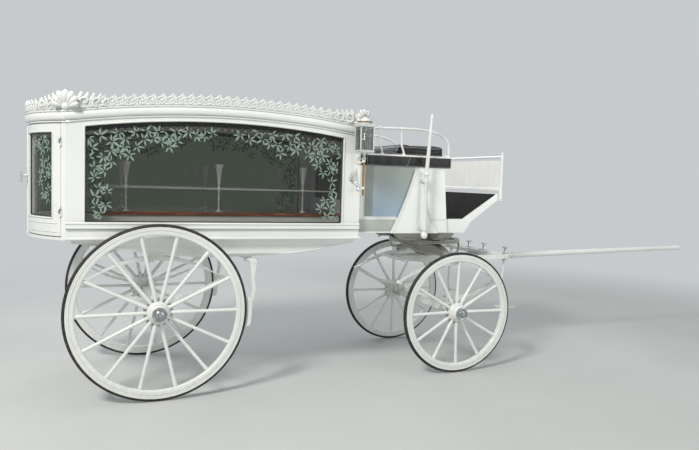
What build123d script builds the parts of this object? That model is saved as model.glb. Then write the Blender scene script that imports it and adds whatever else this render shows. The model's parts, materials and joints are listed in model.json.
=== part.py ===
from build123d import *
import os
from math import atan2, cos, degrees, hypot, pi, radians, sin, sqrt

os.makedirs("parts", exist_ok=True)

# Glass-sided hearse carriage: four wheels, elliptic springs and a turning fore-carriage.
# Lengths are in millimetres. +X runs forward, +Y to the left, +Z up from the ground.
# Distances along the carriage are written from the rear axle, and X0 moves them to the frame.

# Wheels and axles
WHEELBASE = 2475.0
REAR_WHEEL_D = 1270.0
FRONT_WHEEL_D = 1036.0
REAR_WHEEL_ROOM = 80.0
FRONT_WHEEL_ROOM = 165.0
REAR_SPOKES = 14
FRONT_SPOKES = 12
TYRE_WIDTH = 34.0
TYRE_DEPTH = 24.0
FELLOE_WIDTH = 38.0
FELLOE_DEPTH = 56.0
SPOKE_ROOT_R = 15.0
SPOKE_TIP_R = 11.5
WHEEL_DISH = 22.0
HUB_IN = 84.0
HUB_OUT = 92.0
HUB_FLANGE_R = 106.0
HUB_COLLAR_R = 82.0
HUB_BARREL_R = 62.0
JOURNAL_R = 20.0
RUNNING_GAP = 0.05
AXLE_SIZE = 46.0
HUB_SEAT_GAP = 0.3

# Springs
SPRING_INSET = 100.0
SPRING_WIDTH = 46.0
SPRING_HALF_SPAN = 480.0
SPRING_RISE = 140.0
LEAF = 8.0
LEAF_SPANS = (1.0, 0.78, 0.56, 0.34)
REAR_EYE_Z = 852.0
FRONT_EYE_Z = 765.0
EYE_R = 17.0
CLAMP_LENGTH = 90.0

# Cabin
BODY_HALF_WIDTH = 570.0
BODY_REAR = -611.0
BODY_FRONT = 1555.0
BOW_DEPTH = 261.0
WALL = 40.0
SILL_Z = 1275.0
BAND_Z = 1168.0
PLATE_Z = 1150.0
FLOOR_Z = 1188.0
GLASS_REAR = -487.0
GLASS_FRONT = 1404.0
GLASS_TOP_REAR = 1927.0
GLASS_TOP_MID = 2008.0
GLASS_TOP_FRONT = 1947.0
EAVES_REAR = 1959.0
EAVES_MID = 2056.0
EAVES_FRONT = 1981.0
ARCH_MID_X = 490.0
PANE = 6.0
SILL_OUT = 14.0
SILL_BAND = 46.0

# Roof and gallery
CORNICE_OUT = 22.0
CORNICE_HEIGHT = 70.0
ROOF_BOARD = 25.0
GALLERY_HEIGHT = 84.0
GALLERY_BASE = 22.0
GALLERY_THICK = 12.0
GALLERY_INSET = 7.0
SIDE_PEAKS = 33
REAR_PEAKS = 18
FRONT_PEAKS = 17
CORNER_ORNAMENT = 145.0

# Doors
DOOR_THICK = 35.0
DOOR_BOTTOM = 1174.0
DOOR_EDGE_INSET = 30.0
DOOR_GAP = 6.0
WINDOW_BOTTOM = 1302.0
WINDOW_TOP = 1880.0
WINDOW_INNER_Y = 140.0
DOOR_STILE = 56.0
HINGE_STANDOFF = 8.0
DOOR_HEAD_GAP = 20.0
KNUCKLE_R = 6.0
KNUCKLE_LENGTH = 34.0
HINGE_PIN_R = 3.0
HINGE_HEIGHTS = (1345.0, 1822.0)
HANDLE_Z = 1580.0
HANDLE_Y = -52.0
HANDLE_REACH = 46.0
HANDLE_GRIP_R = 8.0

# Deck inside the cabin
DECK_HALF_WIDTH = 360.0
DECK_REAR = -412.0
DECK_FRONT = 1480.0
DECK_TOP = 1341.0
DECK_THICK = 30.0
RAIL_Y = 300.0
RAIL_Z = 1518.0
RAIL_R = 7.0
VASE_STATIONS = (-205.0, 480.0, 1165.0)
VASE_HEIGHT = 190.0

# Boot, seat and footboard
BOOT_HALF_WIDTH = 500.0
BOOT_BOTTOM = 1190.0
BOOT_TOP = 1745.0
BOOT_TOP_SET = 105.0
BOOT_BOTTOM_SET = 58.0
PANEL_RECESS = 10.0
SEAT_BOX_HEIGHT = 85.0
SEAT_BOX_GAP = 85.0
SEAT_BOX_SET = 48.0
SEAT_BOARD = 12.0
CUSHION_LENGTH = 440.0
CUSHION_SET = 70.0
CUSHION_HEIGHT = 100.0
CUSHION_HALF_WIDTH = 440.0
PAD_HEIGHT = 30.0
SEAT_RAIL_R = 10.0
SEAT_RAIL_Y = 485.0
SEAT_RAIL_TOP = 2060.0
FOOT_FLOOR_Z = 1310.0
KNEE_AHEAD = 120.0
TOE_AHEAD = 469.0
TOE_Z = 1537.0
FOOTBOARD_THICK = 38.0
FOOTBOARD_HALF_WIDTH = 480.0
MAT_THICK = 8.0
DASH_BOTTOM = 1560.0
DASH_TOP = 1860.0
DASH_THICK = 18.0
DASH_RAIL_Z = 1866.0
DASH_POST_R = 13.0
DASH_RAIL_R = 11.0

# Fore-carriage
RING_R = 330.0
RING_WIDTH = 44.0
RING_THICK = 14.0
RING_Z = 1090.0
RING_GAP = 0.3
BED_DEPTH = 80.0
BED_OVERHANG = 50.0
UPPER_BED_HALF_LENGTH = 420.0
KINGPIN_R = 16.0
FUTCHELL_Y = 58.0
FUTCHELL_WIDTH = 36.0
FUTCHELL_HEIGHT = 66.0
FUTCHELL_REAR = 330.0
SPLINTER_X = 580.0
SPLINTER_DEPTH = 60.0
SPLINTER_HEIGHT = 50.0
SPLINTER_OVERHANG = 30.0
SPLINTER_Z = 950.0
ROLLER_R = 14.0
ROLLER_LENGTH = 52.0
ROLLER_HEAD_R = 28.0
ROLLER_HEAD = 12.0
ROLLER_STATIONS = (130.0, 470.0)
POLE_TIP = 5745.0
POLE_RISE = 60.0
POLE_SIZE = 62.0
POLE_TIP_R = 22.0
POLE_FERRULE_R = 26.0
POLE_FERRULE = 64.0
STEP_TREAD_Z = 512.0

# Lamps and brake
LAMP_X = 1535.0
LAMP_OUT = 110.0
LAMP_SIZE = 120.0
LAMP_BASE_Z = 1834.0
LAMP_HEIGHT = 300.0
LEVER_SET = 325.0
LEVER_OUT = 82.0
LEVER_TOP = 2190.0
LEVER_BOTTOM = 1175.0
LEVER_R = 17.0
LEVER_COLLAR_Z = 1690.0
LEVER_LEAN = 4.0
BRAKE_AHEAD = 41.0
BRAKE_Z = 990.0
BRAKE_SHAFT_R = 13.0
BRAKE_SEAT_Z = 1008.0
BLOCK_GAP = 8.0
BLOCK_DEPTH = 26.0
SHOE_DROP = 123.0
SHOE_RISE = 93.0
BRACKET_THICK = 28.0

# Derived places
BOW_R = (BODY_HALF_WIDTH**2 + BOW_DEPTH**2) / (2.0 * BOW_DEPTH)
BOW_X = BODY_REAR - BOW_DEPTH + BOW_R
CORNICE_REAR = BODY_REAR - BOW_DEPTH - CORNICE_OUT
HANDLE_X = BOW_X - sqrt(BOW_R**2 - HANDLE_Y**2)
REAR_END = min(CORNICE_REAR, HANDLE_X - HANDLE_REACH - HANDLE_GRIP_R)
X0 = -(REAR_END + POLE_TIP) / 2.0
SPRING_Y = BODY_HALF_WIDTH - SPRING_INSET
BED_HALF_LENGTH = SPRING_Y + BED_OVERHANG
SPLINTER_HALF_LENGTH = SPRING_Y + SPLINTER_OVERHANG
REAR_TRACK = 2.0 * (BODY_HALF_WIDTH + REAR_WHEEL_ROOM)
FRONT_TRACK = 2.0 * (SPRING_Y + FRONT_WHEEL_ROOM)
DOOR_EDGE_Y = BODY_HALF_WIDTH - DOOR_EDGE_INSET
DOOR_TOP = EAVES_REAR - DOOR_HEAD_GAP
POST_EDGE_Y = DOOR_EDGE_Y + DOOR_GAP
WINDOW_OUTER_Y = DOOR_EDGE_Y - DOOR_STILE
LAMP_Y = BODY_HALF_WIDTH + LAMP_OUT
REAR_R = REAR_WHEEL_D / 2.0
FRONT_R = FRONT_WHEEL_D / 2.0
SPRING_R = (SPRING_HALF_SPAN ** 2 + SPRING_RISE ** 2) / (2.0 * SPRING_RISE)
STACK = LEAF * len(LEAF_SPANS)
REAR_SEAT_Z = REAR_EYE_Z + SPRING_RISE + STACK
FRONT_SEAT_Z = FRONT_EYE_Z + SPRING_RISE + STACK
SEAT_TOP = BOOT_TOP + SEAT_BOX_HEIGHT + SEAT_BOARD
RING_BOTTOM = RING_Z - RING_GAP - RING_THICK
UPPER_BED_Z = RING_Z + RING_THICK
KING = WHEELBASE
BRAKE_X = REAR_R + BRAKE_AHEAD
SPLINTER_TOP = SPLINTER_Z + SPLINTER_HEIGHT
FUTCHELL_Z = SPLINTER_Z - FUTCHELL_HEIGHT
BOOT_FRONT_TOP = KING - BOOT_TOP_SET
BOOT_FRONT_BOTTOM = KING - BOOT_BOTTOM_SET
BOOT_LEAN = (BOOT_FRONT_BOTTOM - BOOT_FRONT_TOP) / (BOOT_TOP - BOOT_BOTTOM)
SEAT_BOX_REAR = BODY_FRONT + SEAT_BOX_GAP
SEAT_BOX_FRONT = KING - SEAT_BOX_SET
CUSHION_FRONT = KING - CUSHION_SET
CUSHION_REAR = CUSHION_FRONT - CUSHION_LENGTH
FOOT_KNEE_X = KING + KNEE_AHEAD
TOE_X = KING + TOE_AHEAD
LEVER_X = KING - LEVER_SET
LEVER_Y = BOOT_HALF_WIDTH + LEVER_OUT


def side_plane(y):
    """Upright plane along the carriage at one y: local x runs forward, local y runs up."""
    return Plane(origin=(X0, y, 0), x_dir=(1, 0, 0), z_dir=(0, -1, 0))


def plan_plane(z):
    """Level plane at one height, with its origin over the rear axle."""
    return Plane(origin=(X0, 0, z))


def cross_plane(x):
    """Upright plane across the carriage at one x: local x runs left, local y runs up."""
    return Plane(origin=(X0 + x, 0, 0), x_dir=(0, 1, 0), z_dir=(1, 0, 0))


def bow_x(y, radius=BOW_R):
    """Rear bow of the body in plan, at one y."""
    return BOW_X - sqrt(radius ** 2 - y ** 2)


def finish(piece, name):
    """Label one finished piece and write it."""
    piece.part.label = name
    export_step(piece.part, f"parts/{name}.step")


def mirrored(piece, name):
    """The same piece on the left-hand side."""
    with BuildPart() as other:
        mirror(piece.part, about=Plane.XZ)
    finish(other, name)


def plan_outline(out, front=BODY_FRONT):
    """Plan of the cabin with its bowed rear, moved outward by one distance."""
    half = BODY_HALF_WIDTH + out
    corner = BODY_REAR - out * 0.4
    apex = BODY_REAR - BOW_DEPTH - out
    with BuildLine() as outline:
        Line((corner, -half), (front + out, -half))
        Line((front + out, -half), (front + out, half))
        Line((front + out, half), (corner, half))
        ThreePointArc((corner, half), (apex, 0), (corner, -half))
    return outline.edges()


def arch_band(low, high, front=BODY_FRONT):
    """Arched band in side view between two heights above the eaves line."""
    far_rear = CORNICE_REAR - 60
    far_front = front + CORNICE_OUT + 60
    with BuildLine() as outline:
        Line((far_rear, EAVES_REAR + low), (BODY_REAR, EAVES_REAR + low))
        ThreePointArc((BODY_REAR, EAVES_REAR + low), (ARCH_MID_X, EAVES_MID + low), (front, EAVES_FRONT + low))
        Line((front, EAVES_FRONT + low), (far_front, EAVES_FRONT + low))
        Line((far_front, EAVES_FRONT + low), (far_front, EAVES_FRONT + high))
        Line((far_front, EAVES_FRONT + high), (front, EAVES_FRONT + high))
        ThreePointArc((front, EAVES_FRONT + high), (ARCH_MID_X, EAVES_MID + high), (BODY_REAR, EAVES_REAR + high))
        Line((BODY_REAR, EAVES_REAR + high), (far_rear, EAVES_REAR + high))
        Line((far_rear, EAVES_REAR + high), (far_rear, EAVES_REAR + low))
    return outline.edges()


def eaves_z(x):
    """Height of the eaves line over one x."""
    if x <= BODY_REAR:
        return EAVES_REAR
    if x >= BODY_FRONT:
        return EAVES_FRONT
    ax, az = BODY_REAR, EAVES_REAR
    bx, bz = ARCH_MID_X, EAVES_MID
    cx, cz = BODY_FRONT, EAVES_FRONT
    d = 2 * (ax * (bz - cz) + bx * (cz - az) + cx * (az - bz))
    ux = ((ax**2 + az**2) * (bz - cz) + (bx**2 + bz**2) * (cz - az) + (cx**2 + cz**2) * (az - bz)) / d
    uz = ((ax**2 + az**2) * (cx - bx) + (bx**2 + bz**2) * (ax - cx) + (cx**2 + cz**2) * (bx - ax)) / d
    radius = hypot(ax - ux, az - uz)
    return uz + sqrt(radius**2 - (x - ux) ** 2)


# Hinge lines of the doors and the sweep of each leaf's inner corner
POST_BACK = bow_x(POST_EDGE_Y)
POST_INSIDE = bow_x(POST_EDGE_Y, BOW_R - DOOR_THICK) + 22
HINGE_FACE_Y = (DOOR_EDGE_Y + POST_EDGE_Y) / 2
HINGE_X = bow_x(HINGE_FACE_Y) - HINGE_STANDOFF * (BOW_X - bow_x(HINGE_FACE_Y)) / BOW_R
HINGE_Y = HINGE_FACE_Y + HINGE_STANDOFF * HINGE_FACE_Y / BOW_R
FACE_ANGLE = degrees(atan2(HINGE_FACE_Y, BOW_X - bow_x(HINGE_FACE_Y)))
SWEEP_X = bow_x(DOOR_EDGE_Y, BOW_R - DOOR_THICK) - HINGE_X
SWEEP_R = sqrt(SWEEP_X**2 + (HINGE_Y - DOOR_EDGE_Y) ** 2) + DOOR_GAP

# Hull: floor tray, sill mouldings and the boat-shaped belly under them
BELLY_RUN = (
    (0.017, 1128.0),
    (0.082, 1110.0),
    (0.196, 1069.0),
    (0.292, 1040.0),
    (0.424, 1018.0),
    (0.511, 1013.0),
    (0.713, 1031.0),
    (0.807, 1052.0),
    (0.928, 1099.0),
    (0.983, 1128.0),
)
BELLY_BOTTOM = [(BODY_REAR + share * (BODY_FRONT - BODY_REAR), z) for share, z in BELLY_RUN]
with BuildPart() as hull:
    with BuildSketch(plan_plane(PLATE_Z)):
        make_face(plan_outline(12))
    extrude(amount=BAND_Z - PLATE_Z)
    with BuildSketch(plan_plane(BAND_Z)):
        make_face(plan_outline(0))
    extrude(amount=SILL_Z - BAND_Z)
    # the rear of the tray stands back so that the doors hang over it
    with BuildSketch(plan_plane(BAND_Z)):
        with Locations((BOW_X, 0)):
            Circle(BOW_R + 40)
            Circle(BOW_R - DOOR_THICK - DOOR_GAP, mode=Mode.SUBTRACT)
        with Locations((HINGE_X, -HINGE_Y), (HINGE_X, HINGE_Y)):
            Circle(SWEEP_R)
        with Locations((BODY_REAR - 200, 0)):
            Rectangle(500, 2 * POST_EDGE_Y, mode=Mode.INTERSECT)
    extrude(amount=SILL_Z - BAND_Z, mode=Mode.SUBTRACT)
    with BuildSketch(plan_plane(FLOOR_Z)):
        with Locations(((BODY_REAR + BODY_FRONT) / 2 + 15, 0)):
            Rectangle(BODY_FRONT - BODY_REAR - 110, 2 * (BODY_HALF_WIDTH - WALL))
    extrude(amount=SILL_Z - FLOOR_Z, mode=Mode.SUBTRACT)
    for y in (-BODY_HALF_WIDTH, BODY_HALF_WIDTH + SILL_OUT):
        with BuildSketch(side_plane(y)):
            with Locations(((BODY_REAR + BODY_FRONT) / 2, SILL_Z - SILL_BAND / 2)):
                Rectangle(BODY_FRONT - BODY_REAR, SILL_BAND)
        extrude(amount=SILL_OUT)
    # belly: side curve crossed with a section that tucks in below the band
    with BuildSketch(side_plane(0)):
        with BuildLine():
            Line((BELLY_BOTTOM[0][0], PLATE_Z), BELLY_BOTTOM[0])
            Spline(*BELLY_BOTTOM)
            Line(BELLY_BOTTOM[-1], (BELLY_BOTTOM[-1][0], PLATE_Z))
            Line((BELLY_BOTTOM[-1][0], PLATE_Z), (BELLY_BOTTOM[0][0], PLATE_Z))
        make_face()
    belly_side = extrude(amount=BODY_HALF_WIDTH, both=True, mode=Mode.PRIVATE)
    with BuildSketch(cross_plane(BODY_REAR)) as belly_section:
        with BuildLine():
            Polyline(
                (-BODY_HALF_WIDTH, PLATE_Z),
                (-BODY_HALF_WIDTH + 42, PLATE_Z - 56),
                (-BODY_HALF_WIDTH + 46, PLATE_Z - 112),
                (-BODY_HALF_WIDTH + 84, PLATE_Z - 150),
                (BODY_HALF_WIDTH - 84, PLATE_Z - 150),
                (BODY_HALF_WIDTH - 46, PLATE_Z - 112),
                (BODY_HALF_WIDTH - 42, PLATE_Z - 56),
                (BODY_HALF_WIDTH, PLATE_Z),
                close=True,
            )
        make_face()
    belly_run = extrude(amount=BODY_FRONT - BODY_REAR, mode=Mode.PRIVATE)
    add(belly_side & belly_run)
    # seats under the belly for the rear springs and the brake shaft
    for y in (-SPRING_Y, SPRING_Y):
        with Locations((X0, y, REAR_SEAT_Z)):
            Box(CLAMP_LENGTH + 30, SPRING_WIDTH + 14, PLATE_Z - REAR_SEAT_Z, align=(Align.CENTER, Align.CENTER, Align.MIN))
        with Locations((X0 + BRAKE_X, y, BRAKE_SEAT_Z)):
            Box(60, 50, 40, align=(Align.CENTER, Align.CENTER, Align.MIN))
finish(hull, "hull")


# Side of the cabin: corner posts and arched top rail round the long window
def window_outline():
    """Long side window in side view."""
    with BuildLine() as outline:
        Line((GLASS_REAR, SILL_Z), (GLASS_FRONT, SILL_Z))
        Line((GLASS_FRONT, SILL_Z), (GLASS_FRONT, GLASS_TOP_FRONT))
        ThreePointArc((GLASS_FRONT, GLASS_TOP_FRONT), (ARCH_MID_X, GLASS_TOP_MID), (GLASS_REAR, GLASS_TOP_REAR))
        Line((GLASS_REAR, GLASS_TOP_REAR), (GLASS_REAR, SILL_Z))
    return outline.edges()


def cabin_outline():
    """Side of the cabin from the sill up to the eaves."""
    with BuildLine() as outline:
        Line((BODY_REAR, SILL_Z), (BODY_FRONT, SILL_Z))
        Line((BODY_FRONT, SILL_Z), (BODY_FRONT, EAVES_FRONT))
        ThreePointArc((BODY_FRONT, EAVES_FRONT), (ARCH_MID_X, EAVES_MID), (BODY_REAR, EAVES_REAR))
        Line((BODY_REAR, EAVES_REAR), (BODY_REAR, SILL_Z))
    return outline.edges()


with BuildPart() as cabin_side_right:
    with BuildSketch(side_plane(-BODY_HALF_WIDTH + WALL)):
        make_face(cabin_outline())
    extrude(amount=WALL)
    with BuildSketch(side_plane(-BODY_HALF_WIDTH + WALL)):
        make_face(window_outline())
    extrude(amount=WALL, mode=Mode.SUBTRACT)
    # the rear corner post is rebated for the edge of the door
    with BuildSketch(plan_plane(SILL_Z)):
        with Locations(((BODY_REAR + POST_INSIDE) / 2 - 50, -POST_EDGE_Y + 40)):
            Rectangle(POST_INSIDE - BODY_REAR + 100, 80)
    extrude(amount=EAVES_REAR + 20 - SILL_Z, mode=Mode.SUBTRACT)
    with BuildSketch(plan_plane(SILL_Z)):
        with BuildLine():
            Line((BODY_REAR + 0.01, -BODY_HALF_WIDTH), (BODY_REAR + 0.01, -POST_EDGE_Y))
            Line((BODY_REAR + 0.01, -POST_EDGE_Y), (POST_BACK, -POST_EDGE_Y))
            Line((POST_BACK, -POST_EDGE_Y), (BODY_REAR, -BODY_HALF_WIDTH))
            Line((BODY_REAR, -BODY_HALF_WIDTH), (BODY_REAR + 0.01, -BODY_HALF_WIDTH))
        make_face()
    extrude(amount=EAVES_REAR - SILL_Z)
    # fixed hinge knuckles with their pins, and the plates that carry them
    for z in HINGE_HEIGHTS:
        with BuildSketch(plan_plane(z - KNUCKLE_LENGTH)):
            with Locations((HINGE_X, -HINGE_Y)):
                Circle(KNUCKLE_R)
                with Locations(Location((0, 0, 0), (0, 0, FACE_ANGLE))):
                    with Locations((HINGE_STANDOFF / 2 + 1, -7)):
                        Rectangle(HINGE_STANDOFF + 2, 12)
        extrude(amount=KNUCKLE_LENGTH)
        with BuildSketch(plan_plane(z - KNUCKLE_LENGTH)):
            with Locations((HINGE_X, -HINGE_Y)):
                Circle(HINGE_PIN_R)
        extrude(amount=2 * KNUCKLE_LENGTH)
finish(cabin_side_right, "cabin_side_right")
mirrored(cabin_side_right, "cabin_side_left")

# Side panes
with BuildPart() as side_glass_right:
    with BuildSketch(side_plane(-BODY_HALF_WIDTH + WALL / 2 + PANE / 2)):
        make_face(window_outline())
    extrude(amount=PANE)
finish(side_glass_right, "side_glass_right")
mirrored(side_glass_right, "side_glass_left")

# Front wall of the cabin with its window behind the driver's seat
FRONT_WINDOW = (430.0, 1450.0, 1925.0)
with BuildPart() as front_wall:
    with BuildSketch(side_plane(0)):
        make_face(cabin_outline())
        with Locations((BODY_FRONT - WALL / 2, 1700)):
            Rectangle(WALL, 900, mode=Mode.INTERSECT)
    extrude(amount=BODY_HALF_WIDTH - WALL, both=True)
    with BuildSketch(cross_plane(BODY_FRONT - WALL)):
        with Locations((0, (FRONT_WINDOW[1] + FRONT_WINDOW[2]) / 2)):
            Rectangle(2 * FRONT_WINDOW[0], FRONT_WINDOW[2] - FRONT_WINDOW[1])
    extrude(amount=WALL, mode=Mode.SUBTRACT)
finish(front_wall, "front_wall")

with BuildPart() as front_glass:
    with BuildSketch(cross_plane(BODY_FRONT - WALL / 2 - PANE / 2)):
        with Locations((0, (FRONT_WINDOW[1] + FRONT_WINDOW[2]) / 2)):
            Rectangle(2 * FRONT_WINDOW[0], FRONT_WINDOW[2] - FRONT_WINDOW[1])
    extrude(amount=PANE)
finish(front_glass, "front_glass")

# Roof: a stepped cornice that follows the arch, with boards over it
CORNICE_STEPS = (
    {"out": 8.0, "low": -14.0, "high": -5.0},
    {"out": 2.0, "low": -5.0, "high": 0.0},
    {"out": 14.0, "low": 0.0, "high": 10.0},
    {"out": CORNICE_OUT, "low": 10.0, "high": CORNICE_HEIGHT - 18.0},
    {"out": 16.0, "low": CORNICE_HEIGHT - 18.0, "high": CORNICE_HEIGHT},
)
with BuildPart() as roof:
    for step in CORNICE_STEPS:
        with BuildSketch(plan_plane(EAVES_REAR - 50)):
            make_face(plan_outline(step["out"]))
        block = extrude(amount=300, mode=Mode.PRIVATE)
        with BuildSketch(side_plane(0)):
            make_face(arch_band(step["low"], step["high"]))
        band = extrude(amount=BODY_HALF_WIDTH + 200, both=True, mode=Mode.PRIVATE)
        add(block & band)
    with BuildSketch(plan_plane(EAVES_REAR - 50)):
        make_face(plan_outline(-WALL))
    hollow_block = extrude(amount=300, mode=Mode.PRIVATE)
    with BuildSketch(side_plane(0)):
        make_face(arch_band(-20, CORNICE_HEIGHT - ROOF_BOARD))
    hollow_band = extrude(amount=BODY_HALF_WIDTH + 200, both=True, mode=Mode.PRIVATE)
    add(hollow_block & hollow_band, mode=Mode.SUBTRACT)
    with BuildSketch(plan_plane(EAVES_REAR - 50)):
        make_face(plan_outline(0))
    wall_block = extrude(amount=300, mode=Mode.PRIVATE)
    with BuildSketch(side_plane(0)):
        make_face(arch_band(-20, 0))
    wall_band = extrude(amount=BODY_HALF_WIDTH + 200, both=True, mode=Mode.PRIVATE)
    add(wall_block & wall_band, mode=Mode.SUBTRACT)
finish(roof, "roof")

# Gallery on the roof: pointed crests on a rail along both sides and both ends
GALLERY_Y = BODY_HALF_WIDTH + CORNICE_OUT - GALLERY_INSET
GALLERY_REAR_OUT = CORNICE_OUT - GALLERY_INSET
GALLERY_FRONT = BODY_FRONT + GALLERY_REAR_OUT
GALLERY_PITCH = (GALLERY_FRONT - BODY_REAR) / SIDE_PEAKS


def crest_line(start, stop, count, base_of):
    """Closed outline of a crested rail: leaning points over a plain base."""
    pitch = (stop - start) / count
    points = []
    for i in range(count):
        x = start + i * pitch
        points.append((x, base_of(x) + GALLERY_BASE))
        points.append((x + 0.38 * pitch, base_of(x) + GALLERY_BASE + 26))
        points.append((x + 0.56 * pitch, base_of(x) + GALLERY_HEIGHT))
        points.append((x + 0.70 * pitch, base_of(x) + GALLERY_BASE + 26))
    points.append((stop, base_of(stop) + GALLERY_BASE))
    return points


with BuildPart() as gallery:
    for y in (-GALLERY_Y + GALLERY_THICK / 2, GALLERY_Y + GALLERY_THICK / 2):
        with BuildSketch(side_plane(y)):
            with BuildLine():
                crest = crest_line(BODY_REAR, GALLERY_FRONT, SIDE_PEAKS, lambda x: eaves_z(x) + CORNICE_HEIGHT)
                Polyline(*crest)
                Line(crest[-1], (GALLERY_FRONT, EAVES_FRONT + CORNICE_HEIGHT))
                Line((GALLERY_FRONT, EAVES_FRONT + CORNICE_HEIGHT), (BODY_FRONT, EAVES_FRONT + CORNICE_HEIGHT))
                ThreePointArc(
                    (BODY_FRONT, EAVES_FRONT + CORNICE_HEIGHT),
                    (ARCH_MID_X, EAVES_MID + CORNICE_HEIGHT),
                    (BODY_REAR, EAVES_REAR + CORNICE_HEIGHT),
                )
                Line((BODY_REAR, EAVES_REAR + CORNICE_HEIGHT), crest[0])
            make_face()
        extrude(amount=GALLERY_THICK)
    # front run
    with BuildSketch(cross_plane(GALLERY_FRONT - GALLERY_THICK)):
        with BuildLine():
            half = GALLERY_Y - GALLERY_THICK / 2
            crest = crest_line(-half, half, FRONT_PEAKS, lambda y: EAVES_FRONT + CORNICE_HEIGHT)
            Polyline(*crest)
            Polyline(
                crest[-1],
                (half, EAVES_FRONT + CORNICE_HEIGHT),
                (-half, EAVES_FRONT + CORNICE_HEIGHT),
                crest[0],
            )
        make_face()
    extrude(amount=GALLERY_THICK)
    # rear run round the bow
    with BuildSketch(plan_plane(EAVES_REAR + CORNICE_HEIGHT)):
        make_face(plan_outline(GALLERY_REAR_OUT))
        with Locations((BODY_REAR - 200, 0)):
            Rectangle(400, 4 * BODY_HALF_WIDTH, mode=Mode.INTERSECT)
        with BuildLine():
            half = BODY_HALF_WIDTH + GALLERY_REAR_OUT - GALLERY_THICK
            corner = BODY_REAR - (GALLERY_REAR_OUT - GALLERY_THICK) * 0.4
            apex = BODY_REAR - BOW_DEPTH - GALLERY_REAR_OUT + GALLERY_THICK
            Line((BODY_REAR + 40, -half), (corner, -half))
            ThreePointArc((corner, -half), (apex, 0), (corner, half))
            Line((corner, half), (BODY_REAR + 40, half))
            Line((BODY_REAR + 40, half), (BODY_REAR + 40, -half))
        make_face(mode=Mode.SUBTRACT)
    rear_strip = extrude(amount=GALLERY_HEIGHT, mode=Mode.PRIVATE)
    with BuildSketch(cross_plane(BODY_REAR - 500)):
        with BuildLine():
            half = GALLERY_Y + GALLERY_THICK
            crest = crest_line(-half, half, REAR_PEAKS, lambda y: EAVES_REAR + CORNICE_HEIGHT)
            Polyline(*crest)
            Polyline(
                crest[-1],
                (half, EAVES_REAR + CORNICE_HEIGHT),
                (-half, EAVES_REAR + CORNICE_HEIGHT),
                crest[0],
            )
        make_face()
    rear_crest = extrude(amount=520, mode=Mode.PRIVATE)
    add(rear_strip & rear_crest)
    # fan ornaments on the four corners
    for x, z, lean in ((BODY_REAR, EAVES_REAR, 1), (GALLERY_FRONT - 60, EAVES_FRONT, -1)):
        for y in (-GALLERY_Y + GALLERY_THICK / 2, GALLERY_Y + GALLERY_THICK / 2):
            with BuildSketch(side_plane(y)):
                with BuildLine():
                    foot = z + CORNICE_HEIGHT - 12
                    Spline(
                        (x - 30, foot),
                        (x - 58, foot + 62),
                        (x - 6, foot + CORNER_ORNAMENT),
                        (x + 52, foot + 66),
                        (x + 60, foot),
                    )
                    Line((x + 60, foot), (x - 30, foot))
                make_face()
            extrude(amount=GALLERY_THICK)
    with BuildSketch(side_plane(0)):
        make_face(arch_band(-40, CORNICE_HEIGHT))
    extrude(amount=BODY_HALF_WIDTH + 200, both=True, mode=Mode.SUBTRACT)
finish(gallery, "gallery")


# Doors: two bowed leaves that meet on the centre line
def bow_ring(outer, inner, y_low, y_high):
    """Part of the bowed rear in plan, between two radii and two y values."""
    with Locations((BOW_X, 0)):
        Circle(outer)
        Circle(inner, mode=Mode.SUBTRACT)
    with Locations((BODY_REAR - 200, (y_low + y_high) / 2)):
        Rectangle(500, y_high - y_low, mode=Mode.INTERSECT)


with BuildPart() as door_right:
    with BuildSketch(plan_plane(DOOR_BOTTOM)):
        bow_ring(BOW_R, BOW_R - DOOR_THICK, -DOOR_EDGE_Y, -DOOR_GAP / 2)
    extrude(amount=DOOR_TOP - DOOR_BOTTOM)
    with BuildSketch(plan_plane(WINDOW_BOTTOM)):
        bow_ring(BOW_R + 10, BOW_R - DOOR_THICK - 10, -WINDOW_OUTER_Y, -WINDOW_INNER_Y)
    extrude(amount=WINDOW_TOP - WINDOW_BOTTOM, mode=Mode.SUBTRACT)
    # bored knuckles that turn on the pins of the post
    for z in HINGE_HEIGHTS:
        with BuildSketch(plan_plane(z + HUB_SEAT_GAP)):
            with Locations((HINGE_X, -HINGE_Y)):
                Circle(KNUCKLE_R)
                with Locations(Location((0, 0, 0), (0, 0, FACE_ANGLE))):
                    with Locations((HINGE_STANDOFF / 2 + 1, 13)):
                        Rectangle(HINGE_STANDOFF + 2, 24)
        extrude(amount=KNUCKLE_LENGTH - HUB_SEAT_GAP)
        with BuildSketch(plan_plane(z)):
            with Locations((HINGE_X, -HINGE_Y)):
                Circle(HINGE_PIN_R + RUNNING_GAP)
        extrude(amount=KNUCKLE_LENGTH + 1, mode=Mode.SUBTRACT)
with BuildPart() as door_left:
    mirror(door_right.part, about=Plane.XZ)
finish(door_left, "door_left")
finish(door_right, "door_right")

with BuildPart() as door_glass_right:
    with BuildSketch(plan_plane(WINDOW_BOTTOM)):
        bow_ring(
            BOW_R - DOOR_THICK / 2 + PANE / 2,
            BOW_R - DOOR_THICK / 2 - PANE / 2,
            -WINDOW_OUTER_Y,
            -WINDOW_INNER_Y,
        )
    extrude(amount=WINDOW_TOP - WINDOW_BOTTOM)
finish(door_glass_right, "door_glass_right")
mirrored(door_glass_right, "door_glass_left")

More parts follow.
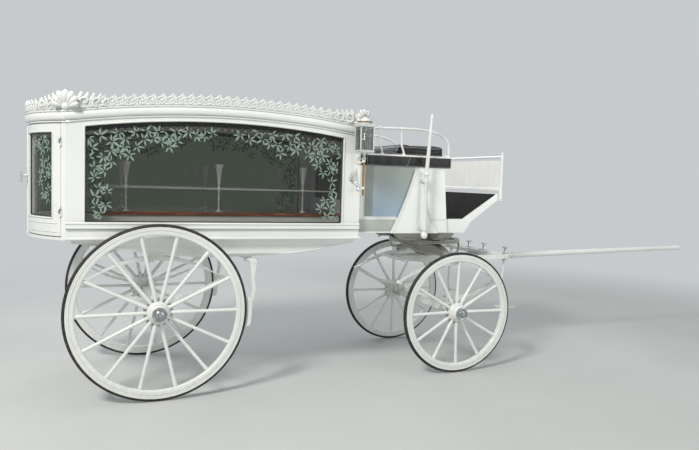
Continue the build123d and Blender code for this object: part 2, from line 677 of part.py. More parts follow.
# Handle on the meeting edge of the right-hand leaf
with BuildPart() as door_handle:
    with BuildSketch(Plane(origin=(X0 + HANDLE_X + 4, HANDLE_Y, HANDLE_Z), z_dir=(-1, 0, 0))):
        RegularPolygon(18, 12)
    extrude(amount=8)
    with BuildSketch(Plane(origin=(X0 + HANDLE_X + 4, HANDLE_Y, HANDLE_Z), z_dir=(-1, 0, 0))):
        RegularPolygon(7, 8)
    extrude(amount=HANDLE_REACH + 4)
    with BuildSketch(plan_plane(HANDLE_Z - 48)):
        with Locations((HANDLE_X - HANDLE_REACH, HANDLE_Y)):
            RegularPolygon(HANDLE_GRIP_R, 8, major_radius=False)
    extrude(amount=84)
    with Locations((X0 + BOW_X, 0, HANDLE_Z)):
        Cylinder(BOW_R, 200, mode=Mode.SUBTRACT)
finish(door_handle, "door_handle")

# Deck with its bearers, standing on the floor of the hull
with BuildPart() as deck:
    with BuildSketch(plan_plane(DECK_TOP - DECK_THICK)):
        with Locations(((DECK_REAR + DECK_FRONT) / 2, 0)):
            RectangleRounded(DECK_FRONT - DECK_REAR, 2 * DECK_HALF_WIDTH, 30)
    extrude(amount=DECK_THICK)
    with BuildSketch(plan_plane(FLOOR_Z)):
        for y in (-DECK_HALF_WIDTH + 60, 0, DECK_HALF_WIDTH - 60):
            with Locations(((DECK_REAR + DECK_FRONT) / 2, y)):
                Rectangle(DECK_FRONT - DECK_REAR - 120, 40)
    extrude(amount=DECK_TOP - DECK_THICK - FLOOR_Z)
finish(deck, "deck")

# Rail on the deck with turned posts and trumpet-shaped vases
with BuildPart() as deck_rail_right:
    with BuildSketch(cross_plane(DECK_REAR + 20)):
        with Locations((-RAIL_Y, RAIL_Z)):
            RegularPolygon(RAIL_R, 8)
    extrude(amount=DECK_FRONT - DECK_REAR - 60)
    for x in VASE_STATIONS:
        with BuildSketch(Plane(origin=(X0 + x, -RAIL_Y, 0), x_dir=(1, 0, 0), z_dir=(0, -1, 0))):
            with BuildLine():
                Polyline(
                    (0, DECK_TOP),
                    (24, DECK_TOP),
                    (8, DECK_TOP + 12),
                    (8, RAIL_Z - 14),
                    (16, RAIL_Z - 14),
                    (9, RAIL_Z + 24),
                    (32, RAIL_Z + VASE_HEIGHT),
                    (0, RAIL_Z + 90),
                    close=True,
                )
            make_face()
        revolve(axis=Axis((X0 + x, -RAIL_Y, 0), (0, 0, 1)))
finish(deck_rail_right, "deck_rail_right")
mirrored(deck_rail_right, "deck_rail_left")

# Boot under the driver's seat, with sunk side panels and flared side brackets
with BuildPart() as boot:
    with BuildSketch(side_plane(0)):
        with BuildLine():
            Polyline(
                (BODY_FRONT, BOOT_BOTTOM),
                (BOOT_FRONT_BOTTOM, BOOT_BOTTOM),
                (BOOT_FRONT_TOP, BOOT_TOP),
                (BODY_FRONT, BOOT_TOP),
                close=True,
            )
        make_face()
    extrude(amount=BOOT_HALF_WIDTH, both=True)
    for y in (-BOOT_HALF_WIDTH + PANEL_RECESS, BOOT_HALF_WIDTH):
        with BuildSketch(side_plane(y)):
            with BuildLine():
                Polyline(
                    (BODY_FRONT + 70, 1322),
                    (BOOT_FRONT_TOP - 30, 1322),
                    (BOOT_FRONT_TOP - 55, BOOT_TOP - 40),
                    (BODY_FRONT + 70, BOOT_TOP - 40),
                    close=True,
                )
            make_face()
        extrude(amount=PANEL_RECESS, mode=Mode.SUBTRACT)
    for y in (-BOOT_HALF_WIDTH + PANEL_RECESS, BOOT_HALF_WIDTH + BRACKET_THICK):
        with BuildSketch(side_plane(y)):
            with BuildLine():
                ThreePointArc((LEVER_X - 278, BOOT_BOTTOM), (LEVER_X - 178, 1405), (LEVER_X - 70, BOOT_TOP - 40))
                Line((LEVER_X - 70, BOOT_TOP - 40), (LEVER_X + 12, BOOT_TOP - 40))
                ThreePointArc((LEVER_X + 12, BOOT_TOP - 40), (LEVER_X + 40, 1425), (LEVER_X + 172, BOOT_BOTTOM))
                Line((LEVER_X + 172, BOOT_BOTTOM), (LEVER_X - 278, BOOT_BOTTOM))
            make_face()
        extrude(amount=PANEL_RECESS + BRACKET_THICK)
finish(boot, "boot")

# Padded seat box, seat board and cushions
with BuildPart() as seat_box:
    with BuildSketch(side_plane(0)):
        with Locations(((SEAT_BOX_REAR + SEAT_BOX_FRONT) / 2, BOOT_TOP + SEAT_BOX_HEIGHT / 2)):
            Rectangle(SEAT_BOX_FRONT - SEAT_BOX_REAR, SEAT_BOX_HEIGHT)
    extrude(amount=BOOT_HALF_WIDTH + 6, both=True)
finish(seat_box, "seat_box")

with BuildPart() as seat_board:
    with BuildSketch(plan_plane(BOOT_TOP + SEAT_BOX_HEIGHT)):
        with Locations(((SEAT_BOX_REAR + SEAT_BOX_FRONT) / 2, 0)):
            RectangleRounded(SEAT_BOX_FRONT - SEAT_BOX_REAR + 16, 2 * (BOOT_HALF_WIDTH + 14), 12)
    extrude(amount=SEAT_BOARD)
finish(seat_board, "seat_board")

with BuildPart() as seat_cushion:
    with BuildSketch(plan_plane(SEAT_TOP)):
        with Locations(((CUSHION_REAR + CUSHION_FRONT) / 2, 0)):
            RectangleRounded(CUSHION_FRONT - CUSHION_REAR, 2 * CUSHION_HALF_WIDTH, 40)
    extrude(amount=CUSHION_HEIGHT)
    chamfer(seat_cushion.faces().sort_by(Axis.Z)[-1].edges(), 24)
finish(seat_cushion, "seat_cushion")

with BuildPart() as seat_pad:
    with BuildSketch(plan_plane(SEAT_TOP)):
        with Locations(((SEAT_BOX_REAR + 20 + CUSHION_REAR - 15) / 2, 0)):
            RectangleRounded(CUSHION_REAR - SEAT_BOX_REAR - 35, 2 * (SEAT_RAIL_Y - 20), 20)
    extrude(amount=PAD_HEIGHT)
finish(seat_pad, "seat_pad")

# Rail round the seat: one bent tube with four posts
RAIL_REAR_X = SEAT_BOX_REAR + 95
RAIL_FRONT_X = SEAT_BOX_FRONT - 15
RAIL_KNEE_X = RAIL_FRONT_X - 200
with BuildPart() as seat_rail:
    with BuildLine():
        FilletPolyline(
            (X0 + RAIL_FRONT_X, -SEAT_RAIL_Y, SEAT_TOP),
            (X0 + RAIL_FRONT_X, -SEAT_RAIL_Y, SEAT_RAIL_TOP - 40),
            (X0 + RAIL_KNEE_X, -SEAT_RAIL_Y, SEAT_RAIL_TOP),
            (X0 + RAIL_REAR_X, -SEAT_RAIL_Y, SEAT_RAIL_TOP - 8),
            (X0 + RAIL_REAR_X, SEAT_RAIL_Y, SEAT_RAIL_TOP - 8),
            (X0 + RAIL_KNEE_X, SEAT_RAIL_Y, SEAT_RAIL_TOP),
            (X0 + RAIL_FRONT_X, SEAT_RAIL_Y, SEAT_RAIL_TOP - 40),
            (X0 + RAIL_FRONT_X, SEAT_RAIL_Y, SEAT_TOP),
            radius=70,
        )
    with BuildSketch(Plane(origin=(X0 + RAIL_FRONT_X, -SEAT_RAIL_Y, SEAT_TOP), z_dir=(0, 0, 1))):
        RegularPolygon(SEAT_RAIL_R, 8)
    sweep()
    with BuildSketch(plan_plane(SEAT_TOP)):
        for x in (RAIL_REAR_X + 45, RAIL_REAR_X + 245):
            with Locations((x, -SEAT_RAIL_Y), (x, SEAT_RAIL_Y)):
                RegularPolygon(SEAT_RAIL_R - 1, 8)
    extrude(amount=SEAT_RAIL_TOP - 6 - SEAT_TOP)
finish(seat_rail, "seat_rail")

# Footboard: level floor, raked toe board and the toe board's stays
with BuildPart() as footboard:
    with BuildSketch(side_plane(0)):
        with BuildLine():
            Polyline(
                (BOOT_FRONT_BOTTOM, BOOT_BOTTOM),
                (FOOT_KNEE_X + 5, BOOT_BOTTOM),
                (FOOT_KNEE_X + 73, FOOT_FLOOR_Z - 22),
                (TOE_X + 22, TOE_Z - 34),
                (TOE_X, TOE_Z),
                (FOOT_KNEE_X, FOOT_FLOOR_Z),
                (BOOT_FRONT_BOTTOM - (FOOT_FLOOR_Z - BOOT_BOTTOM) * BOOT_LEAN, FOOT_FLOOR_Z),
                close=True,
            )
        make_face()
    extrude(amount=FOOTBOARD_HALF_WIDTH, both=True)
    with BuildSketch(side_plane(0)):
        with BuildLine():
            Polyline(
                (BOOT_FRONT_BOTTOM + 33, BOOT_BOTTOM - 1),
                (BOOT_FRONT_BOTTOM + 33, FOOT_FLOOR_Z - FOOTBOARD_THICK),
                (FOOT_KNEE_X - 10, FOOT_FLOOR_Z - FOOTBOARD_THICK),
                (FOOT_KNEE_X + 5, BOOT_BOTTOM + 60),
                (FOOT_KNEE_X - 35, BOOT_BOTTOM - 1),
                close=True,
            )
        make_face()
    extrude(amount=FOOTBOARD_HALF_WIDTH - 40, both=True, mode=Mode.SUBTRACT)
finish(footboard, "footboard")

with BuildPart() as foot_mat:
    with BuildSketch(side_plane(0)):
        with BuildLine():
            slope_x = (TOE_X - FOOT_KNEE_X) / hypot(TOE_X - FOOT_KNEE_X, TOE_Z - FOOT_FLOOR_Z)
            slope_z = (TOE_Z - FOOT_FLOOR_Z) / hypot(TOE_X - FOOT_KNEE_X, TOE_Z - FOOT_FLOOR_Z)
            Polyline(
                (BOOT_FRONT_BOTTOM + 8, FOOT_FLOOR_Z),
                (FOOT_KNEE_X, FOOT_FLOOR_Z),
                (TOE_X - 12 * slope_x, TOE_Z - 12 * slope_z),
                (TOE_X - 12 * slope_x - MAT_THICK * slope_z, TOE_Z - 12 * slope_z + MAT_THICK * slope_x),
                (FOOT_KNEE_X - MAT_THICK * 0.3, FOOT_FLOOR_Z + MAT_THICK),
                (BOOT_FRONT_BOTTOM + 8, FOOT_FLOOR_Z + MAT_THICK),
                close=True,
            )
        make_face()
    extrude(amount=FOOTBOARD_HALF_WIDTH - 30, both=True)
finish(foot_mat, "foot_mat")

# Dashboard with side posts and a rail over it
DASH_X = TOE_X + 16
with BuildPart() as dashboard:
    with BuildSketch(side_plane(0)):
        with Locations((DASH_X, (DASH_BOTTOM + DASH_TOP) / 2)):
            Rectangle(DASH_THICK, DASH_TOP - DASH_BOTTOM)
    extrude(amount=FOOTBOARD_HALF_WIDTH + 2, both=True)
    for y in (-FOOTBOARD_HALF_WIDTH - DASH_POST_R, FOOTBOARD_HALF_WIDTH + DASH_POST_R):
        with BuildSketch(plan_plane(1472)):
            with Locations((DASH_X, y)):
                Circle(DASH_POST_R)
        extrude(amount=DASH_RAIL_Z + 40 - 1472)
    with BuildSketch(side_plane(0)):
        with Locations((DASH_X, DASH_RAIL_Z)):
            Circle(DASH_RAIL_R)
    extrude(amount=FOOTBOARD_HALF_WIDTH + 6, both=True)
finish(dashboard, "dashboard")


# Elliptic springs: two bowed packs of leaves joined at their eyes
def elliptic_spring(x, y, eye_z):
    """One full elliptic spring, with its clamps, in its own builder."""
    with BuildPart() as spring:
        for flip in (-1, 1):
            centre_z = eye_z + flip * (SPRING_RISE - SPRING_R)
            for i, span in enumerate(LEAF_SPANS):
                with BuildSketch(side_plane(y + SPRING_WIDTH / 2)):
                    with Locations((x, centre_z)):
                        Circle(SPRING_R + (i + 1) * LEAF)
                        Circle(SPRING_R + i * LEAF, mode=Mode.SUBTRACT)
                    with Locations((x, eye_z + flip * 250)):
                        Rectangle(2 * SPRING_HALF_SPAN * span, 500, mode=Mode.INTERSECT)
                extrude(amount=SPRING_WIDTH)
            with BuildSketch(side_plane(y + SPRING_WIDTH / 2 + 4)):
                with Locations((x, eye_z + flip * (SPRING_RISE + STACK / 2))):
                    Rectangle(CLAMP_LENGTH, STACK)
            extrude(amount=SPRING_WIDTH + 8)
        with BuildSketch(side_plane(y + SPRING_WIDTH / 2 + 3)):
            with Locations((x - SPRING_HALF_SPAN, eye_z), (x + SPRING_HALF_SPAN, eye_z)):
                Circle(EYE_R)
        extrude(amount=SPRING_WIDTH + 6)
    return spring


for name, x, eye_z in (("rear_spring", 0.0, REAR_EYE_Z), ("front_spring", KING, FRONT_EYE_Z)):
    spring_right = elliptic_spring(x, -SPRING_Y, eye_z)
    finish(spring_right, f"{name}_right")
    mirrored(spring_right, f"{name}_left")


# Axles: square beds with spring blocks and round journals
def axle(x, track, radius, eye_z):
    """One axle for two wheels of a radius, with blocks up to the springs."""
    shoulder = track / 2 - HUB_IN - WHEEL_DISH
    with BuildPart() as bed:
        with BuildSketch(side_plane(0)):
            with Locations((x, radius)):
                Rectangle(AXLE_SIZE, AXLE_SIZE)
        extrude(amount=shoulder - 14, both=True)
        with BuildSketch(side_plane(0)):
            with Locations((x, radius)):
                Circle(AXLE_SIZE / 2 + 8)
        collar = extrude(amount=shoulder - HUB_SEAT_GAP, both=True, mode=Mode.PRIVATE)
        with BuildSketch(side_plane(0)):
            with Locations((x, radius)):
                Circle(AXLE_SIZE / 2 + 8)
        inner = extrude(amount=shoulder - 14, both=True, mode=Mode.PRIVATE)
        add(collar - inner)
        with BuildSketch(side_plane(0)):
            with Locations((x, radius)):
                Circle(JOURNAL_R)
        extrude(amount=track / 2 + HUB_OUT - 50, both=True)
        block_top = eye_z - SPRING_RISE - STACK
        for y in (-SPRING_Y, SPRING_Y):
            with Locations((X0 + x, y, radius)):
                Box(
                    CLAMP_LENGTH,
                    SPRING_WIDTH + 8,
                    block_top - radius,
                    align=(Align.CENTER, Align.CENTER, Align.MIN),
                )
    return bed


rear_axle = axle(0.0, REAR_TRACK, REAR_R, REAR_EYE_Z)
finish(rear_axle, "rear_axle")
front_axle = axle(KING, FRONT_TRACK, FRONT_R, FRONT_EYE_Z)
finish(front_axle, "front_axle")


# Wheels: dished spokes between a turned hub and a deep felloe, and a rubber tyre on it
def wheel_pieces(x, track, radius, spokes, first, name):
    """Wheel and tyre on the right-hand side, then both again on the left.

    first is how far the first spoke stands from the top, in shares of the spacing.
    """
    y = -track / 2
    turn = Plane(origin=(X0 + x, y, radius), x_dir=(0, 0, 1), z_dir=(1, 0, 0))
    axis = Axis((X0 + x, y, radius), (0, 1, 0))
    felloe_r = radius - TYRE_DEPTH
    root_y = WHEEL_DISH
    # in the turning plane local x is the radius and local y points outward, away from the body
    with BuildPart() as wheel:
        with BuildSketch(turn):
            with BuildLine():
                half = FELLOE_WIDTH / 2
                Polyline(
                    (felloe_r - FELLOE_DEPTH, -half + 8),
                    (felloe_r - FELLOE_DEPTH + 8, -half),
                    (felloe_r, -half),
                    (felloe_r, half),
                    (felloe_r - FELLOE_DEPTH + 8, half),
                    (felloe_r - FELLOE_DEPTH, half - 8),
                    close=True,
                )
            make_face()
            with BuildLine():
                Polyline(
                    (JOURNAL_R + RUNNING_GAP, -root_y - HUB_IN),
                    (HUB_BARREL_R - 6, -root_y - HUB_IN),
                    (HUB_BARREL_R + 6, -root_y - 30),
                    (HUB_FLANGE_R, -root_y - 24),
                    (HUB_FLANGE_R, -root_y - 10),
                    (HUB_COLLAR_R, -root_y - 8),
                    (HUB_COLLAR_R, -root_y + 24),
                    (HUB_BARREL_R + 8, -root_y + 32),
                    (HUB_BARREL_R - 4, HUB_OUT - 30),
                    (HUB_BARREL_R - 10, HUB_OUT - 6),
                    (HUB_BARREL_R - 24, HUB_OUT),
                    (0, HUB_OUT),
                    (0, HUB_OUT - 44),
                    (JOURNAL_R + RUNNING_GAP, HUB_OUT - 44),
                    close=True,
                )
            make_face()
        revolve(axis=axis)
        for k in range(spokes):
            a = 2 * pi * (k + first) / spokes
            root_r = HUB_COLLAR_R - 10
            foot = Vector(X0 + x + root_r * sin(a), y + root_y, radius + root_r * cos(a))
            tip_r = felloe_r - FELLOE_DEPTH + 12
            tip = Vector(X0 + x + tip_r * sin(a), y, radius + tip_r * cos(a))
            taper = degrees(atan2(SPOKE_ROOT_R - SPOKE_TIP_R, (tip - foot).length))
            with BuildSketch(Plane(origin=foot, x_dir=(0, 1, 0), z_dir=tip - foot)):
                RegularPolygon(SPOKE_ROOT_R, 8)
            extrude(amount=(tip - foot).length, taper=taper)
    finish(wheel, f"{name}_wheel_right")
    mirrored(wheel, f"{name}_wheel_left")
    with BuildPart() as tyre:
        with BuildSketch(turn):
            with BuildLine():
                half = TYRE_WIDTH / 2
                Polyline(
                    (felloe_r, -half),
                    (felloe_r + TYRE_DEPTH * 0.6, -half),
                    (radius, -half * 0.45),
                    (radius, half * 0.45),
                    (felloe_r + TYRE_DEPTH * 0.6, half),
                    (felloe_r, half),
                    close=True,
                )
            make_face()
        revolve(axis=axis)
    finish(tyre, f"{name}_tyre_right")
    mirrored(tyre, f"{name}_tyre_left")


wheel_pieces(0.0, REAR_TRACK, REAR_R, REAR_SPOKES, 0.5, "rear")
wheel_pieces(KING, FRONT_TRACK, FRONT_R, FRONT_SPOKES, 0.0, "front")

# Upper half of the turntable: wheel plate, bed and stays under the boot
with BuildPart() as turntable_upper:
    with BuildSketch(plan_plane(RING_Z)):
        with Locations((KING, 0)):
            Circle(RING_R)
            Circle(RING_R - RING_WIDTH, mode=Mode.SUBTRACT)
            Rectangle(BED_DEPTH, 2 * RING_R - 10)
    extrude(amount=RING_THICK)
    with BuildSketch(plan_plane(UPPER_BED_Z)):
        with Locations((KING - 60, 0)):
            Rectangle(BED_DEPTH - 10, 2 * UPPER_BED_HALF_LENGTH)
        for y in (-230, 230):
            with Locations((KING - 130, y)):
                Rectangle(2 * RING_R - 60, 46)
    extrude(amount=BOOT_BOTTOM - UPPER_BED_Z)
    with BuildSketch(plan_plane(RING_Z)):
        with Locations((KING, 0)):
            Circle(46)
    extrude(amount=60)
    with BuildSketch(plan_plane(RING_Z)):
        with Locations((KING, 0)):
            Circle(KINGPIN_R + RUNNING_GAP)
    extrude(amount=62, mode=Mode.SUBTRACT)
finish(turntable_upper, "turntable_upper")

# Lower half: wheel plate, bed on the front springs and the kingpin
with BuildPart() as turntable_lower:
    with BuildSketch(plan_plane(RING_BOTTOM)):
        with Locations((KING, 0)):
            Circle(RING_R)
            Circle(RING_R - RING_WIDTH, mode=Mode.SUBTRACT)
            Rectangle(BED_DEPTH, 2 * RING_R - 10)
    extrude(amount=RING_THICK)
    with BuildSketch(cross_plane(KING - BED_DEPTH / 2)):
        with BuildLine():
            Polyline(
                (-BED_HALF_LENGTH, FRONT_SEAT_Z),
                (BED_HALF_LENGTH, FRONT_SEAT_Z),
                (BED_HALF_LENGTH, FRONT_SEAT_Z + 66),
                (RING_R + 20, RING_BOTTOM - 18),
                (RING_R - 40, RING_BOTTOM),
                (-RING_R + 40, RING_BOTTOM),
                (-RING_R - 20, RING_BOTTOM - 18),
                (-BED_HALF_LENGTH, FRONT_SEAT_Z + 66),
                close=True,
            )
        make_face()
    extrude(amount=BED_DEPTH)
    for y in (-FUTCHELL_Y, FUTCHELL_Y):
        with BuildSketch(cross_plane(KING - BED_DEPTH / 2 - 1)):
            with Locations((y, FUTCHELL_Z + FUTCHELL_HEIGHT / 2)):
                Rectangle(FUTCHELL_WIDTH, FUTCHELL_HEIGHT)
        extrude(amount=BED_DEPTH + 2, mode=Mode.SUBTRACT)
    with BuildSketch(plan_plane(RING_BOTTOM)):
        with Locations((KING, 0)):
            Circle(KINGPIN_R)
    extrude(amount=RING_THICK + 58)
finish(turntable_lower, "turntable_lower")

# Futchells: two bars through the bed that hold the pole and carry the splinter bar
with BuildPart() as futchells:
    for y in (-FUTCHELL_Y, FUTCHELL_Y):
        with BuildSketch(side_plane(y + FUTCHELL_WIDTH / 2)):
            with BuildLine():
                Polyline(
                    (KING - FUTCHELL_REAR, FUTCHELL_Z + 26),
                    (KING - BED_DEPTH, FUTCHELL_Z),
                    (KING + SPLINTER_X + 10, FUTCHELL_Z),
                    (KING + SPLINTER_X + 52, FUTCHELL_Z + 22),
                    (KING + SPLINTER_X + 52, SPLINTER_Z),
                    (KING - BED_DEPTH, SPLINTER_Z),
                    (KING - FUTCHELL_REAR, SPLINTER_Z - 6),
                    close=True,
                )
            make_face()
        extrude(amount=FUTCHELL_WIDTH)
    with BuildSketch(plan_plane(FUTCHELL_Z + 30)):
        with Locations((KING - FUTCHELL_REAR + 20, 0)):
            Rectangle(36, 2 * 250)
    extrude(amount=24)
finish(futchells, "futchells")

# Splinter bar with its roller bolts and the side bars that brace it
with BuildPart() as splinter_bar:
    with BuildSketch(plan_plane(SPLINTER_Z)):
        with Locations((KING + SPLINTER_X, 0)):
            RectangleRounded(SPLINTER_DEPTH, 2 * SPLINTER_HALF_LENGTH, 18)
    extrude(amount=SPLINTER_HEIGHT)
    for station in ROLLER_STATIONS:
        for y in (-station, station):
            with BuildSketch(plan_plane(SPLINTER_TOP)):
                with Locations((KING + SPLINTER_X, y)):
                    Circle(ROLLER_R)
            extrude(amount=ROLLER_LENGTH)
            with BuildSketch(plan_plane(SPLINTER_TOP + ROLLER_LENGTH)):
                with Locations((KING + SPLINTER_X, y)):
                    Circle(ROLLER_HEAD_R)
            extrude(amount=ROLLER_HEAD)
finish(splinter_bar, "splinter_bar")

with BuildPart() as bar_stay_right:
    with BuildSketch(side_plane(-SPRING_Y)):
        with BuildLine():
            Polyline(
                (KING + BED_DEPTH / 2, SPLINTER_Z - 10),
                (KING + SPLINTER_X - SPLINTER_DEPTH / 2, SPLINTER_Z + 6),
                (KING + SPLINTER_X - SPLINTER_DEPTH / 2, SPLINTER_TOP - 6),
                (KING + BED_DEPTH / 2, SPLINTER_Z + 34),
                close=True,
            )
        make_face()
    extrude(amount=30)
finish(bar_stay_right, "bar_stay_right")
mirrored(bar_stay_right, "bar_stay_left")

# Pole: square where the futchells hold it, then round and tapered to its head
POLE_ROOT = KING + BED_DEPTH / 2 + 60
POLE_BEND = KING + SPLINTER_X + 120
POLE_WIDTH = 2 * (FUTCHELL_Y - FUTCHELL_WIDTH / 2)
with BuildPart() as pole:
    with BuildSketch(side_plane(POLE_WIDTH / 2)):
        with Locations(((POLE_ROOT + POLE_BEND) / 2, SPLINTER_Z - POLE_SIZE / 2)):
            Rectangle(POLE_BEND - POLE_ROOT, POLE_SIZE)
    extrude(amount=POLE_WIDTH)
    # round taper from the butt to the ferrule at the tip, rising a little forward
    slope = atan2(POLE_RISE, POLE_TIP - POLE_BEND)
    length = hypot(POLE_TIP - POLE_BEND, POLE_RISE) - POLE_FERRULE_R * sin(slope)
    taper = degrees(atan2(POLE_SIZE / 2 - 1 - POLE_TIP_R, length - POLE_FERRULE))
    butt = Vector(X0 + POLE_BEND, 0, SPLINTER_Z - POLE_SIZE / 2)
    along = Vector(cos(slope), 0, sin(slope))
    with BuildSketch(Plane(origin=butt, x_dir=(0, 1, 0), z_dir=along)):
        RegularPolygon(POLE_SIZE / 2 - 1, 12)
    extrude(amount=length - POLE_FERRULE, taper=taper)
    with BuildSketch(Plane(origin=butt - along * 30, x_dir=(0, 1, 0), z_dir=along)):
        RegularPolygon(POLE_SIZE / 2 - 1, 12)
    extrude(amount=31)
    with BuildSketch(Plane(origin=butt + along * (length - POLE_FERRULE), x_dir=(0, 1, 0), z_dir=along)):
        RegularPolygon(POLE_FERRULE_R, 12)
    extrude(amount=POLE_FERRULE)
finish(pole, "pole")

# Hanging steps at the ends of the splinter bar
with BuildPart() as step_right:
    step_y = -SPLINTER_HALF_LENGTH + 44
    with BuildSketch(plan_plane(STEP_TREAD_Z)):
        with Locations((KING + SPLINTER_X, step_y)):
            Circle(10)
    extrude(amount=SPLINTER_Z - STEP_TREAD_Z)
    with BuildSketch(plan_plane(STEP_TREAD_Z - 8)):
        with Locations((KING + SPLINTER_X + 34, step_y)):
            RectangleRounded(180, 100, 24)
    extrude(amount=8)
    with BuildSketch(plan_plane(SPLINTER_Z - 14)):
        with Locations((KING + SPLINTER_X, step_y)):
            Circle(22)
    extrude(amount=14)
finish(step_right, "step_right")
mirrored(step_right, "step_left")

# Lamp: square lantern on a stem, carried by two arms from the front post
with BuildPart() as lamp_right:
    half = LAMP_SIZE / 2
    with BuildSketch(plan_plane(LAMP_BASE_Z)):
        with Locations((LAMP_X, -LAMP_Y)):
            Rectangle(LAMP_SIZE, LAMP_SIZE)
    extrude(amount=20)
    with BuildSketch(plan_plane(LAMP_BASE_Z + 20)):
        with Locations((LAMP_X, -LAMP_Y)):
            with GridLocations(LAMP_SIZE - 14, LAMP_SIZE - 14, 2, 2):
                Rectangle(14, 14)
    extrude(amount=LAMP_HEIGHT - 120)
    with BuildSketch(plan_plane(LAMP_BASE_Z + LAMP_HEIGHT - 100)):
        with Locations((LAMP_X, -LAMP_Y)):
            Rectangle(LAMP_SIZE + 10, LAMP_SIZE + 10)
    extrude(amount=22)
    with BuildSketch(plan_plane(LAMP_BASE_Z + LAMP_HEIGHT - 78)):
        with Locations((LAMP_X, -LAMP_Y)):
            Rectangle(LAMP_SIZE, LAMP_SIZE)
    with BuildSketch(plan_plane(LAMP_BASE_Z + LAMP_HEIGHT - 18)):
        with Locations((LAMP_X, -LAMP_Y)):
            Rectangle(26, 26)
    loft()
    with BuildSketch(plan_plane(LAMP_BASE_Z + LAMP_HEIGHT - 18)):
        with Locations((LAMP_X, -LAMP_Y)):
            Circle(9)
    extrude(amount=18)
    with BuildSketch(plan_plane(1500)):
        with Locations((LAMP_X, -LAMP_Y)):
            Circle(9)
    extrude(amount=LAMP_BASE_Z - 1500)
    with BuildSketch(plan_plane(LAMP_BASE_Z - 50)):
        with Locations((LAMP_X, -LAMP_Y)):
            Circle(18)
    extrude(amount=50)
    for z in (1560.0, 1770.0):
        with BuildSketch(side_plane(-BODY_HALF_WIDTH)):
            with Locations((LAMP_X, z)):
                Rectangle(16, 16)
        extrude(amount=LAMP_Y - BODY_HALF_WIDTH)
        with BuildSketch(side_plane(-BODY_HALF_WIDTH)):
            with Locations((LAMP_X, z)):
                Rectangle(34, 50)
        extrude(amount=6)
finish(lamp_right, "lamp_right")
mirrored(lamp_right, "lamp_left")

with BuildPart() as lamp_glass_right:
    with BuildSketch(plan_plane(LAMP_BASE_Z + 20)):
        with Locations((LAMP_X, -LAMP_Y)):
            Rectangle(LAMP_SIZE - 10, LAMP_SIZE - 10)
            Rectangle(LAMP_SIZE - 18, LAMP_SIZE - 18, mode=Mode.SUBTRACT)
            with GridLocations(LAMP_SIZE - 14, LAMP_SIZE - 14, 2, 2):
                Rectangle(14, 14, mode=Mode.SUBTRACT)
    extrude(amount=LAMP_HEIGHT - 120)
finish(lamp_glass_right, "lamp_glass_right")
mirrored(lamp_glass_right, "lamp_glass_left")

# Hand brake: column beside the seat, held to the bracket of the boot
BRACKET_FACE = BOOT_HALF_WIDTH + BRACKET_THICK
with BuildPart() as brake_lever:
    with BuildSketch(Plane(origin=(X0 + LEVER_X, -LEVER_Y, 0), x_dir=(1, 0, 0), z_dir=(0, -1, 0))):
        with BuildLine():
            Polyline(
                (0, LEVER_BOTTOM - 30),
                (20, LEVER_BOTTOM - 22),
                (30, LEVER_BOTTOM),
                (20, LEVER_BOTTOM + 22),
                (LEVER_R, LEVER_BOTTOM + 30),
                (LEVER_R, LEVER_COLLAR_Z - 16),
                (LEVER_R + 8, LEVER_COLLAR_Z - 10),
                (LEVER_R + 8, LEVER_COLLAR_Z + 12),
                (LEVER_R, LEVER_COLLAR_Z + 18),
                (0, LEVER_COLLAR_Z + 18),
                close=True,
            )
        make_face()
    revolve(axis=Axis((X0 + LEVER_X, -LEVER_Y, 0), (0, 0, 1)))
    # above the collar the column leans forward; local y runs up its axis
    lean = radians(LEVER_LEAN)
    collar = Vector(X0 + LEVER_X, -LEVER_Y, LEVER_COLLAR_Z)
    upper = (LEVER_TOP - LEVER_COLLAR_Z) / cos(lean)
    with BuildSketch(Plane(origin=collar, x_dir=(cos(lean), 0, -sin(lean)), z_dir=(0, -1, 0))):
        with BuildLine():
            Polyline(
                (0, 0),
                (LEVER_R, 0),
                (LEVER_R - 3, upper - 150),
                (10, upper - 144),
                (10, upper - 4),
                (0, upper),
                close=True,
            )
        make_face()
    revolve(axis=Axis(collar, (sin(lean), 0, cos(lean))))
    for z in (1240.0, 1640.0):
        with BuildSketch(side_plane(-BRACKET_FACE)):
            with Locations((LEVER_X, z)):
                Rectangle(40, 44)
        extrude(amount=LEVER_Y - BRACKET_FACE)
finish(brake_lever, "brake_lever")

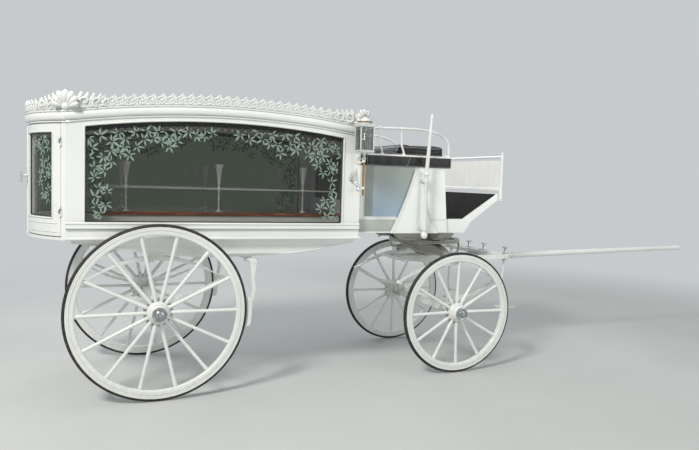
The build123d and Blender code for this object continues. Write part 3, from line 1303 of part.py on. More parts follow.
# Brake gear: cross shaft under the belly, with an arm and a block in front of each rear tyre
with BuildPart() as brake_gear:
    with BuildSketch(side_plane(0)):
        with Locations((BRAKE_X, BRAKE_Z)):
            Circle(BRAKE_SHAFT_R)
    extrude(amount=REAR_TRACK / 2 + TYRE_WIDTH / 2, both=True)
    for y in (-SPRING_Y, SPRING_Y):
        with Locations((X0 + BRAKE_X, y, BRAKE_SEAT_Z)):
            Box(44, 30, BRAKE_SEAT_Z - BRAKE_Z + 22, align=(Align.CENTER, Align.CENTER, Align.MAX))
    shoe_r = REAR_R + BLOCK_GAP
    for y in (-REAR_TRACK / 2 + TYRE_WIDTH / 2, REAR_TRACK / 2 + TYRE_WIDTH / 2):
        # arm from the shaft down to the shoe
        with BuildSketch(side_plane(y - 4)):
            with BuildLine():
                Polyline(
                    (BRAKE_X + 22, BRAKE_Z),
                    (BRAKE_X + 10, REAR_R + 225),
                    (BRAKE_X + 20, REAR_R + 150),
                    (shoe_r + BLOCK_DEPTH + 6, REAR_R + 50),
                    (shoe_r + BLOCK_DEPTH + 6, REAR_R + 10),
                    (shoe_r + BLOCK_DEPTH - 12, REAR_R + 10),
                    (shoe_r + BLOCK_DEPTH - 12, REAR_R + 55),
                    (BRAKE_X - 6, REAR_R + 150),
                    (BRAKE_X - 14, REAR_R + 225),
                    (BRAKE_X - 22, BRAKE_Z),
                    close=True,
                )
            make_face()
            with Locations((BRAKE_X, BRAKE_Z)):
                Circle(24)
        extrude(amount=TYRE_WIDTH - 8)
        # shoe that follows the tread of the tyre
        with BuildSketch(side_plane(y)):
            with Locations((0, REAR_R)):
                Circle(shoe_r + BLOCK_DEPTH)
                Circle(shoe_r, mode=Mode.SUBTRACT)
            with Locations((REAR_R, REAR_R + (SHOE_RISE - SHOE_DROP) / 2)):
                Rectangle(200, SHOE_RISE + SHOE_DROP, mode=Mode.INTERSECT)
        extrude(amount=TYRE_WIDTH)
finish(brake_gear, "brake_gear")
print("bow radius", round(BOW_R, 1), "hinge", round(X0 + HINGE_X, 2), round(HINGE_Y, 2), "x0", X0)
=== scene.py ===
"""Looks of a white glass-sided funeral carriage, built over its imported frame.

Every length is in metres. Shapes are worked out in the carriage's own frame,
with x forward from the rear axle, y to its left and z up from the ground, and
are moved to the row's frame when their mesh is made.
"""

import json
import logging
from dataclasses import dataclass, field
from enum import Enum
from functools import partial
from typing import Callable, Sequence

import bmesh
import bpy
import numpy as np
from mathutils import Matrix, Vector
from mathutils.bvhtree import BVHTree


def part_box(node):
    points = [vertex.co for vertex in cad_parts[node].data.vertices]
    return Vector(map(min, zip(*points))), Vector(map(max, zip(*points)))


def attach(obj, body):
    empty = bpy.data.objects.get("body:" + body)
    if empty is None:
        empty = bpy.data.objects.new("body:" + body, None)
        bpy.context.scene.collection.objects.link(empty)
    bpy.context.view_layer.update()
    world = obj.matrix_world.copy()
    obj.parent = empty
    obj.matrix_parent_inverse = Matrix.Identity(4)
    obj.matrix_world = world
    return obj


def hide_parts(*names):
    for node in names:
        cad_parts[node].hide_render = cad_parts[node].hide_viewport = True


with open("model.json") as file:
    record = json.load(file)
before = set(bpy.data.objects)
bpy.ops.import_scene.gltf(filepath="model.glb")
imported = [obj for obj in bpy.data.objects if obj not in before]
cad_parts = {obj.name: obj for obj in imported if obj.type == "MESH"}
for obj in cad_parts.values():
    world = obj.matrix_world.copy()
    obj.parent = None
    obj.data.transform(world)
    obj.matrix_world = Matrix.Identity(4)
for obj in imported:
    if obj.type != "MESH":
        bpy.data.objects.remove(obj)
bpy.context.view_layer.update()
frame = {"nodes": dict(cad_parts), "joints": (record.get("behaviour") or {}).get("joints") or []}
AXLE_X = next(j["pos_m"][0] for j in frame["joints"] if j["name"] == "rear_right_spin")
TO_ROW = np.array([AXLE_X, 0.0, 0.0])
TAU = 2 * np.pi
log = logging.getLogger("carriage")

Array = np.ndarray
Vec = Sequence[float]
Outline = Sequence[Vec]
Placer = Callable[[Array], Array]
Node = bpy.types.Node
Socket = bpy.types.NodeSocket
Adder = Callable[..., Node]
Inputs = dict[str | int, object]


class Body(str, Enum):
    """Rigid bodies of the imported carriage."""

    CARRIAGE = "carriage"
    RIGHT_DOOR = "right_door"
    LEFT_DOOR = "left_door"
    FORE = "fore_carriage"
    REAR_RIGHT = "rear_right_wheel"
    REAR_LEFT = "rear_left_wheel"
    FRONT_RIGHT = "front_right_wheel"
    FRONT_LEFT = "front_left_wheel"


class Side(Enum):
    """Right and left, as the sign of y."""

    RIGHT = -1
    LEFT = 1

    @property
    def word(self) -> str:
        """The side's name as the nodes have it."""
        return self.name.lower()


# ---- Surfaces ----


class Shape:
    """Grids of points gathered into one mesh.

    A grid is a surface P(u, v) sampled on equal steps of u and v. Each cell of
    the grid becomes one quad, and a wrapped direction joins its last row to
    its first.
    """

    def __init__(self) -> None:
        """Start with no surface."""
        self.points: list[Array] = []
        self.faces: list[Array] = []
        self.count = 0

    def grid(self, points: Array, wrap_u: bool = False, wrap_v: bool = True, caps: bool = True) -> "Shape":
        """Add one grid, or a stack of like grids.

        Args:
            points: array of shape (..., nu, nv, 3).
            wrap_u: the last row joins the first.
            wrap_v: the last column joins the first.
            caps: close both u ends of a wrapped tube with a face.

        Returns:
            The shape itself, so that calls can be chained.
        """
        points = np.asarray(points, float)
        nu, nv = points.shape[-3:-1]
        stack = points.reshape(-1, nu * nv, 3)
        base = self.count + np.arange(len(stack))[:, None] * nu * nv
        ids = np.arange(nu * nv).reshape(nu, nv)
        if wrap_u:
            ids = np.vstack([ids, ids[:1]])
        if wrap_v:
            ids = np.hstack([ids, ids[:, :1]])
        quads = np.stack([ids[:-1, :-1], ids[1:, :-1], ids[1:, 1:], ids[:-1, 1:]], -1).reshape(-1, 4)
        self.faces.append((base[:, :, None] + quads[None]).reshape(-1, 4))
        if caps and wrap_v and not wrap_u and nv > 2:
            ring = np.arange(nv)
            self.faces += [base + ring[None, ::-1], base + (nu - 1) * nv + ring[None]]
        self.points.append(stack.reshape(-1, 3))
        self.count += stack.shape[0] * nu * nv
        return self

    def mesh(self, name: str, merge: float = 1e-6, crease: float = 38.0) -> bpy.types.Mesh:
        """Write the arrays into a mesh with outward faces.

        Args:
            name: name of the mesh.
            merge: points nearer than this become one, which closes poles.
            crease: faces that meet at more than this many degrees stay sharp.

        Returns:
            The mesh, in the row's frame.
        """
        points = np.concatenate(self.points) + TO_ROW
        loops = np.concatenate([f.ravel() for f in self.faces])
        sizes = np.concatenate([np.full(len(f), f.shape[1]) for f in self.faces])
        mesh = bpy.data.meshes.new(name)
        mesh.vertices.add(len(points))
        mesh.vertices.foreach_set("co", points.ravel())
        mesh.loops.add(len(loops))
        mesh.loops.foreach_set("vertex_index", loops)
        mesh.polygons.add(len(sizes))
        mesh.polygons.foreach_set("loop_start", np.concatenate([[0], np.cumsum(sizes)[:-1]]))
        mesh.update(calc_edges=True)
        mesh.validate()
        shell = bmesh.new()
        shell.from_mesh(mesh)
        bmesh.ops.remove_doubles(shell, verts=shell.verts, dist=merge)
        bmesh.ops.dissolve_degenerate(shell, dist=merge, edges=shell.edges)
        bmesh.ops.recalc_face_normals(shell, faces=shell.faces)
        shell.to_mesh(mesh)
        shell.free()
        mesh.shade_smooth()
        mesh.set_sharp_from_angle(angle=np.radians(crease))
        return mesh

    def piece(
        self, name: str, finish: "Finish", body: Body = Body.CARRIAGE, stands_for: Sequence[str] = (),
        slot: str = "white_paint", crease: float = 38.0,
    ) -> bpy.types.Object:
        """Make one finished piece of the carriage.

        Args:
            name: name of the piece.
            finish: what covers it.
            body: the rigid body that it rides on.
            stands_for: CAD nodes that it replaces.
            slot: material slot of the record; not used.
            crease: angle in degrees past which an edge stays sharp.

        Returns:
            The object, which sits at the origin.
        """
        mesh = self.mesh(name, crease=crease)
        return dress(bpy.data.objects.new(name, mesh), finish, body, stands_for)


def dress(
    thing: bpy.types.Object, finish: "Finish", body: Body = Body.CARRIAGE, stands_for: Sequence[str] = (),
) -> bpy.types.Object:
    """Give a piece its finishes and its place on the carriage.

    Args:
        thing: a mesh object at the origin.
        finish: what covers it.
        body: the rigid body that it rides on.
        stands_for: CAD nodes that it replaces.

    Returns:
        The same object.
    """
    if thing.name not in bpy.context.scene.collection.objects:
        bpy.context.scene.collection.objects.link(thing)
    thing.data.materials.clear()
    thing.data.materials.append(finish.material())
    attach(thing, body.value)
    if stands_for:
        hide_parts(*stands_for)
    log.info("%s rides on %s with %d faces", thing.name, body.value, len(thing.data.polygons))
    return thing


def span(start: Vec | float, stop: Vec | float, count: int) -> Array:
    """Equal steps from start to stop, which are numbers or points."""
    return np.linspace(start, stop, count)


def around(count: int, start: float = 0.0) -> Array:
    """Equal angles round a full turn, the last one left out."""
    return start + np.arange(count) * TAU / count


def unit(v: Array) -> Array:
    """Vectors of length one."""
    return v / np.maximum(np.linalg.norm(v, axis=-1, keepdims=True), 1e-12)


def stand(flat: Array, axis: str, at: Array | float) -> Array:
    """A drawing's points set square to an axis, at one place along it."""
    return np.insert(np.asarray(flat, float), "xyz".index(axis), at, -1)


def lathe(profile: Outline, centre: Vec, axis: str = "z", sides: int = 40) -> Array:
    """Profile turned about an axis.

    P(i, a) = centre + r_i (cos a, sin a) across the axis + h_i along it.

    Args:
        profile: pairs of radius and height.
        centre: where the axis starts.
        axis: "x", "y" or "z".
        sides: points round the turn.

    Returns:
        Grid of shape (profile, sides, 3).
    """
    r, h = np.asarray(profile, float).T
    a = around(sides)
    ring = np.stack([np.outer(r, np.cos(a)), np.outer(r, np.sin(a)), np.repeat(h[:, None], sides, 1)], -1)
    order = {"x": [2, 0, 1], "y": [1, 2, 0], "z": [0, 1, 2]}[axis]
    return np.asarray(centre, float) + ring[..., order]


def frames(path: Array, closed: bool, ref: Vec) -> tuple[Array, Array]:
    """Two directions across a path: one near ref, and one square to it.

    Args:
        path: points of shape (..., n, 3).
        closed: the last point joins the first.
        ref: a direction that the path never follows.

    Returns:
        The cross direction and the direction near ref, shaped as path.
    """
    if closed:
        along = np.roll(path, -1, -2) - np.roll(path, 1, -2)
    else:
        along = np.gradient(path, axis=-2)
    along = unit(along)
    across = unit(np.cross(along, np.broadcast_to(np.asarray(ref, float), along.shape)))
    return across, np.cross(across, along)


def sweep(
    path: Array, section: Array, closed: bool = False, ref: Vec = (0, 0, 1), scale: Array | float = 1.0,
) -> Array:
    """Drawn section carried along a path.

    P(i, j) = path_i + s_i (a_j across + b_j near ref), for section points (a, b).

    Args:
        path: points of shape (..., n, 3).
        section: closed outline of shape (m, 2).
        closed: the path is a loop.
        ref: a direction that the path never follows.
        scale: size of the section, or one for each point.

    Returns:
        Grid of shape (..., n, m, 3).
    """
    path, section = np.asarray(path, float), np.asarray(section, float)
    across, near = frames(path, closed, ref)
    s = np.broadcast_to(np.asarray(scale, float), path.shape[:-1])[..., None, None]
    return path[..., None, :] + s * (
        section[:, :1] * across[..., None, :] + section[:, 1:] * near[..., None, :]
    )


def tube(
    path: Array, radius: Array | float, sides: int = 12, closed: bool = False, ref: Vec = (0, 0, 1),
    flat: float = 1.0,
) -> Array:
    """Round section carried along a path: (cos a, flat sin a) times the radius."""
    a = around(sides)
    return sweep(path, np.stack([np.cos(a), flat * np.sin(a)], -1), closed, ref, radius)


def curve(points: Outline, count: int) -> Array:
    """Smooth line through a few points, with equal steps of length.

    Between two points it is the cubic whose slope at each is half the chord
    of its neighbours.

    Args:
        points: the points that it passes.
        count: number of samples.

    Returns:
        Points of shape (count, 3), or (count, 2) for flat points.
    """
    p = np.asarray(points, float)
    q = np.vstack([2 * p[0] - p[1], p, 2 * p[-1] - p[-2]])
    t = span(0, 1, 13)[:-1, None, None]
    a, b, c, d = q[:-3], q[1:-2], q[2:-1], q[3:]
    body = 0.5 * (2 * b + (c - a) * t + (2 * a - 5 * b + 4 * c - d) * t**2 + (3 * b - a - 3 * c + d) * t**3)
    return resampled(np.vstack([body.transpose(1, 0, 2).reshape(-1, p.shape[1]), p[-1:]]), count)


def bends(points: Outline, radius: float, steps: int = 7) -> Array:
    """Straight runs joined by round bends.

    Each corner is replaced by the quadratic curve from the point radius
    before it to the point radius after it.

    Args:
        points: corners of the line.
        radius: how far from a corner its bend starts.
        steps: points in each bend.

    Returns:
        Points of shape (n, 3).
    """
    p = np.asarray(points, float)
    back, ahead = unit(p[:-2] - p[1:-1]), unit(p[2:] - p[1:-1])
    t = span(0, 1, steps)[None, :, None]
    a, b, c = (p[1:-1] + back * radius)[:, None], p[1:-1][:, None], (p[1:-1] + ahead * radius)[:, None]
    arcs = (1 - t) ** 2 * a + 2 * t * (1 - t) * b + t**2 * c
    return np.vstack([p[:1], arcs.reshape(-1, p.shape[1]), p[-1:]])


def resampled(path: Array, count: int) -> Array:
    """The same line with equal steps of length.

    Args:
        path: points of shape (n, k).
        count: number of new points.

    Returns:
        Points of shape (count, k).
    """
    length = np.concatenate([[0], np.cumsum(np.linalg.norm(np.diff(path, axis=0), axis=1))])
    at = span(0, length[-1], count)
    return np.stack([np.interp(at, length, path[:, k]) for k in range(path.shape[1])], -1)


def evened(outline: Array, count: int) -> Array:
    """Closed outline in count - 1 equal steps, its first point not repeated."""
    return resampled(np.vstack([outline, outline[:1]]), count)[:-1]


def round_rect(width: float, depth: float, radius: float, steps: int = 5) -> Array:
    """Outline of a rectangle with round corners, about its middle.

    Args:
        width: size along the first axis.
        depth: size along the second axis.
        radius: corner radius.
        steps: points in each corner.

    Returns:
        Points of shape (4 steps, 2).
    """
    radius = min(radius, width / 2 - 1e-5, depth / 2 - 1e-5)
    a = (np.arange(4)[:, None] * np.pi / 2 + span(0, np.pi / 2, steps)).ravel()
    corner = np.repeat(np.array([[1, 1], [-1, 1], [-1, -1], [1, -1]]), steps, 0)
    reach = np.array([width / 2 - radius, depth / 2 - radius])
    return corner * reach + radius * np.stack([np.cos(a), np.sin(a)], -1)


def block(low: Vec, high: Vec, edge: float = 0.002, corner: float | None = None) -> Array:
    """Box with eased edges: round-rectangle rings, drawn in at top and bottom.

    Args:
        low: lowest corner.
        high: highest corner.
        edge: how far the top and bottom edges are rounded.
        corner: radius of the upright corners, edge if left out.

    Returns:
        Grid of shape (rings, points, 3).
    """
    low, high = np.asarray(low, float), np.asarray(high, float)
    size = high - low
    corner = edge if corner is None else corner
    edge = min(edge, size.min() / 2.01)
    t = span(0, np.pi / 2, 4)
    inset = np.concatenate([edge * (1 - np.sin(t)), edge * (1 - np.cos(t))])
    rise = np.concatenate([edge * (1 - np.cos(t)), size[2] - edge * (1 - np.sin(t))])
    rings = [round_rect(size[0] - 2 * i, size[1] - 2 * i, max(corner - i, 2e-4)) for i in inset]
    middle = (low + high) / 2
    return np.stack([
        np.column_stack([r + middle[:2], np.full(len(r), low[2] + z)])
        for r, z in zip(rings, rise)
    ])


def turned_box(
    centre: Vec, size: Vec, edge: float = 0.002, x_dir: Vec = (1, 0, 0), z_dir: Vec = (0, 0, 1),
) -> Array:
    """Eased box set in its own directions.

    Args:
        centre: its middle.
        size: its lengths along x_dir, the third direction and z_dir.
        edge: radius of its edges.
        x_dir: direction of its first side.
        z_dir: direction of its height.

    Returns:
        Grid of shape (rings, points, 3).
    """
    size = np.asarray(size, float)
    local = block(-size / 2, size / 2, edge)
    x = unit(np.asarray(x_dir, float))
    z = unit(np.asarray(z_dir, float))
    return np.asarray(centre, float) + local @ np.stack([x, np.cross(z, x), z])


def bolt(centre: Vec, along: Vec, radius: float = 0.009, height: float = 0.007, sides: int = 6) -> Array:
    """Six-sided bolt head with an eased crown, on a round washer.

    Args:
        centre: middle of its foot.
        along: direction out of the surface.
        radius: radius across its corners.
        height: height of the head.
        sides: sides of the head.

    Returns:
        Grid of shape (rings, sides, 3).
    """
    z = unit(np.asarray(along, float))
    x = unit(np.cross(z, [0.31, 0.62, 0.72]))
    y = np.cross(z, x)
    r, h = np.array([[1.0, 0.0], [1.0, 0.72], [0.86, 1.0], [0.35, 1.08]]).T
    a = around(sides)
    ring = (np.cos(a)[:, None] * x + np.sin(a)[:, None] * y)[None] * (r * radius)[:, None, None]
    return np.asarray(centre, float) + ring + (h * height)[:, None, None] * z


def arc_through(x: Array | float, low: Vec, mid: Vec, top: Vec) -> Array:
    """Height at x of the circle through three points of a plane.

    Args:
        x: where the height is wanted, held between the outer points.
        low: first point.
        mid: second point.
        top: third point.

    Returns:
        Heights, shaped as x.
    """
    (ax, az), (bx, bz), (cx, cz) = low, mid, top
    d = 2 * (ax * (bz - cz) + bx * (cz - az) + cx * (az - bz))
    ux = ((ax**2 + az**2) * (bz - cz) + (bx**2 + bz**2) * (cz - az) + (cx**2 + cz**2) * (az - bz)) / d
    uz = ((ax**2 + az**2) * (cx - bx) + (bx**2 + bz**2) * (ax - cx) + (cx**2 + cz**2) * (bx - ax)) / d
    x = np.clip(x, min(ax, cx), max(ax, cx))
    return uz + np.sqrt((ax - ux) ** 2 + (az - uz) ** 2 - (x - ux) ** 2)


# ---- Finishes ----


def linear(code: str) -> tuple[float, float, float, float]:
    """Linear colour of an sRGB hex value.

    Args:
        code: a hash sign and six digits.

    Returns:
        Red, green, blue and alpha.
    """
    c = np.array([int(code[i : i + 2], 16) for i in (1, 3, 5)]) / 255
    c = np.where(c <= 0.04045, c / 12.92, ((c + 0.055) / 1.055) ** 2.4)
    return (*c.tolist(), 1.0)


def put(tree: bpy.types.NodeTree, kind: str, inputs: Inputs | None = None, **settings: object) -> Node:
    """Add one node, set it, and fill its sockets.

    Args:
        tree: the material's nodes.
        kind: type of the node, without its common first part.
        inputs: socket name or number to a value, a hex colour, another
            node's socket, or another node, whose first output is meant.
        settings: properties of the node, and stops for a colour ramp.

    Returns:
        The node.
    """
    node = tree.nodes.new("ShaderNode" + kind)
    stops = settings.pop("stops", None)
    for key, value in settings.items():
        setattr(node, key, value)
    if stops:
        ramp = node.color_ramp.elements
        ramp[0].position, ramp[0].color = stops[0][0], linear(stops[0][1])
        ramp[1].position, ramp[1].color = stops[-1][0], linear(stops[-1][1])
        for at, code in stops[1:-1]:
            ramp.new(at).color = linear(code)
    for key, value in (inputs or {}).items():
        if isinstance(value, Node):
            value = value.outputs[0]
        if isinstance(value, Socket):
            tree.links.new(value, node.inputs[key])
        else:
            node.inputs[key].default_value = linear(value) if isinstance(value, str) else value
    return node


@dataclass(frozen=True)
class Finish:
    """A surface as a coach builder would order it."""

    name: str

    def material(self) -> bpy.types.Material:
        """The finish's material, made the first time that it is asked for.

        Returns:
            The material.
        """
        if self.name in bpy.data.materials:
            return bpy.data.materials[self.name]
        made = bpy.data.materials.new(self.name)
        made.use_nodes = True
        made.node_tree.nodes.clear()
        add = partial(put, made.node_tree)
        place = add("TexCoord").outputs["Object"]
        add("OutputMaterial", {0: add("BsdfPrincipled", self.surface(add, place))})
        return made

    def surface(self, add: Adder, place: Socket) -> Inputs:
        """What fills the surface shader's sockets.

        Args:
            add: adds a node to the material.
            place: the object coordinates, in metres.

        Returns:
            Socket name to a value, a hex colour, a node or a socket.
        """
        raise NotImplementedError


@dataclass(frozen=True)
class CoachEnamel(Finish):
    """Alkyd gloss enamel, brushed and flatted in several coats.

    It is nearly white with a cool cast and has a wet shine broken by fine orange
    peel. It turns grey low on the carriage with road dirt, and in its corners,
    where ambient occlusion darkens it as painted shade mixed with dirt.
    """

    colour: str = "#F1F3F2"
    # colour of road dirt, and of the painted shade in corners
    film: str = "#B9BDB6"
    roughness: float = 0.2
    # share of painted corner shade, mixed with dirt
    corner_grime: float = 0.5
    road_film: float = 0.0
    peel_mm: float = 5.0

    def surface(self, add: Adder, place: Socket) -> Inputs:
        """Enamel colour, painted shade in corners mixed with dirt, road dirt, orange peel.

        Args:
            add: adds a node to the material.
            place: the object coordinates, in metres.

        Returns:
            Socket name to what fills it.
        """
        broad = add("TexNoise", {"Vector": place, "Scale": 2.2, "Detail": 3.0, "Roughness": 0.55})
        tone = add("ValToRGB", {0: broad}, stops=((0.3, self.shade(0.955)), (0.7, self.colour)))
        spots = add("TexNoise", {"Vector": place, "Scale": 38.0, "Detail": 5.0, "Roughness": 0.7})
        # painted shade: ambient occlusion darkens corners and recesses, broken up by noise as dirt
        occlusion_shade = add("AmbientOcclusion", {"Distance": 0.035}, samples=6)
        depth = add("MapRange", {0: occlusion_shade.outputs["AO"], 1: 0.35, 2: 0.95, 3: 1.0, 4: 0.0})
        broken = add("Math", {0: depth, 1: spots}, operation="MULTIPLY")
        dirt_and_shade = add("Math", {0: broken, 1: self.corner_grime * 1.6}, operation="MULTIPLY", use_clamp=True)
        height = add("SeparateXYZ", {0: place})
        low = add("MapRange", {0: height.outputs[2], 1: 0.05, 2: 1.1, 3: self.road_film, 4: 0.0})
        dust = add("MapRange", {0: spots, 1: 0.42, 2: 0.7, 3: 0.15, 4: 1.0})
        road = add("Math", {0: low, 1: dust}, operation="MULTIPLY")
        # the corner mark is painted shade mixed with dirt; the low mark is road dirt
        worn = add("Math", {0: dirt_and_shade, 1: road}, operation="MAXIMUM", use_clamp=True)
        colour = add("Mix", {0: worn, 6: tone, 7: self.film}, data_type="RGBA")
        gloss = add("MapRange", {0: worn, 1: 0.0, 2: 1.0, 3: self.roughness, 4: 0.6})
        peel = add("TexNoise", {"Vector": place, "Scale": 1000 / self.peel_mm, "Detail": 1.0})
        bump = add("Bump", {"Height": peel, "Strength": 0.06, "Distance": 0.0004})
        return {"Base Color": colour.outputs[2], "Roughness": gloss, "Normal": bump, "Coat Weight": 0.35,
            "Coat Roughness": 0.06}

    def shade(self, share: float) -> str:
        """The colour brought down to a share of its level."""
        return "#" + "".join(f"{int(int(self.colour[i:i + 2], 16) * share):02X}" for i in (1, 3, 5))


@dataclass(frozen=True)
class GlossPanel(CoachEnamel):
    """Flatted and varnished panel with a painted sky reflection, bluer to its foot, and a painted shadow by
    its rear upright.
    """

    # painted sky reflection colour at the foot, painted shadow colour by the rear upright, and where each
    # spreads
    foot: str = "#7A96AD"
    stile: str = "#56615D"
    levels: tuple[float, float] = (1.33, 1.66)
    stile_x: tuple[float, float] = (1.695, 1.715)

    def surface(self, add: Adder, place: Socket) -> Inputs:
        """Enamel under a painted sky reflection that follows height and a painted shadow that follows length.

        Args:
            add: adds a node to the material.
            place: the object coordinates, in metres.

        Returns:
            Socket name to what fills it.
        """
        inputs = super().surface(add, place)
        spot = add("SeparateXYZ", {0: place})
        low = add("MapRange", {0: spot.outputs[2], 1: self.levels[0], 2: self.levels[1], 3: 1.0, 4: 0.0})
        sky_reflection = add("Mix", {0: low, 6: inputs["Base Color"], 7: self.foot}, data_type="RGBA")
        near, far = (x + AXLE_X for x in self.stile_x)
        rear = add("MapRange", {0: spot.outputs[0], 1: near, 2: far, 3: 0.92, 4: 0.0})
        dark = add("Mix", {0: rear, 6: sky_reflection.outputs[2], 7: self.stile}, data_type="RGBA")
        return inputs | {"Base Color": dark.outputs[2]}


@dataclass(frozen=True)
class FloatGlass(Finish):
    """Polished plate glass: clear, with a green edge and a mirror-like skin."""

    tint: str = "#DCE8E4"
    cover: float = 0.16
    roughness: float = 0.02

    def surface(self, add: Adder, place: Socket) -> Inputs:
        """Thin clear pane with faint wiping marks.

        Args:
            add: adds a node to the material.
            place: the object coordinates, in metres.

        Returns:
            Socket name to what fills it.
        """
        wipe = add("TexNoise", {"Vector": place, "Scale": 7.0, "Detail": 4.0, "Distortion": 1.2})
        skin = add("MapRange", {0: wipe, 1: 0.35, 2: 0.75, 3: self.roughness, 4: self.roughness + 0.06})
        return {
            "Base Color": self.tint, "Roughness": skin, "IOR": 1.52, "Specular IOR Level": 0.9,
            "Alpha": self.cover,
        }


@dataclass(frozen=True)
class AcidEtch(Finish):
    """Glass frosted with acid: a soft grey-green bloom with no shine."""

    colour: str = "#9DB0A7"
    thin: str = "#82978D"

    def surface(self, add: Adder, place: Socket) -> Inputs:
        """Frost that is thicker in some leaves than in others.

        Args:
            add: adds a node to the material.
            place: the object coordinates, in metres.

        Returns:
            Socket name to what fills it.
        """
        cloud = add("TexNoise", {"Vector": place, "Scale": 26.0, "Detail": 3.0})
        tone = add("ValToRGB", {0: cloud}, stops=((0.35, self.thin), (0.7, self.colour)))
        grit = add("TexNoise", {"Vector": place, "Scale": 900.0, "Detail": 1.0})
        bump = add("Bump", {"Height": grit, "Strength": 0.2, "Distance": 0.0002})
        return {"Base Color": tone, "Roughness": 0.62, "Normal": bump, "Alpha": 0.86}


@dataclass(frozen=True)
class SolidRubber(Finish):
    """Vulcanised solid tyre: matt black, scuffed grey and dusty on its tread."""

    colour: str = "#161717"
    dust: str = "#6B6862"
    shine: float = 0.5

    def surface(self, add: Adder, place: Socket) -> Inputs:
        """Black rubber with pale scuffs.

        Args:
            add: adds a node to the material.
            place: the object coordinates, in metres.

        Returns:
            Socket name to what fills it.
        """
        scuff = add("TexNoise", {"Vector": place, "Scale": 55.0, "Detail": 6.0, "Roughness": 0.72})
        shade = add("MapRange", {0: scuff, 1: 0.46, 2: 0.72, 3: 0.0, 4: 0.5})
        colour = add("Mix", {0: shade, 6: self.colour, 7: self.dust}, data_type="RGBA")
        gloss = add("MapRange", {0: scuff, 1: 0.3, 2: 0.7, 3: 0.5, 4: 0.82})
        bump = add("Bump", {"Height": scuff, "Strength": 0.25, "Distance": 0.0008})
        return {
            "Base Color": colour.outputs[2], "Roughness": gloss, "Normal": bump,
            "Specular IOR Level": self.shine,
        }


@dataclass(frozen=True)
class Hide(Finish):
    """Drum-dyed upholstery hide: pebbled grain, satin shine, greyer on its crowns."""

    colour: str = "#1B1B1D"
    worn: str = "#47464A"
    grain_mm: float = 3.5
    roughness: float = 0.42

    def surface(self, add: Adder, place: Socket) -> Inputs:
        """Pebble grain, creases and rubbed patches.

        Args:
            add: adds a node to the material.
            place: the object coordinates, in metres.

        Returns:
            Socket name to what fills it.
        """
        pebble = add("TexVoronoi", {"Vector": place, "Scale": 1000 / self.grain_mm}, feature="SMOOTH_F1")
        crease = add("TexNoise", {"Vector": place, "Scale": 16.0, "Detail": 7.0, "Roughness": 0.62})
        rub = add("MapRange", {0: crease, 1: 0.45, 2: 0.75, 3: 0.0, 4: 0.45})
        colour = add("Mix", {0: rub, 6: self.colour, 7: self.worn}, data_type="RGBA")
        relief = add("Math", {0: pebble, 1: 0.5, 2: crease}, operation="MULTIPLY_ADD")
        bump = add("Bump", {"Height": relief, "Strength": 0.4, "Distance": 0.0009})
        gloss = add(
            "MapRange", {0: crease, 1: 0.3, 2: 0.7, 3: self.roughness - 0.08, 4: self.roughness + 0.14},
        )
        return {"Base Color": colour.outputs[2], "Roughness": gloss, "Normal": bump, "Sheen Weight": 0.03,
            "Specular IOR Level": 0.36}


@dataclass(frozen=True)
class Timber(Finish):
    """Sawn and French-polished mahogany: long dark pores in a red-brown ground."""

    pale: str = "#8A4A2E"
    ground: str = "#6A3020"
    dark: str = "#43190F"
    ring_mm: float = 9.0
    roughness: float = 0.26

    def surface(self, add: Adder, place: Socket) -> Inputs:
        """Growth rings drawn out along x, with pores.

        Args:
            add: adds a node to the material.
            place: the object coordinates, in metres.

        Returns:
            Socket name to what fills it.
        """
        drawn = add("Mapping", {"Vector": place, "Scale": (0.5, 9.0, 9.0)})
        rings = add(
            "TexNoise", {"Vector": drawn, "Scale": 90 / self.ring_mm, "Detail": 6.0, "Distortion": 0.5},
        )
        pores = add("TexNoise", {"Vector": drawn, "Scale": 46.0, "Detail": 2.0})
        tone = add("ValToRGB", {0: rings}, stops=((0.32, self.dark), (0.5, self.ground), (0.68, self.pale)))
        speck = add("MapRange", {0: pores, 1: 0.58, 2: 0.7, 3: 0.0, 4: 0.6})
        colour = add("Mix", {0: speck, 6: tone, 7: self.dark}, data_type="RGBA")
        bump = add("Bump", {"Height": pores, "Strength": 0.1, "Distance": 0.0004})
        return {
            "Base Color": colour.outputs[2], "Roughness": self.roughness, "Normal": bump, "Coat Weight": 0.4,
        }


@dataclass(frozen=True)
class PaintedDeck(Timber):
    """Polished deck boards on bearers that are painted like the cabin."""

    paint: str = "#D5D8D4"
    boards_z: float = 1.3105

    def surface(self, add: Adder, place: Socket) -> Inputs:
        """Timber above boards_z and paint under it.

        Args:
            add: adds a node to the material.
            place: the object coordinates, in metres.

        Returns:
            Socket name to what fills it.
        """
        inputs = super().surface(add, place)
        height = add("SeparateXYZ", {0: place})
        above = add("Math", {0: height.outputs[2], 1: self.boards_z}, operation="GREATER_THAN")
        colour = add("Mix", {0: above, 6: self.paint, 7: inputs["Base Color"]}, data_type="RGBA")
        return inputs | {"Base Color": colour.outputs[2]}


@dataclass(frozen=True)
class Plate(Finish):
    """Polished metal, plated or lacquered, with hairlines and faint tarnish."""

    colour: str = "#C9CCCE"
    tarnish: str = "#8C8E8C"
    roughness: float = 0.14

    def surface(self, add: Adder, place: Socket) -> Inputs:
        """Bright metal with cloudy patches.

        Args:
            add: adds a node to the material.
            place: the object coordinates, in metres.

        Returns:
            Socket name to what fills it.
        """
        cloud = add("TexNoise", {"Vector": place, "Scale": 30.0, "Detail": 5.0, "Roughness": 0.6})
        share = add("MapRange", {0: cloud, 1: 0.42, 2: 0.75, 3: 0.0, 4: 0.8})
        colour = add("Mix", {0: share, 6: self.colour, 7: self.tarnish}, data_type="RGBA")
        gloss = add("MapRange", {0: cloud, 1: 0.3, 2: 0.75, 3: self.roughness, 4: self.roughness + 0.2})
        lines = add("TexNoise", {"Vector": place, "Scale": 420.0, "Detail": 2.0})
        bump = add("Bump", {"Height": lines, "Strength": 0.05, "Distance": 0.0003})
        return {"Base Color": colour.outputs[2], "Roughness": gloss, "Normal": bump, "Metallic": 1.0}


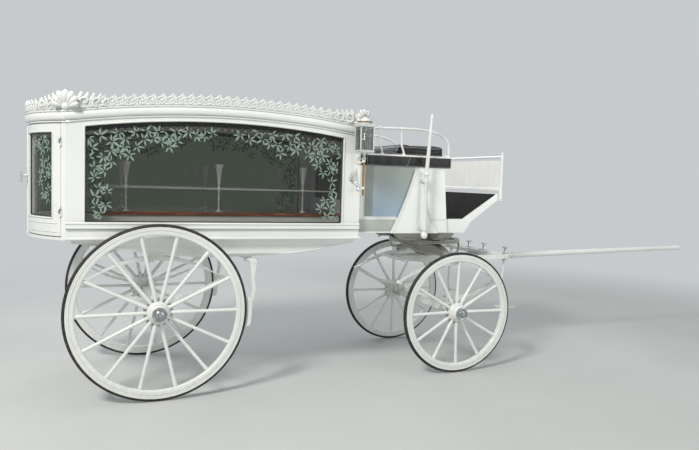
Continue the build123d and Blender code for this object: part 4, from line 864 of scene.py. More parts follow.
@dataclass(frozen=True)
class Textile(Finish):
    """Woven or twisted yarn: dull, with a thread relief and a soft sheen."""

    colour: str = "#2B2C24"
    light: str = "#4A4B3E"
    thread_mm: float = 2.4

    def surface(self, add: Adder, place: Socket) -> Inputs:
        """Crossed threads, drawn a little coarse so that they show.

        Args:
            add: adds a node to the material.
            place: the object coordinates, in metres.

        Returns:
            Socket name to what fills it.
        """
        thread = {"Vector": place, "Scale": 1000 / self.thread_mm / 6.3, "Distortion": 0.6}
        warp = add("TexWave", thread, bands_direction="DIAGONAL")
        weft = add("TexWave", thread, bands_direction="Z")
        weave = add("Math", {0: warp.outputs[1], 1: weft.outputs[1]}, operation="MULTIPLY")
        fleck = add("TexNoise", {"Vector": place, "Scale": 60.0, "Detail": 4.0})
        share = add("Math", {0: weave, 1: fleck}, operation="MULTIPLY")
        colour = add("Mix", {0: share, 6: self.colour, 7: self.light}, data_type="RGBA")
        bump = add("Bump", {"Height": weave, "Strength": 0.5, "Distance": 0.0008})
        return {"Base Color": colour.outputs[2], "Roughness": 0.85, "Normal": bump, "Sheen Weight": 0.3}


@dataclass(frozen=True)
class StudioFloor(Finish):
    """Pale painted floor that fades into the backdrop past a few metres."""

    colour: str = "#C9CBCB"
    cloudy: str = "#C2C4C4"
    fade: tuple[float, float] = (3.4, 8.5)

    def surface(self, add: Adder, place: Socket) -> Inputs:
        """Flat pale paint, clear at its rim.

        Args:
            add: adds a node to the material.
            place: the object coordinates, in metres.

        Returns:
            Socket name to what fills it.
        """
        cloud = add("TexNoise", {"Vector": place, "Scale": 0.7, "Detail": 4.0})
        tone = add("ValToRGB", {0: cloud}, stops=((0.3, self.cloudy), (0.7, self.colour)))
        reach = add("VectorMath", {0: place}, operation="LENGTH")
        near, far = self.fade
        cover = add(
            "MapRange", {0: reach.outputs[1], 1: near, 2: far, 3: 1.0, 4: 0.0},
            interpolation_type="SMOOTHSTEP",
        )
        return {"Base Color": tone, "Alpha": cover, "Roughness": 0.75, "Specular IOR Level": 0.2}


BODY_WHITE = CoachEnamel("coach_enamel_body")
# painted light: the dashboard is whiter than the body, with less corner shade, as its sunlit rear face
DASH_PAINTED_LIGHT = CoachEnamel("coach_enamel_dashboard", colour="#FAFBFA", corner_grime=0.25, peel_mm=30.0)
SKIRT_WHITE = CoachEnamel("coach_enamel_inner_sill", colour="#E9EEE4", corner_grime=0.3)
# painted shade: the boot's foot boards are painted mid-grey where they lie in shade
FOOT_PAINTED_SHADE = CoachEnamel("coach_enamel_boot_foot", colour="#A4ACA5", film="#7F857E", roughness=0.1)
TRIM_WHITE = CoachEnamel("coach_enamel_carving", colour="#EEF0EE", corner_grime=0.8, roughness=0.28)
# painted shade: dark grey-olive for the turntable plates and beds, which sit in deep shade under the boot
PLATE_PAINTED_SHADE = CoachEnamel(
    "greased_plate_enamel", colour="#A9A99D", film="#5E5C50", road_film=0.5, corner_grime=0.9, roughness=0.34,
)
GEAR_WHITE = CoachEnamel(
    "coach_enamel_running_gear", colour="#EDEFED", road_film=0.45, corner_grime=0.7, roughness=0.26,
)
# boot panel colours are a painted sky reflection
PANEL_PAINTED_SKY = GlossPanel(
    "coach_enamel_boot_panel", colour="#828E87", film="#6C7974", roughness=0.07, corner_grime=0.35,
)
# painted dark surroundings: the dark veil over the cabin and lamp glass stands in for dark surroundings seen
# through and reflected in the glass
PANE_PAINTED_DARK = FloatGlass("plate_glass", tint="#10170F", cover=0.24)
LAMP_PANE_PAINTED_DARK = FloatGlass("bevelled_lamp_glass", tint="#4A5853", cover=0.3)
FROST = AcidEtch("acid_etched_glass")
RUBBER = SolidRubber("solid_rubber_tyre")
MAT = SolidRubber("ribbed_rubber_mat", colour="#0B0B0B", dust="#232322", shine=0.12)
LEATHER = Hide("black_hide", colour="#131315", worn="#3A393D", roughness=0.36)
PIPING = Hide("hide_piping", colour="#6A6A66", worn="#A9A79C", grain_mm=2.0, roughness=0.3)
# lit and shaded copies of one mahogany: the deck top is painted dark as a painted reflection of dark
# surroundings, and the nosing painted bright as a sunlit edge
MAHOGANY_PAINTED_DARK = PaintedDeck("polished_mahogany_deck", pale="#4A2618", dark="#24100B", roughness=0.16)
EDGE_WOOD_PAINTED_LIGHT = Timber("polished_mahogany_edge", pale="#DE8A4C", dark="#A85C2C")
NICKEL = Plate("nickel_plate", colour="#E2E2DE", tarnish="#A9A9A4", roughness=0.2)
SATIN = CoachEnamel("silver_lacquer", colour="#E2E3E2", film="#8B8A82", roughness=0.16, corner_grime=0.9)
LAMP_CASE = CoachEnamel(
    "silver_grey_lamp_enamel", colour="#DDE0DF", film="#8E9390", roughness=0.16, corner_grime=0.8,
)
STEEL = Plate("dull_steel", colour="#9A9EA0", tarnish="#5E615F", roughness=0.32)
HUB_METAL = Plate("weathered_hub_cap", colour="#B9BDC1", tarnish="#75797B", roughness=0.2)
BRASS = Plate("lacquered_brass", colour="#B5874F", tarnish="#7A5A30", roughness=0.3)
SILVERED = Plate("silvered_reflector", colour="#D8DCDF", tarnish="#B0B4B6", roughness=0.08)
BRAID = Textile("fringe_braid")
TASSEL = Textile("fringe_tassel", colour="#B9B7A8", light="#E2E0D2", thread_mm=1.8)
GASKET = SolidRubber("glazing_rubber", colour="#1E201F", dust="#3A3C3A")


# ---- The carriage's own lines ----


@dataclass(frozen=True)
class Lines:
    """Sizes that several pieces share, in the carriage's frame."""

    half: float = 0.57
    rear: float = -0.611
    front: float = 1.555
    bow_depth: float = 0.261
    sill: float = 1.275
    eaves: tuple[float, float, float] = (1.959, 2.056, 1.981)
    glass_top: tuple[float, float, float] = (1.927, 2.008, 1.947)
    glass_rear: float = -0.487
    glass_front: float = 1.404
    arch_mid: float = 0.49
    door_glass: tuple[float, float] = (1.302, 1.88)
    door_stiles: tuple[float, float] = (0.14, 0.484)
    cornice: float = 0.07
    king: float = 2.475
    spring_y: float = 0.47
    door_skin: float = -0.0145
    bow_r: float = field(init=False)
    bow_x: float = field(init=False)

    def __post_init__(self) -> None:
        """Radius and centre of the rear bow, from its chord and depth."""
        radius = (self.half**2 + self.bow_depth**2) / (2 * self.bow_depth)
        object.__setattr__(self, "bow_r", radius)
        object.__setattr__(self, "bow_x", self.rear - self.bow_depth + radius)

    @property
    def length(self) -> float:
        """Length of the cabin's straight side."""
        return self.front - self.rear

    def round_bow(self, y: float) -> float:
        """Arc length round the bow from its middle to the half-width y."""
        return self.bow_r * np.arcsin(y / self.bow_r)

    def eaves_z(self, x: Array | float) -> Array:
        """Eaves over x: an arc over the cabin, level over the rear bow."""
        return arc_through(
            x, (self.rear, self.eaves[0]), (self.arch_mid, self.eaves[1]), (self.front, self.eaves[2]),
        )

    def glass_z(self, x: Array | float) -> Array:
        """Top of the side glass over x."""
        low, mid, top = self.glass_top
        return arc_through(x, (self.glass_rear, low), (self.arch_mid, mid), (self.glass_front, top))

    def plan(self, steps: int = 40) -> tuple[Array, Array]:
        """Plan of the cabin, anticlockwise from the right front corner.

        Args:
            steps: points along each side and round the bow.

        Returns:
            Points of shape (n, 2), and for each the way that it moves when
            the outline grows by one metre.
        """
        turn = np.arcsin(self.half / self.bow_r)
        a = span(np.pi + turn, np.pi - turn, steps)
        bow = np.stack([self.bow_x + self.bow_r * np.cos(a), self.bow_r * np.sin(a)], -1)
        out = np.stack([np.cos(a), np.sin(a)], -1)
        corner = (out[0] + [0, -1]) / (1 - out[0, 1])
        out[0], out[-1] = corner, corner * [1, -1]
        x = span(self.front, self.rear, steps)[:-1]
        right = np.stack([x, np.full(len(x), -self.half)], -1)
        away = np.tile([0.0, -1.0], (len(x), 1))
        away[0] = [1, -1]
        left, left_away = right[::-1] * [1, -1], away[::-1] * [1, -1]
        return np.vstack([right, bow, left]), np.vstack([away, out, left_away])

    def on_bow(self, across: Array, up: Array, out: Array | float) -> Array:
        """Points on the rear bow: arc length across, height, distance out.

        Args:
            across: arc length from the middle, to the left.
            up: height.
            out: distance out of the bow's face.

        Returns:
            Points, with x, y and z as their last axis.
        """
        radius = self.bow_r + out
        a = np.pi - across / self.bow_r
        return np.stack([self.bow_x + radius * np.cos(a), radius * np.sin(a), up + 0 * a], -1)


LINES = Lines()


# ---- Stage ----


@dataclass
class Studio:
    """Camera at the photograph's viewpoint, pale floor and soft lamps."""

    eye: tuple[float, float, float] = (-0.525, -5.399, 1.611)
    yaw: float = 22.5
    pitch: float = -3.83
    roll: float = 1.78
    focal_px: float = 655.0
    width_px: int = 699

    def camera(self) -> None:
        """Camera turned by yaw, then pitch, then roll."""
        yaw, pitch, roll = np.radians([self.yaw, self.pitch, self.roll])
        ahead = np.array([np.sin(yaw) * np.cos(pitch), np.cos(yaw) * np.cos(pitch), np.sin(pitch)])
        level = unit(np.cross(ahead, [0, 0, 1]))
        over = np.cross(level, ahead)
        right = np.cos(roll) * level + np.sin(roll) * over
        up = np.cross(right, ahead)
        data = bpy.data.cameras.new("viewpoint")
        data.lens = self.focal_px * data.sensor_width / self.width_px
        data.clip_end = 200.0
        eye = bpy.data.objects.new("viewpoint", data)
        turn = np.eye(4)
        turn[:3, 0], turn[:3, 1], turn[:3, 2] = right, up, -ahead
        turn[:3, 3] = self.eye + TO_ROW
        eye.matrix_world = Matrix(turn.tolist())
        bpy.context.scene.collection.objects.link(eye)
        bpy.context.scene.camera = eye

    def floor(self) -> None:
        """Wide round floor at the height that the tyres stand on."""
        r = np.array([0.0, 4.0, 12.0, 26.0])
        a = around(64)
        points = np.stack([np.outer(r, np.cos(a)), np.outer(r, np.sin(a)), np.zeros((4, 64))], -1)
        mesh = Shape().grid(points - TO_ROW, caps=False).mesh("studio_floor")
        if mesh.polygons[0].normal.z < 0:
            mesh.flip_normals()
        thing = bpy.data.objects.new("studio_floor", mesh)
        thing.data.materials.append(StudioFloor("painted_studio_floor").material())
        bpy.context.scene.collection.objects.link(thing)

    def lamp(self, name: str, place: Vec, aim: Vec, size: float, watts: float, tint: str = "#FFFFFF") -> None:
        """One square soft box.

        Args:
            name: its name.
            place: where it hangs.
            aim: what it points at.
            size: its side.
            watts: its power.
            tint: its colour.
        """
        data = bpy.data.lights.new(name, "AREA")
        data.size, data.energy, data.color = size, watts, linear(tint)[:3]
        thing = bpy.data.objects.new(name, data)
        thing.location = place
        thing.rotation_euler = (Vector(aim) - Vector(place)).to_track_quat("-Z", "Y").to_euler()
        bpy.context.scene.collection.objects.link(thing)

    def lights(self) -> None:
        """Key from the left of the camera, weaker fill, top and rim lamps, and sky.

        The sky shows darker behind two panes of glass than beside them, as
        dark surroundings would.
        """
        self.lamp("key", (-7.5, -5.5, 8.0), (-0.6, 0, 1.0), 2.0, 880, "#FFFBF4")
        self.lamp("fill", (4.5, -7.5, 3.0), (0.5, 0, 1.0), 5.0, 180, "#F6F9F5")
        self.lamp("top", (-0.5, 0.5, 7.5), (-0.5, 0, 0), 6.0, 110, "#FFFFFF")
        self.lamp("rim", (-2.0, 7.0, 5.0), (-0.5, 0, 1.0), 5.0, 170, "#F4F7FF")
        world = bpy.data.worlds.new("soft_sky")
        world.use_nodes = True
        tree = world.node_tree
        tree.nodes.clear()
        add = partial(put, tree)
        seen = add("LightPath").outputs
        clear = add("Math", {0: seen["Is Camera Ray"], 1: seen["Is Transmission Ray"]}, operation="MAXIMUM")
        any_seen = add("Math", {0: clear, 1: seen["Is Glossy Ray"]}, operation="MAXIMUM")
        light = add("Background", {0: "#DFE5E3", 1: 0.42})
        shown = add("Background", {0: "#C6CACC", 1: 1.0})
        behind = add("Background", {0: "#5E6A5A", 1: 1.0})
        panes = add("Math", {0: seen["Transparent Depth"], 1: 3.5}, operation="GREATER_THAN")
        view = add("MixShader", {0: panes, 1: shown, 2: behind})
        add("OutputWorld", {0: add("MixShader", {0: any_seen, 1: light, 2: view})})
        bpy.context.scene.world = world

    def build(self) -> None:
        """Set the stage."""
        bpy.context.scene.view_settings.view_transform = "Standard"
        self.camera()
        self.floor()
        self.lights()


def cad(node: str) -> tuple[Array, Array]:
    """Lowest and highest corner of a CAD node, in the carriage's frame."""
    low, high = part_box(node)
    return np.array(low) - TO_ROW, np.array(high) - TO_ROW


# ---- Wheels ----


@dataclass
class Wheel:
    """Dished wooden wheel: felloe, tapered spokes, turned hub, solid tyre."""

    place: str
    side: Side
    x: float
    y: float
    radius: float
    spokes: int
    first: float
    dish: float = 0.022
    rubber: float = 0.024
    felloe: float = 0.056
    width: float = 0.038
    bolt_ring: float = 0.0945

    @property
    def body(self) -> Body:
        """The body that turns with this wheel."""
        return Body[f"{self.place}_{self.side.name}".upper()]

    def at(self, r: Array, a: Array, out: Array) -> Array:
        """Points at radius r and angle a, out metres outward of the rim's plane.

        Args:
            r: distance from the axle.
            a: angle from the top, forwards.
            out: distance outward of the rim's plane.

        Returns:
            Points, with x, y and z as their last axis.
        """
        r, a, out = np.broadcast_arrays(r, a, out)
        y = self.side.value * (self.y + out)
        return np.stack([self.x + r * np.sin(a), y, self.radius + r * np.cos(a)], -1)

    def turned(self, profile: Outline, sides: int) -> Array:
        """Profile of radius and outward distance, turned about the axle."""
        r, out = np.asarray(profile, float).T
        return self.at(r[:, None], around(sides)[None], out[:, None])

    def rim(self) -> Array:
        """Felloe section about its own centre, with a lining groove in its outward face.

        Returns:
            Points of shape (n, 2).
        """
        section = round_rect(self.felloe, self.width, 0.009, 4)
        flat = np.isclose(section[:, 1], self.width / 2)
        start = int(np.flatnonzero(flat & np.roll(flat, -1))[0])
        hand = np.sign(section[(start + 1) % len(section), 0] - section[start, 0])
        groove = np.array([(-0.0036, 0.0), (-0.002, -0.0034), (0.002, -0.0034), (0.0036, 0.0)])
        return np.insert(section, start + 1, groove * [hand, 1] + [0.005, self.width / 2], axis=0)

    def woodwork(self) -> Shape:
        """Felloe, tyre channel, spokes and hub.

        A spoke is an oval section round the straight line from the hub to the
        rim. Its half-widths swell over the hub, neck in at a third of its
        length and swell a little again at the felloe.
        """
        wood = Shape()
        inner = self.radius - self.rubber - self.felloe
        wood.grid(self.turned(self.rim() + [inner + self.felloe / 2, 0], 112), wrap_u=True)
        channel = round_rect(0.01, self.width + 0.003, 0.0025, 3) + [self.radius - self.rubber - 0.002, 0]
        wood.grid(self.turned(channel, 128), wrap_u=True)
        t = span(0, 1, 18)
        share = [0.0, 0.1, 0.2, 0.34, 0.6, 0.86, 0.93, 1.0]
        tangent = np.interp(t, share, [0.014, 0.0155, 0.015, 0.0134, 0.0126, 0.013, 0.0146, 0.0148])
        axial = np.interp(t, share, [0.016, 0.0185, 0.0165, 0.0128, 0.0112, 0.0112, 0.0126, 0.0126])
        a = (np.arange(self.spokes) + self.first)[:, None, None] * TAU / self.spokes
        j = around(14)[None, None]
        root, tip = 0.07, inner + 0.004
        r = root + (tip - root) * t[None, :, None]
        out = -self.dish * (1 - t)[None, :, None] + axial[None, :, None] * np.sin(j)
        side = tangent[None, :, None] * np.cos(j)
        wood.grid(self.at(np.hypot(r, side), a + np.arctan2(side, r), out))
        hub = [
            (0.0, -0.104), (0.052, -0.104), (0.056, -0.1), (0.057, -0.075), (0.062, -0.06), (0.068, -0.052),
            (0.102, -0.0465), (0.1055, -0.0445), (0.106, -0.039), (0.1055, -0.0335), (0.102, -0.0315),
            (0.084, -0.031), (0.082, -0.029), (0.082, -0.002), (0.0805, 0.001), (0.0775, 0.0025),
            (0.0725, 0.006), (0.069, 0.013), (0.0675, 0.026), (0.065, 0.04), (0.0605, 0.048), (0.056, 0.053),
            (0.057, 0.056), (0.0555, 0.06), (0.0505, 0.062), (0.0, 0.062),
        ]
        wood.grid(self.turned(hub, 56))
        return wood

    def metalwork(self) -> Shape:
        """Hub cap with its collar and nut, and a bolt between every two spokes.

        Returns:
            The shape.
        """
        metal = Shape()
        cap = [
            (0.0, 0.058), (0.05, 0.058), (0.052, 0.0605), (0.052, 0.077), (0.05, 0.0805), (0.045, 0.0815),
            (0.04, 0.08), (0.0385, 0.076), (0.034, 0.0755), (0.033, 0.08), (0.029, 0.0845), (0.02, 0.088),
            (0.01, 0.0895), (0.0, 0.09),
        ]
        metal.grid(self.turned(cap, 48))
        nut = around(6)
        rings = [(0.02, 0.089), (0.02, 0.0945), (0.018, 0.097), (0.0, 0.0975)]
        metal.grid(np.stack([self.at(r, nut, o) for r, o in rings]))
        out = np.array([0, self.side.value, 0])
        for angle in (np.arange(self.spokes) + self.first + 0.5) * TAU / self.spokes:
            for face, way, height in ((-0.032, out, 0.01), (-0.047, -out, 0.006)):
                metal.grid(bolt(self.at(self.bolt_ring, angle, face), way, 0.0075, height))
        return metal

    def tyre(self) -> Shape:
        """Solid rubber: a bulging wall between the channel's lips and a round tread.

        Returns:
            The shape.
        """
        r, w = self.radius, 0.0165
        section = [
            (r - 0.025, -w + 0.002), (r - 0.017, -w - 0.0005), (r - 0.01, -w + 0.0005),
            (r - 0.004, -w + 0.005), (r - 0.001, -w + 0.011), (r, 0.0), (r - 0.001, w - 0.011),
            (r - 0.004, w - 0.005), (r - 0.01, w - 0.0005), (r - 0.017, w + 0.0005), (r - 0.025, w - 0.002),
        ]
        return Shape().grid(self.turned(section, 144), wrap_u=True)

    def build(self) -> None:
        """Make the wheel's three pieces."""
        tag = f"{self.place}_{{}}_{self.side.word}"
        self.woodwork().piece(tag.format("spoked_wheel"), GEAR_WHITE, self.body, [tag.format("wheel")])
        self.metalwork().piece(tag.format("hub_cap"), HUB_METAL, self.body, slot="bright_metal")
        self.tyre().piece(
            tag.format("solid_tyre"), RUBBER, self.body, [tag.format("tyre")], "rubber_tyre", crease=60,
        )


# ---- Roof and cresting ----


@dataclass
class Roof:
    """Moulded cornice round an arched, boarded roof."""

    profile: tuple[tuple[float, float], ...] = (
        (-0.03, -0.014), (0.004, -0.014), (0.0075, -0.0125), (0.009, -0.0085), (0.0075, -0.0045),
        (0.0035, -0.003), (0.003, 0.001), (0.011, 0.0015), (0.0155, 0.005), (0.019, 0.012), (0.0215, 0.022),
        (0.022, 0.032), (0.0205, 0.042), (0.0165, 0.05), (0.0125, 0.0535), (0.0125, 0.056), (0.018, 0.057),
        (0.02, 0.061), (0.019, 0.067), (0.015, 0.07), (-0.03, 0.07),
    )
    boards: int = 12

    def cornice(self) -> Shape:
        """Profile (out, up) carried round the plan, its height following the eaves.

        Returns:
            The shape.
        """
        points, away = LINES.plan(44)
        out, up = np.asarray(self.profile).T
        flat = points[:, None] + out[None, :, None] * away[:, None]
        z = LINES.eaves_z(points[:, 0])[:, None] + up[None]
        return Shape().grid(np.concatenate([flat, z[..., None]], -1), wrap_u=True)

    def deck(self) -> Shape:
        """Roof boards: z = eaves + cornice, with a shallow groove at each joint.

        The half-width over x is the cabin's, and inside the bow it is that of
        the circle through the bow.
        """
        rear = LINES.rear - LINES.bow_depth
        x = np.concatenate([
            rear + LINES.bow_depth * span(0, 1, 14)[:-1] ** 2, span(LINES.rear, LINES.front, 34),
        ])
        x[0] += 0.002
        half = np.where(
            x < LINES.rear, np.sqrt(np.maximum(LINES.bow_r**2 - (x - LINES.bow_x) ** 2, 1e-6)), LINES.half,
        )
        joint = np.arange(1, self.boards) / self.boards * 2 - 1
        v = np.unique(np.concatenate([[-1, 1], joint - 0.008, joint, joint + 0.008]))
        dip = np.where(np.isin(v, joint), 0.003, 0.0)
        y = half[:, None] * v
        crown = LINES.eaves_z(x)[:, None] + LINES.cornice - 0.003 - dip
        top = np.stack([np.broadcast_to(x[:, None], y.shape), y, crown], -1)
        under = np.stack([top[..., 0], y, np.broadcast_to(LINES.eaves_z(x)[:, None] + 0.045, y.shape)], -1)
        return Shape().grid(np.concatenate([top, under[:, ::-1]], 1))

    def build(self) -> None:
        """Make the cornice and the boards."""
        self.cornice().piece("cornice", BODY_WHITE, stands_for=["roof"])
        self.deck().piece("roof_boards", BODY_WHITE)


@dataclass
class Cresting:
    """Pierced cast cresting on the cornice, with a shell at each corner."""

    pitch: float = 0.0656
    height: float = 0.084

    def unit_grids(self, p: float) -> list[tuple[Array, bool]]:
        """One repeat, in (along, up, out) coordinates.

        A fin leans forward to a point over a pierced band: its top edge rises
        as (u / 0.72)^2.2 and falls as ((1 - u) / 0.28)^1.3. Under it stand two
        small rings, a bud and a fat crescent.

        Args:
            p: length of one repeat.

        Returns:
            Grids, each with whether its path is a loop.
        """
        u = np.array([0.005, 0.2, 0.42, 0.6, 0.72, 0.8, 0.9, 0.995])
        rise = np.where(u < 0.72, (u / 0.72) ** 2.2, np.maximum((1 - u) / 0.28, 0) ** 1.3)
        top = 0.05 + (self.height - 0.051) * rise
        foot = 0.041 + 0.003 * np.cos(TAU * u)
        edges = ((foot, -0.003), (foot, 0.003), (top, 0.003), (top, -0.003))
        fin = np.stack([stand(np.stack([p * u, h], -1), "z", out) for h, out in edges], 1)
        lip = stand(np.stack([p * u, top - 0.002], -1), "z", 0.001)
        turn = np.radians(span(185, 355, 9))
        cup = np.stack([0.5 * p + 0.0205 * np.cos(turn), 0.029 + 0.019 * np.sin(turn), 0 * turn + 0.002], -1)
        a = around(8)
        rings = [
            np.stack([c * p + 0.0098 * np.cos(a), 0.033 + 0.0092 * np.sin(a), 0 * a + 0.001], -1)
            for c in (0.24, 0.76)
        ]
        leaf = stand(curve([(0.36 * p, 0.045), (0.52 * p, 0.055), (0.66 * p, 0.073)], 5), "z", 0.003)
        bud = span((0.5 * p, 0.019, 0.002), (0.5 * p, 0.043, 0.002), 5)
        post = span((0, 0.004, 0), (0, 0.046, 0), 4)
        lens = np.sin(np.pi * span(0.06, 0.94, 5))
        return [
            (fin, False),
            (
                tube(lip, np.interp(u, [0, 0.5, 0.72, 1], [0.0052, 0.0056, 0.0026, 0.0046]), 6, flat=1.25),
                False,
            ),
            (tube(cup, 0.0025 + 0.0052 * np.sin(np.pi * span(0, 1, 9)), 6, flat=1.1), False),
            *((tube(ring, 0.0036, 5, closed=True, flat=1.2), True) for ring in rings),
            (tube(leaf, 0.0062 * lens, 5, flat=0.7), False), (tube(bud, 0.0064 * lens, 5), False),
            (tube(post, 0.0046, 5), False),
        ]

    def run(self, shape: Shape, place: Placer, length: float) -> None:
        """Lay repeats and a base rail along one edge of the roof.

        Args:
            shape: what they are added to.
            place: turns (along, up, out) into the carriage's frame.
            length: length of the edge.
        """
        count = int(round(length / self.pitch))
        p = length / count
        start = np.zeros((count, 1, 1, 3))
        start[:, 0, 0, 0] = np.arange(count) * p
        for grid, loop in self.unit_grids(p):
            shape.grid(place(grid[None] + start), wrap_u=loop)
        rail = span((0, 0.005, 0), (length, 0.005, 0), 40)
        shape.grid(place(tube(rail, 0.0055, 8, flat=1.1)))

    @staticmethod
    def scroll(
        centre: Vec, size: float, hand: int, fat: float, turns: float = 1.15, count: int = 24,
    ) -> Array:
        """Spiral that opens with its angle, in (along, up, out) coordinates.

        Args:
            centre: its middle, along and up.
            size: its outer radius.
            hand: 1 or -1, the way that it turns.
            fat: share of its usual girth.
            turns: how far it turns.
            count: points along it.

        Returns:
            Grid of shape (count, 7, 3).
        """
        t = span(0, 1, count)
        r, a = size * (0.14 + 0.86 * t), TAU * turns * t - np.pi / 2 - TAU * turns
        path = np.stack([centre[0] + hand * r * np.cos(a), centre[1] + r * np.sin(a), 0 * t], -1)
        return tube(path, fat * (0.0026 + 0.0028 * t * (1.5 - t)), 7, flat=1.4)

    def shell(self, shape: Shape, corner: Array, along: Array, out: Array, base: float) -> None:
        """Fan of nine lobes with scrolls at its foot, set across one corner.

        Args:
            shape: what it is added to.
            corner: plan point of the corner.
            along: plan direction of the fan's width.
            out: plan direction that it faces.
            base: height of its foot.
        """
        def place(q: Array) -> Array:
            """Stand the fan's (across, up, out) points on the corner."""
            flat = corner + q[..., :1] * along + q[..., 2:] * out
            return np.concatenate([flat, base + q[..., 1:2]], -1)

        lean = np.radians(span(-69, 69, 7))[:, None]
        t = span(0, 1, 10)[None]
        reach = 0.121 - 0.026 * np.clip(np.abs(lean) - 0.5, 0, 1) / 0.7
        r = 0.018 + (reach - 0.018) * t
        bulge = 0.014 * np.sin(np.pi * t) + 0.005 * t
        path = np.stack([r * np.sin(lean), 0.012 + r * np.cos(lean), bulge + 0 * r], -1)
        girth = np.interp(t[0], [0, 0.3, 0.72, 0.9, 1], [0.005, 0.011, 0.0195, 0.016, 0.005])
        shape.grid(place(tube(path, girth[None] * (1.12 - 0.1 * np.abs(lean)), 8, flat=0.6)))
        boss = lathe(
            [(0, 0.02), (0.014, 0.018), (0.024, 0.01), (0.028, 0.0), (0.024, -0.006), (0, -0.008)],
            (0, 0.024, 0), "z", 16,
        )
        shape.grid(place(boss))

    def flank(self, shape: Shape, place: Placer, start: float, hand: int) -> None:
        """Scrolls and leaves that step down from a shell along one run.

        Args:
            shape: what they are added to.
            place: the run's own placing.
            start: along-coordinate of the corner.
            hand: 1 where the run leads away with rising along, else -1.
        """
        girth = np.sin(np.pi * span(0.16, 0.93, 9)) ** 0.7
        for s, size, fat in ((0.118, 0.04, 2.1), (0.196, 0.033, 1.9), (0.258, 0.025, 1.5)):
            q = self.scroll((hand * s, size + 0.004), size, hand, fat)
            shape.grid(place(q + [start, 0, 0.004]))
        for s, tall, thick in (
            (0.092, 0.118, 0.015), (0.132, 0.108, 0.014), (0.172, 0.1, 0.0125), (0.214, 0.094, 0.011),
        ):
            blade = curve(
                [
                    (start + hand * (s - 0.022), 0.03), (start + hand * (s - 0.006), tall * 0.62),
                    (start + hand * (s + 0.01), tall * 0.96),
                ],
                9,
            )
            shape.grid(place(tube(stand(blade, "z", 0.001), thick * girth, 8, flat=0.55)))

    def build(self) -> None:
        """Make the four runs and the four corner shells."""
        shape = Shape()
        y = LINES.half + 0.015
        bow = LINES.round_bow(LINES.half)

        def beside(side: int) -> Placer:
            """The placing of a run along one side."""
            def place(q: Array) -> Array:
                """Stand (along, up, out) points on the eaves of the side."""
                x = LINES.rear + q[..., 0]
                return np.stack([x, side * (y + q[..., 2]), LINES.eaves_z(x) + LINES.cornice + q[..., 1]], -1)
            return place

        def rear(q: Array) -> Array:
            """Stand (along, up, out) points on the bow."""
            return LINES.on_bow(
                q[..., 0] - bow, LINES.eaves[0] + LINES.cornice + q[..., 1], 0.011 + q[..., 2],
            )

        def ahead(q: Array) -> Array:
            """Stand (along, up, out) points on the front eaves."""
            z = LINES.eaves[2] + LINES.cornice + q[..., 1]
            return np.stack([LINES.front + 0.01 + q[..., 2], q[..., 0] - LINES.half, z], -1)

        sides = [(beside(-1), LINES.length), (beside(1), LINES.length)]
        ends = [(rear, 2 * bow), (ahead, 2 * LINES.half)]
        for place, length in sides + ends:
            self.run(shape, place, length)
        shape.piece("cast_cresting", TRIM_WHITE, stands_for=["gallery"], crease=50)
        shells = Shape()
        for side in (-1, 1):
            for x, z, face in (
                (LINES.rear, LINES.eaves[0], (-0.35, side)),
                (LINES.front + 0.008, LINES.eaves[2], (0.5, side)),
            ):
                out = unit(np.array(face, float))
                along = np.array([out[1], -out[0]])
                self.shell(shells, np.array([x, side * y]), along, out, z + LINES.cornice)
        for place, length in sides + ends:
            self.flank(shells, place, 0.0, 1)
            self.flank(shells, place, length, -1)
        shells.piece("corner_shells", TRIM_WHITE, crease=50)


# ---- Cabin ----


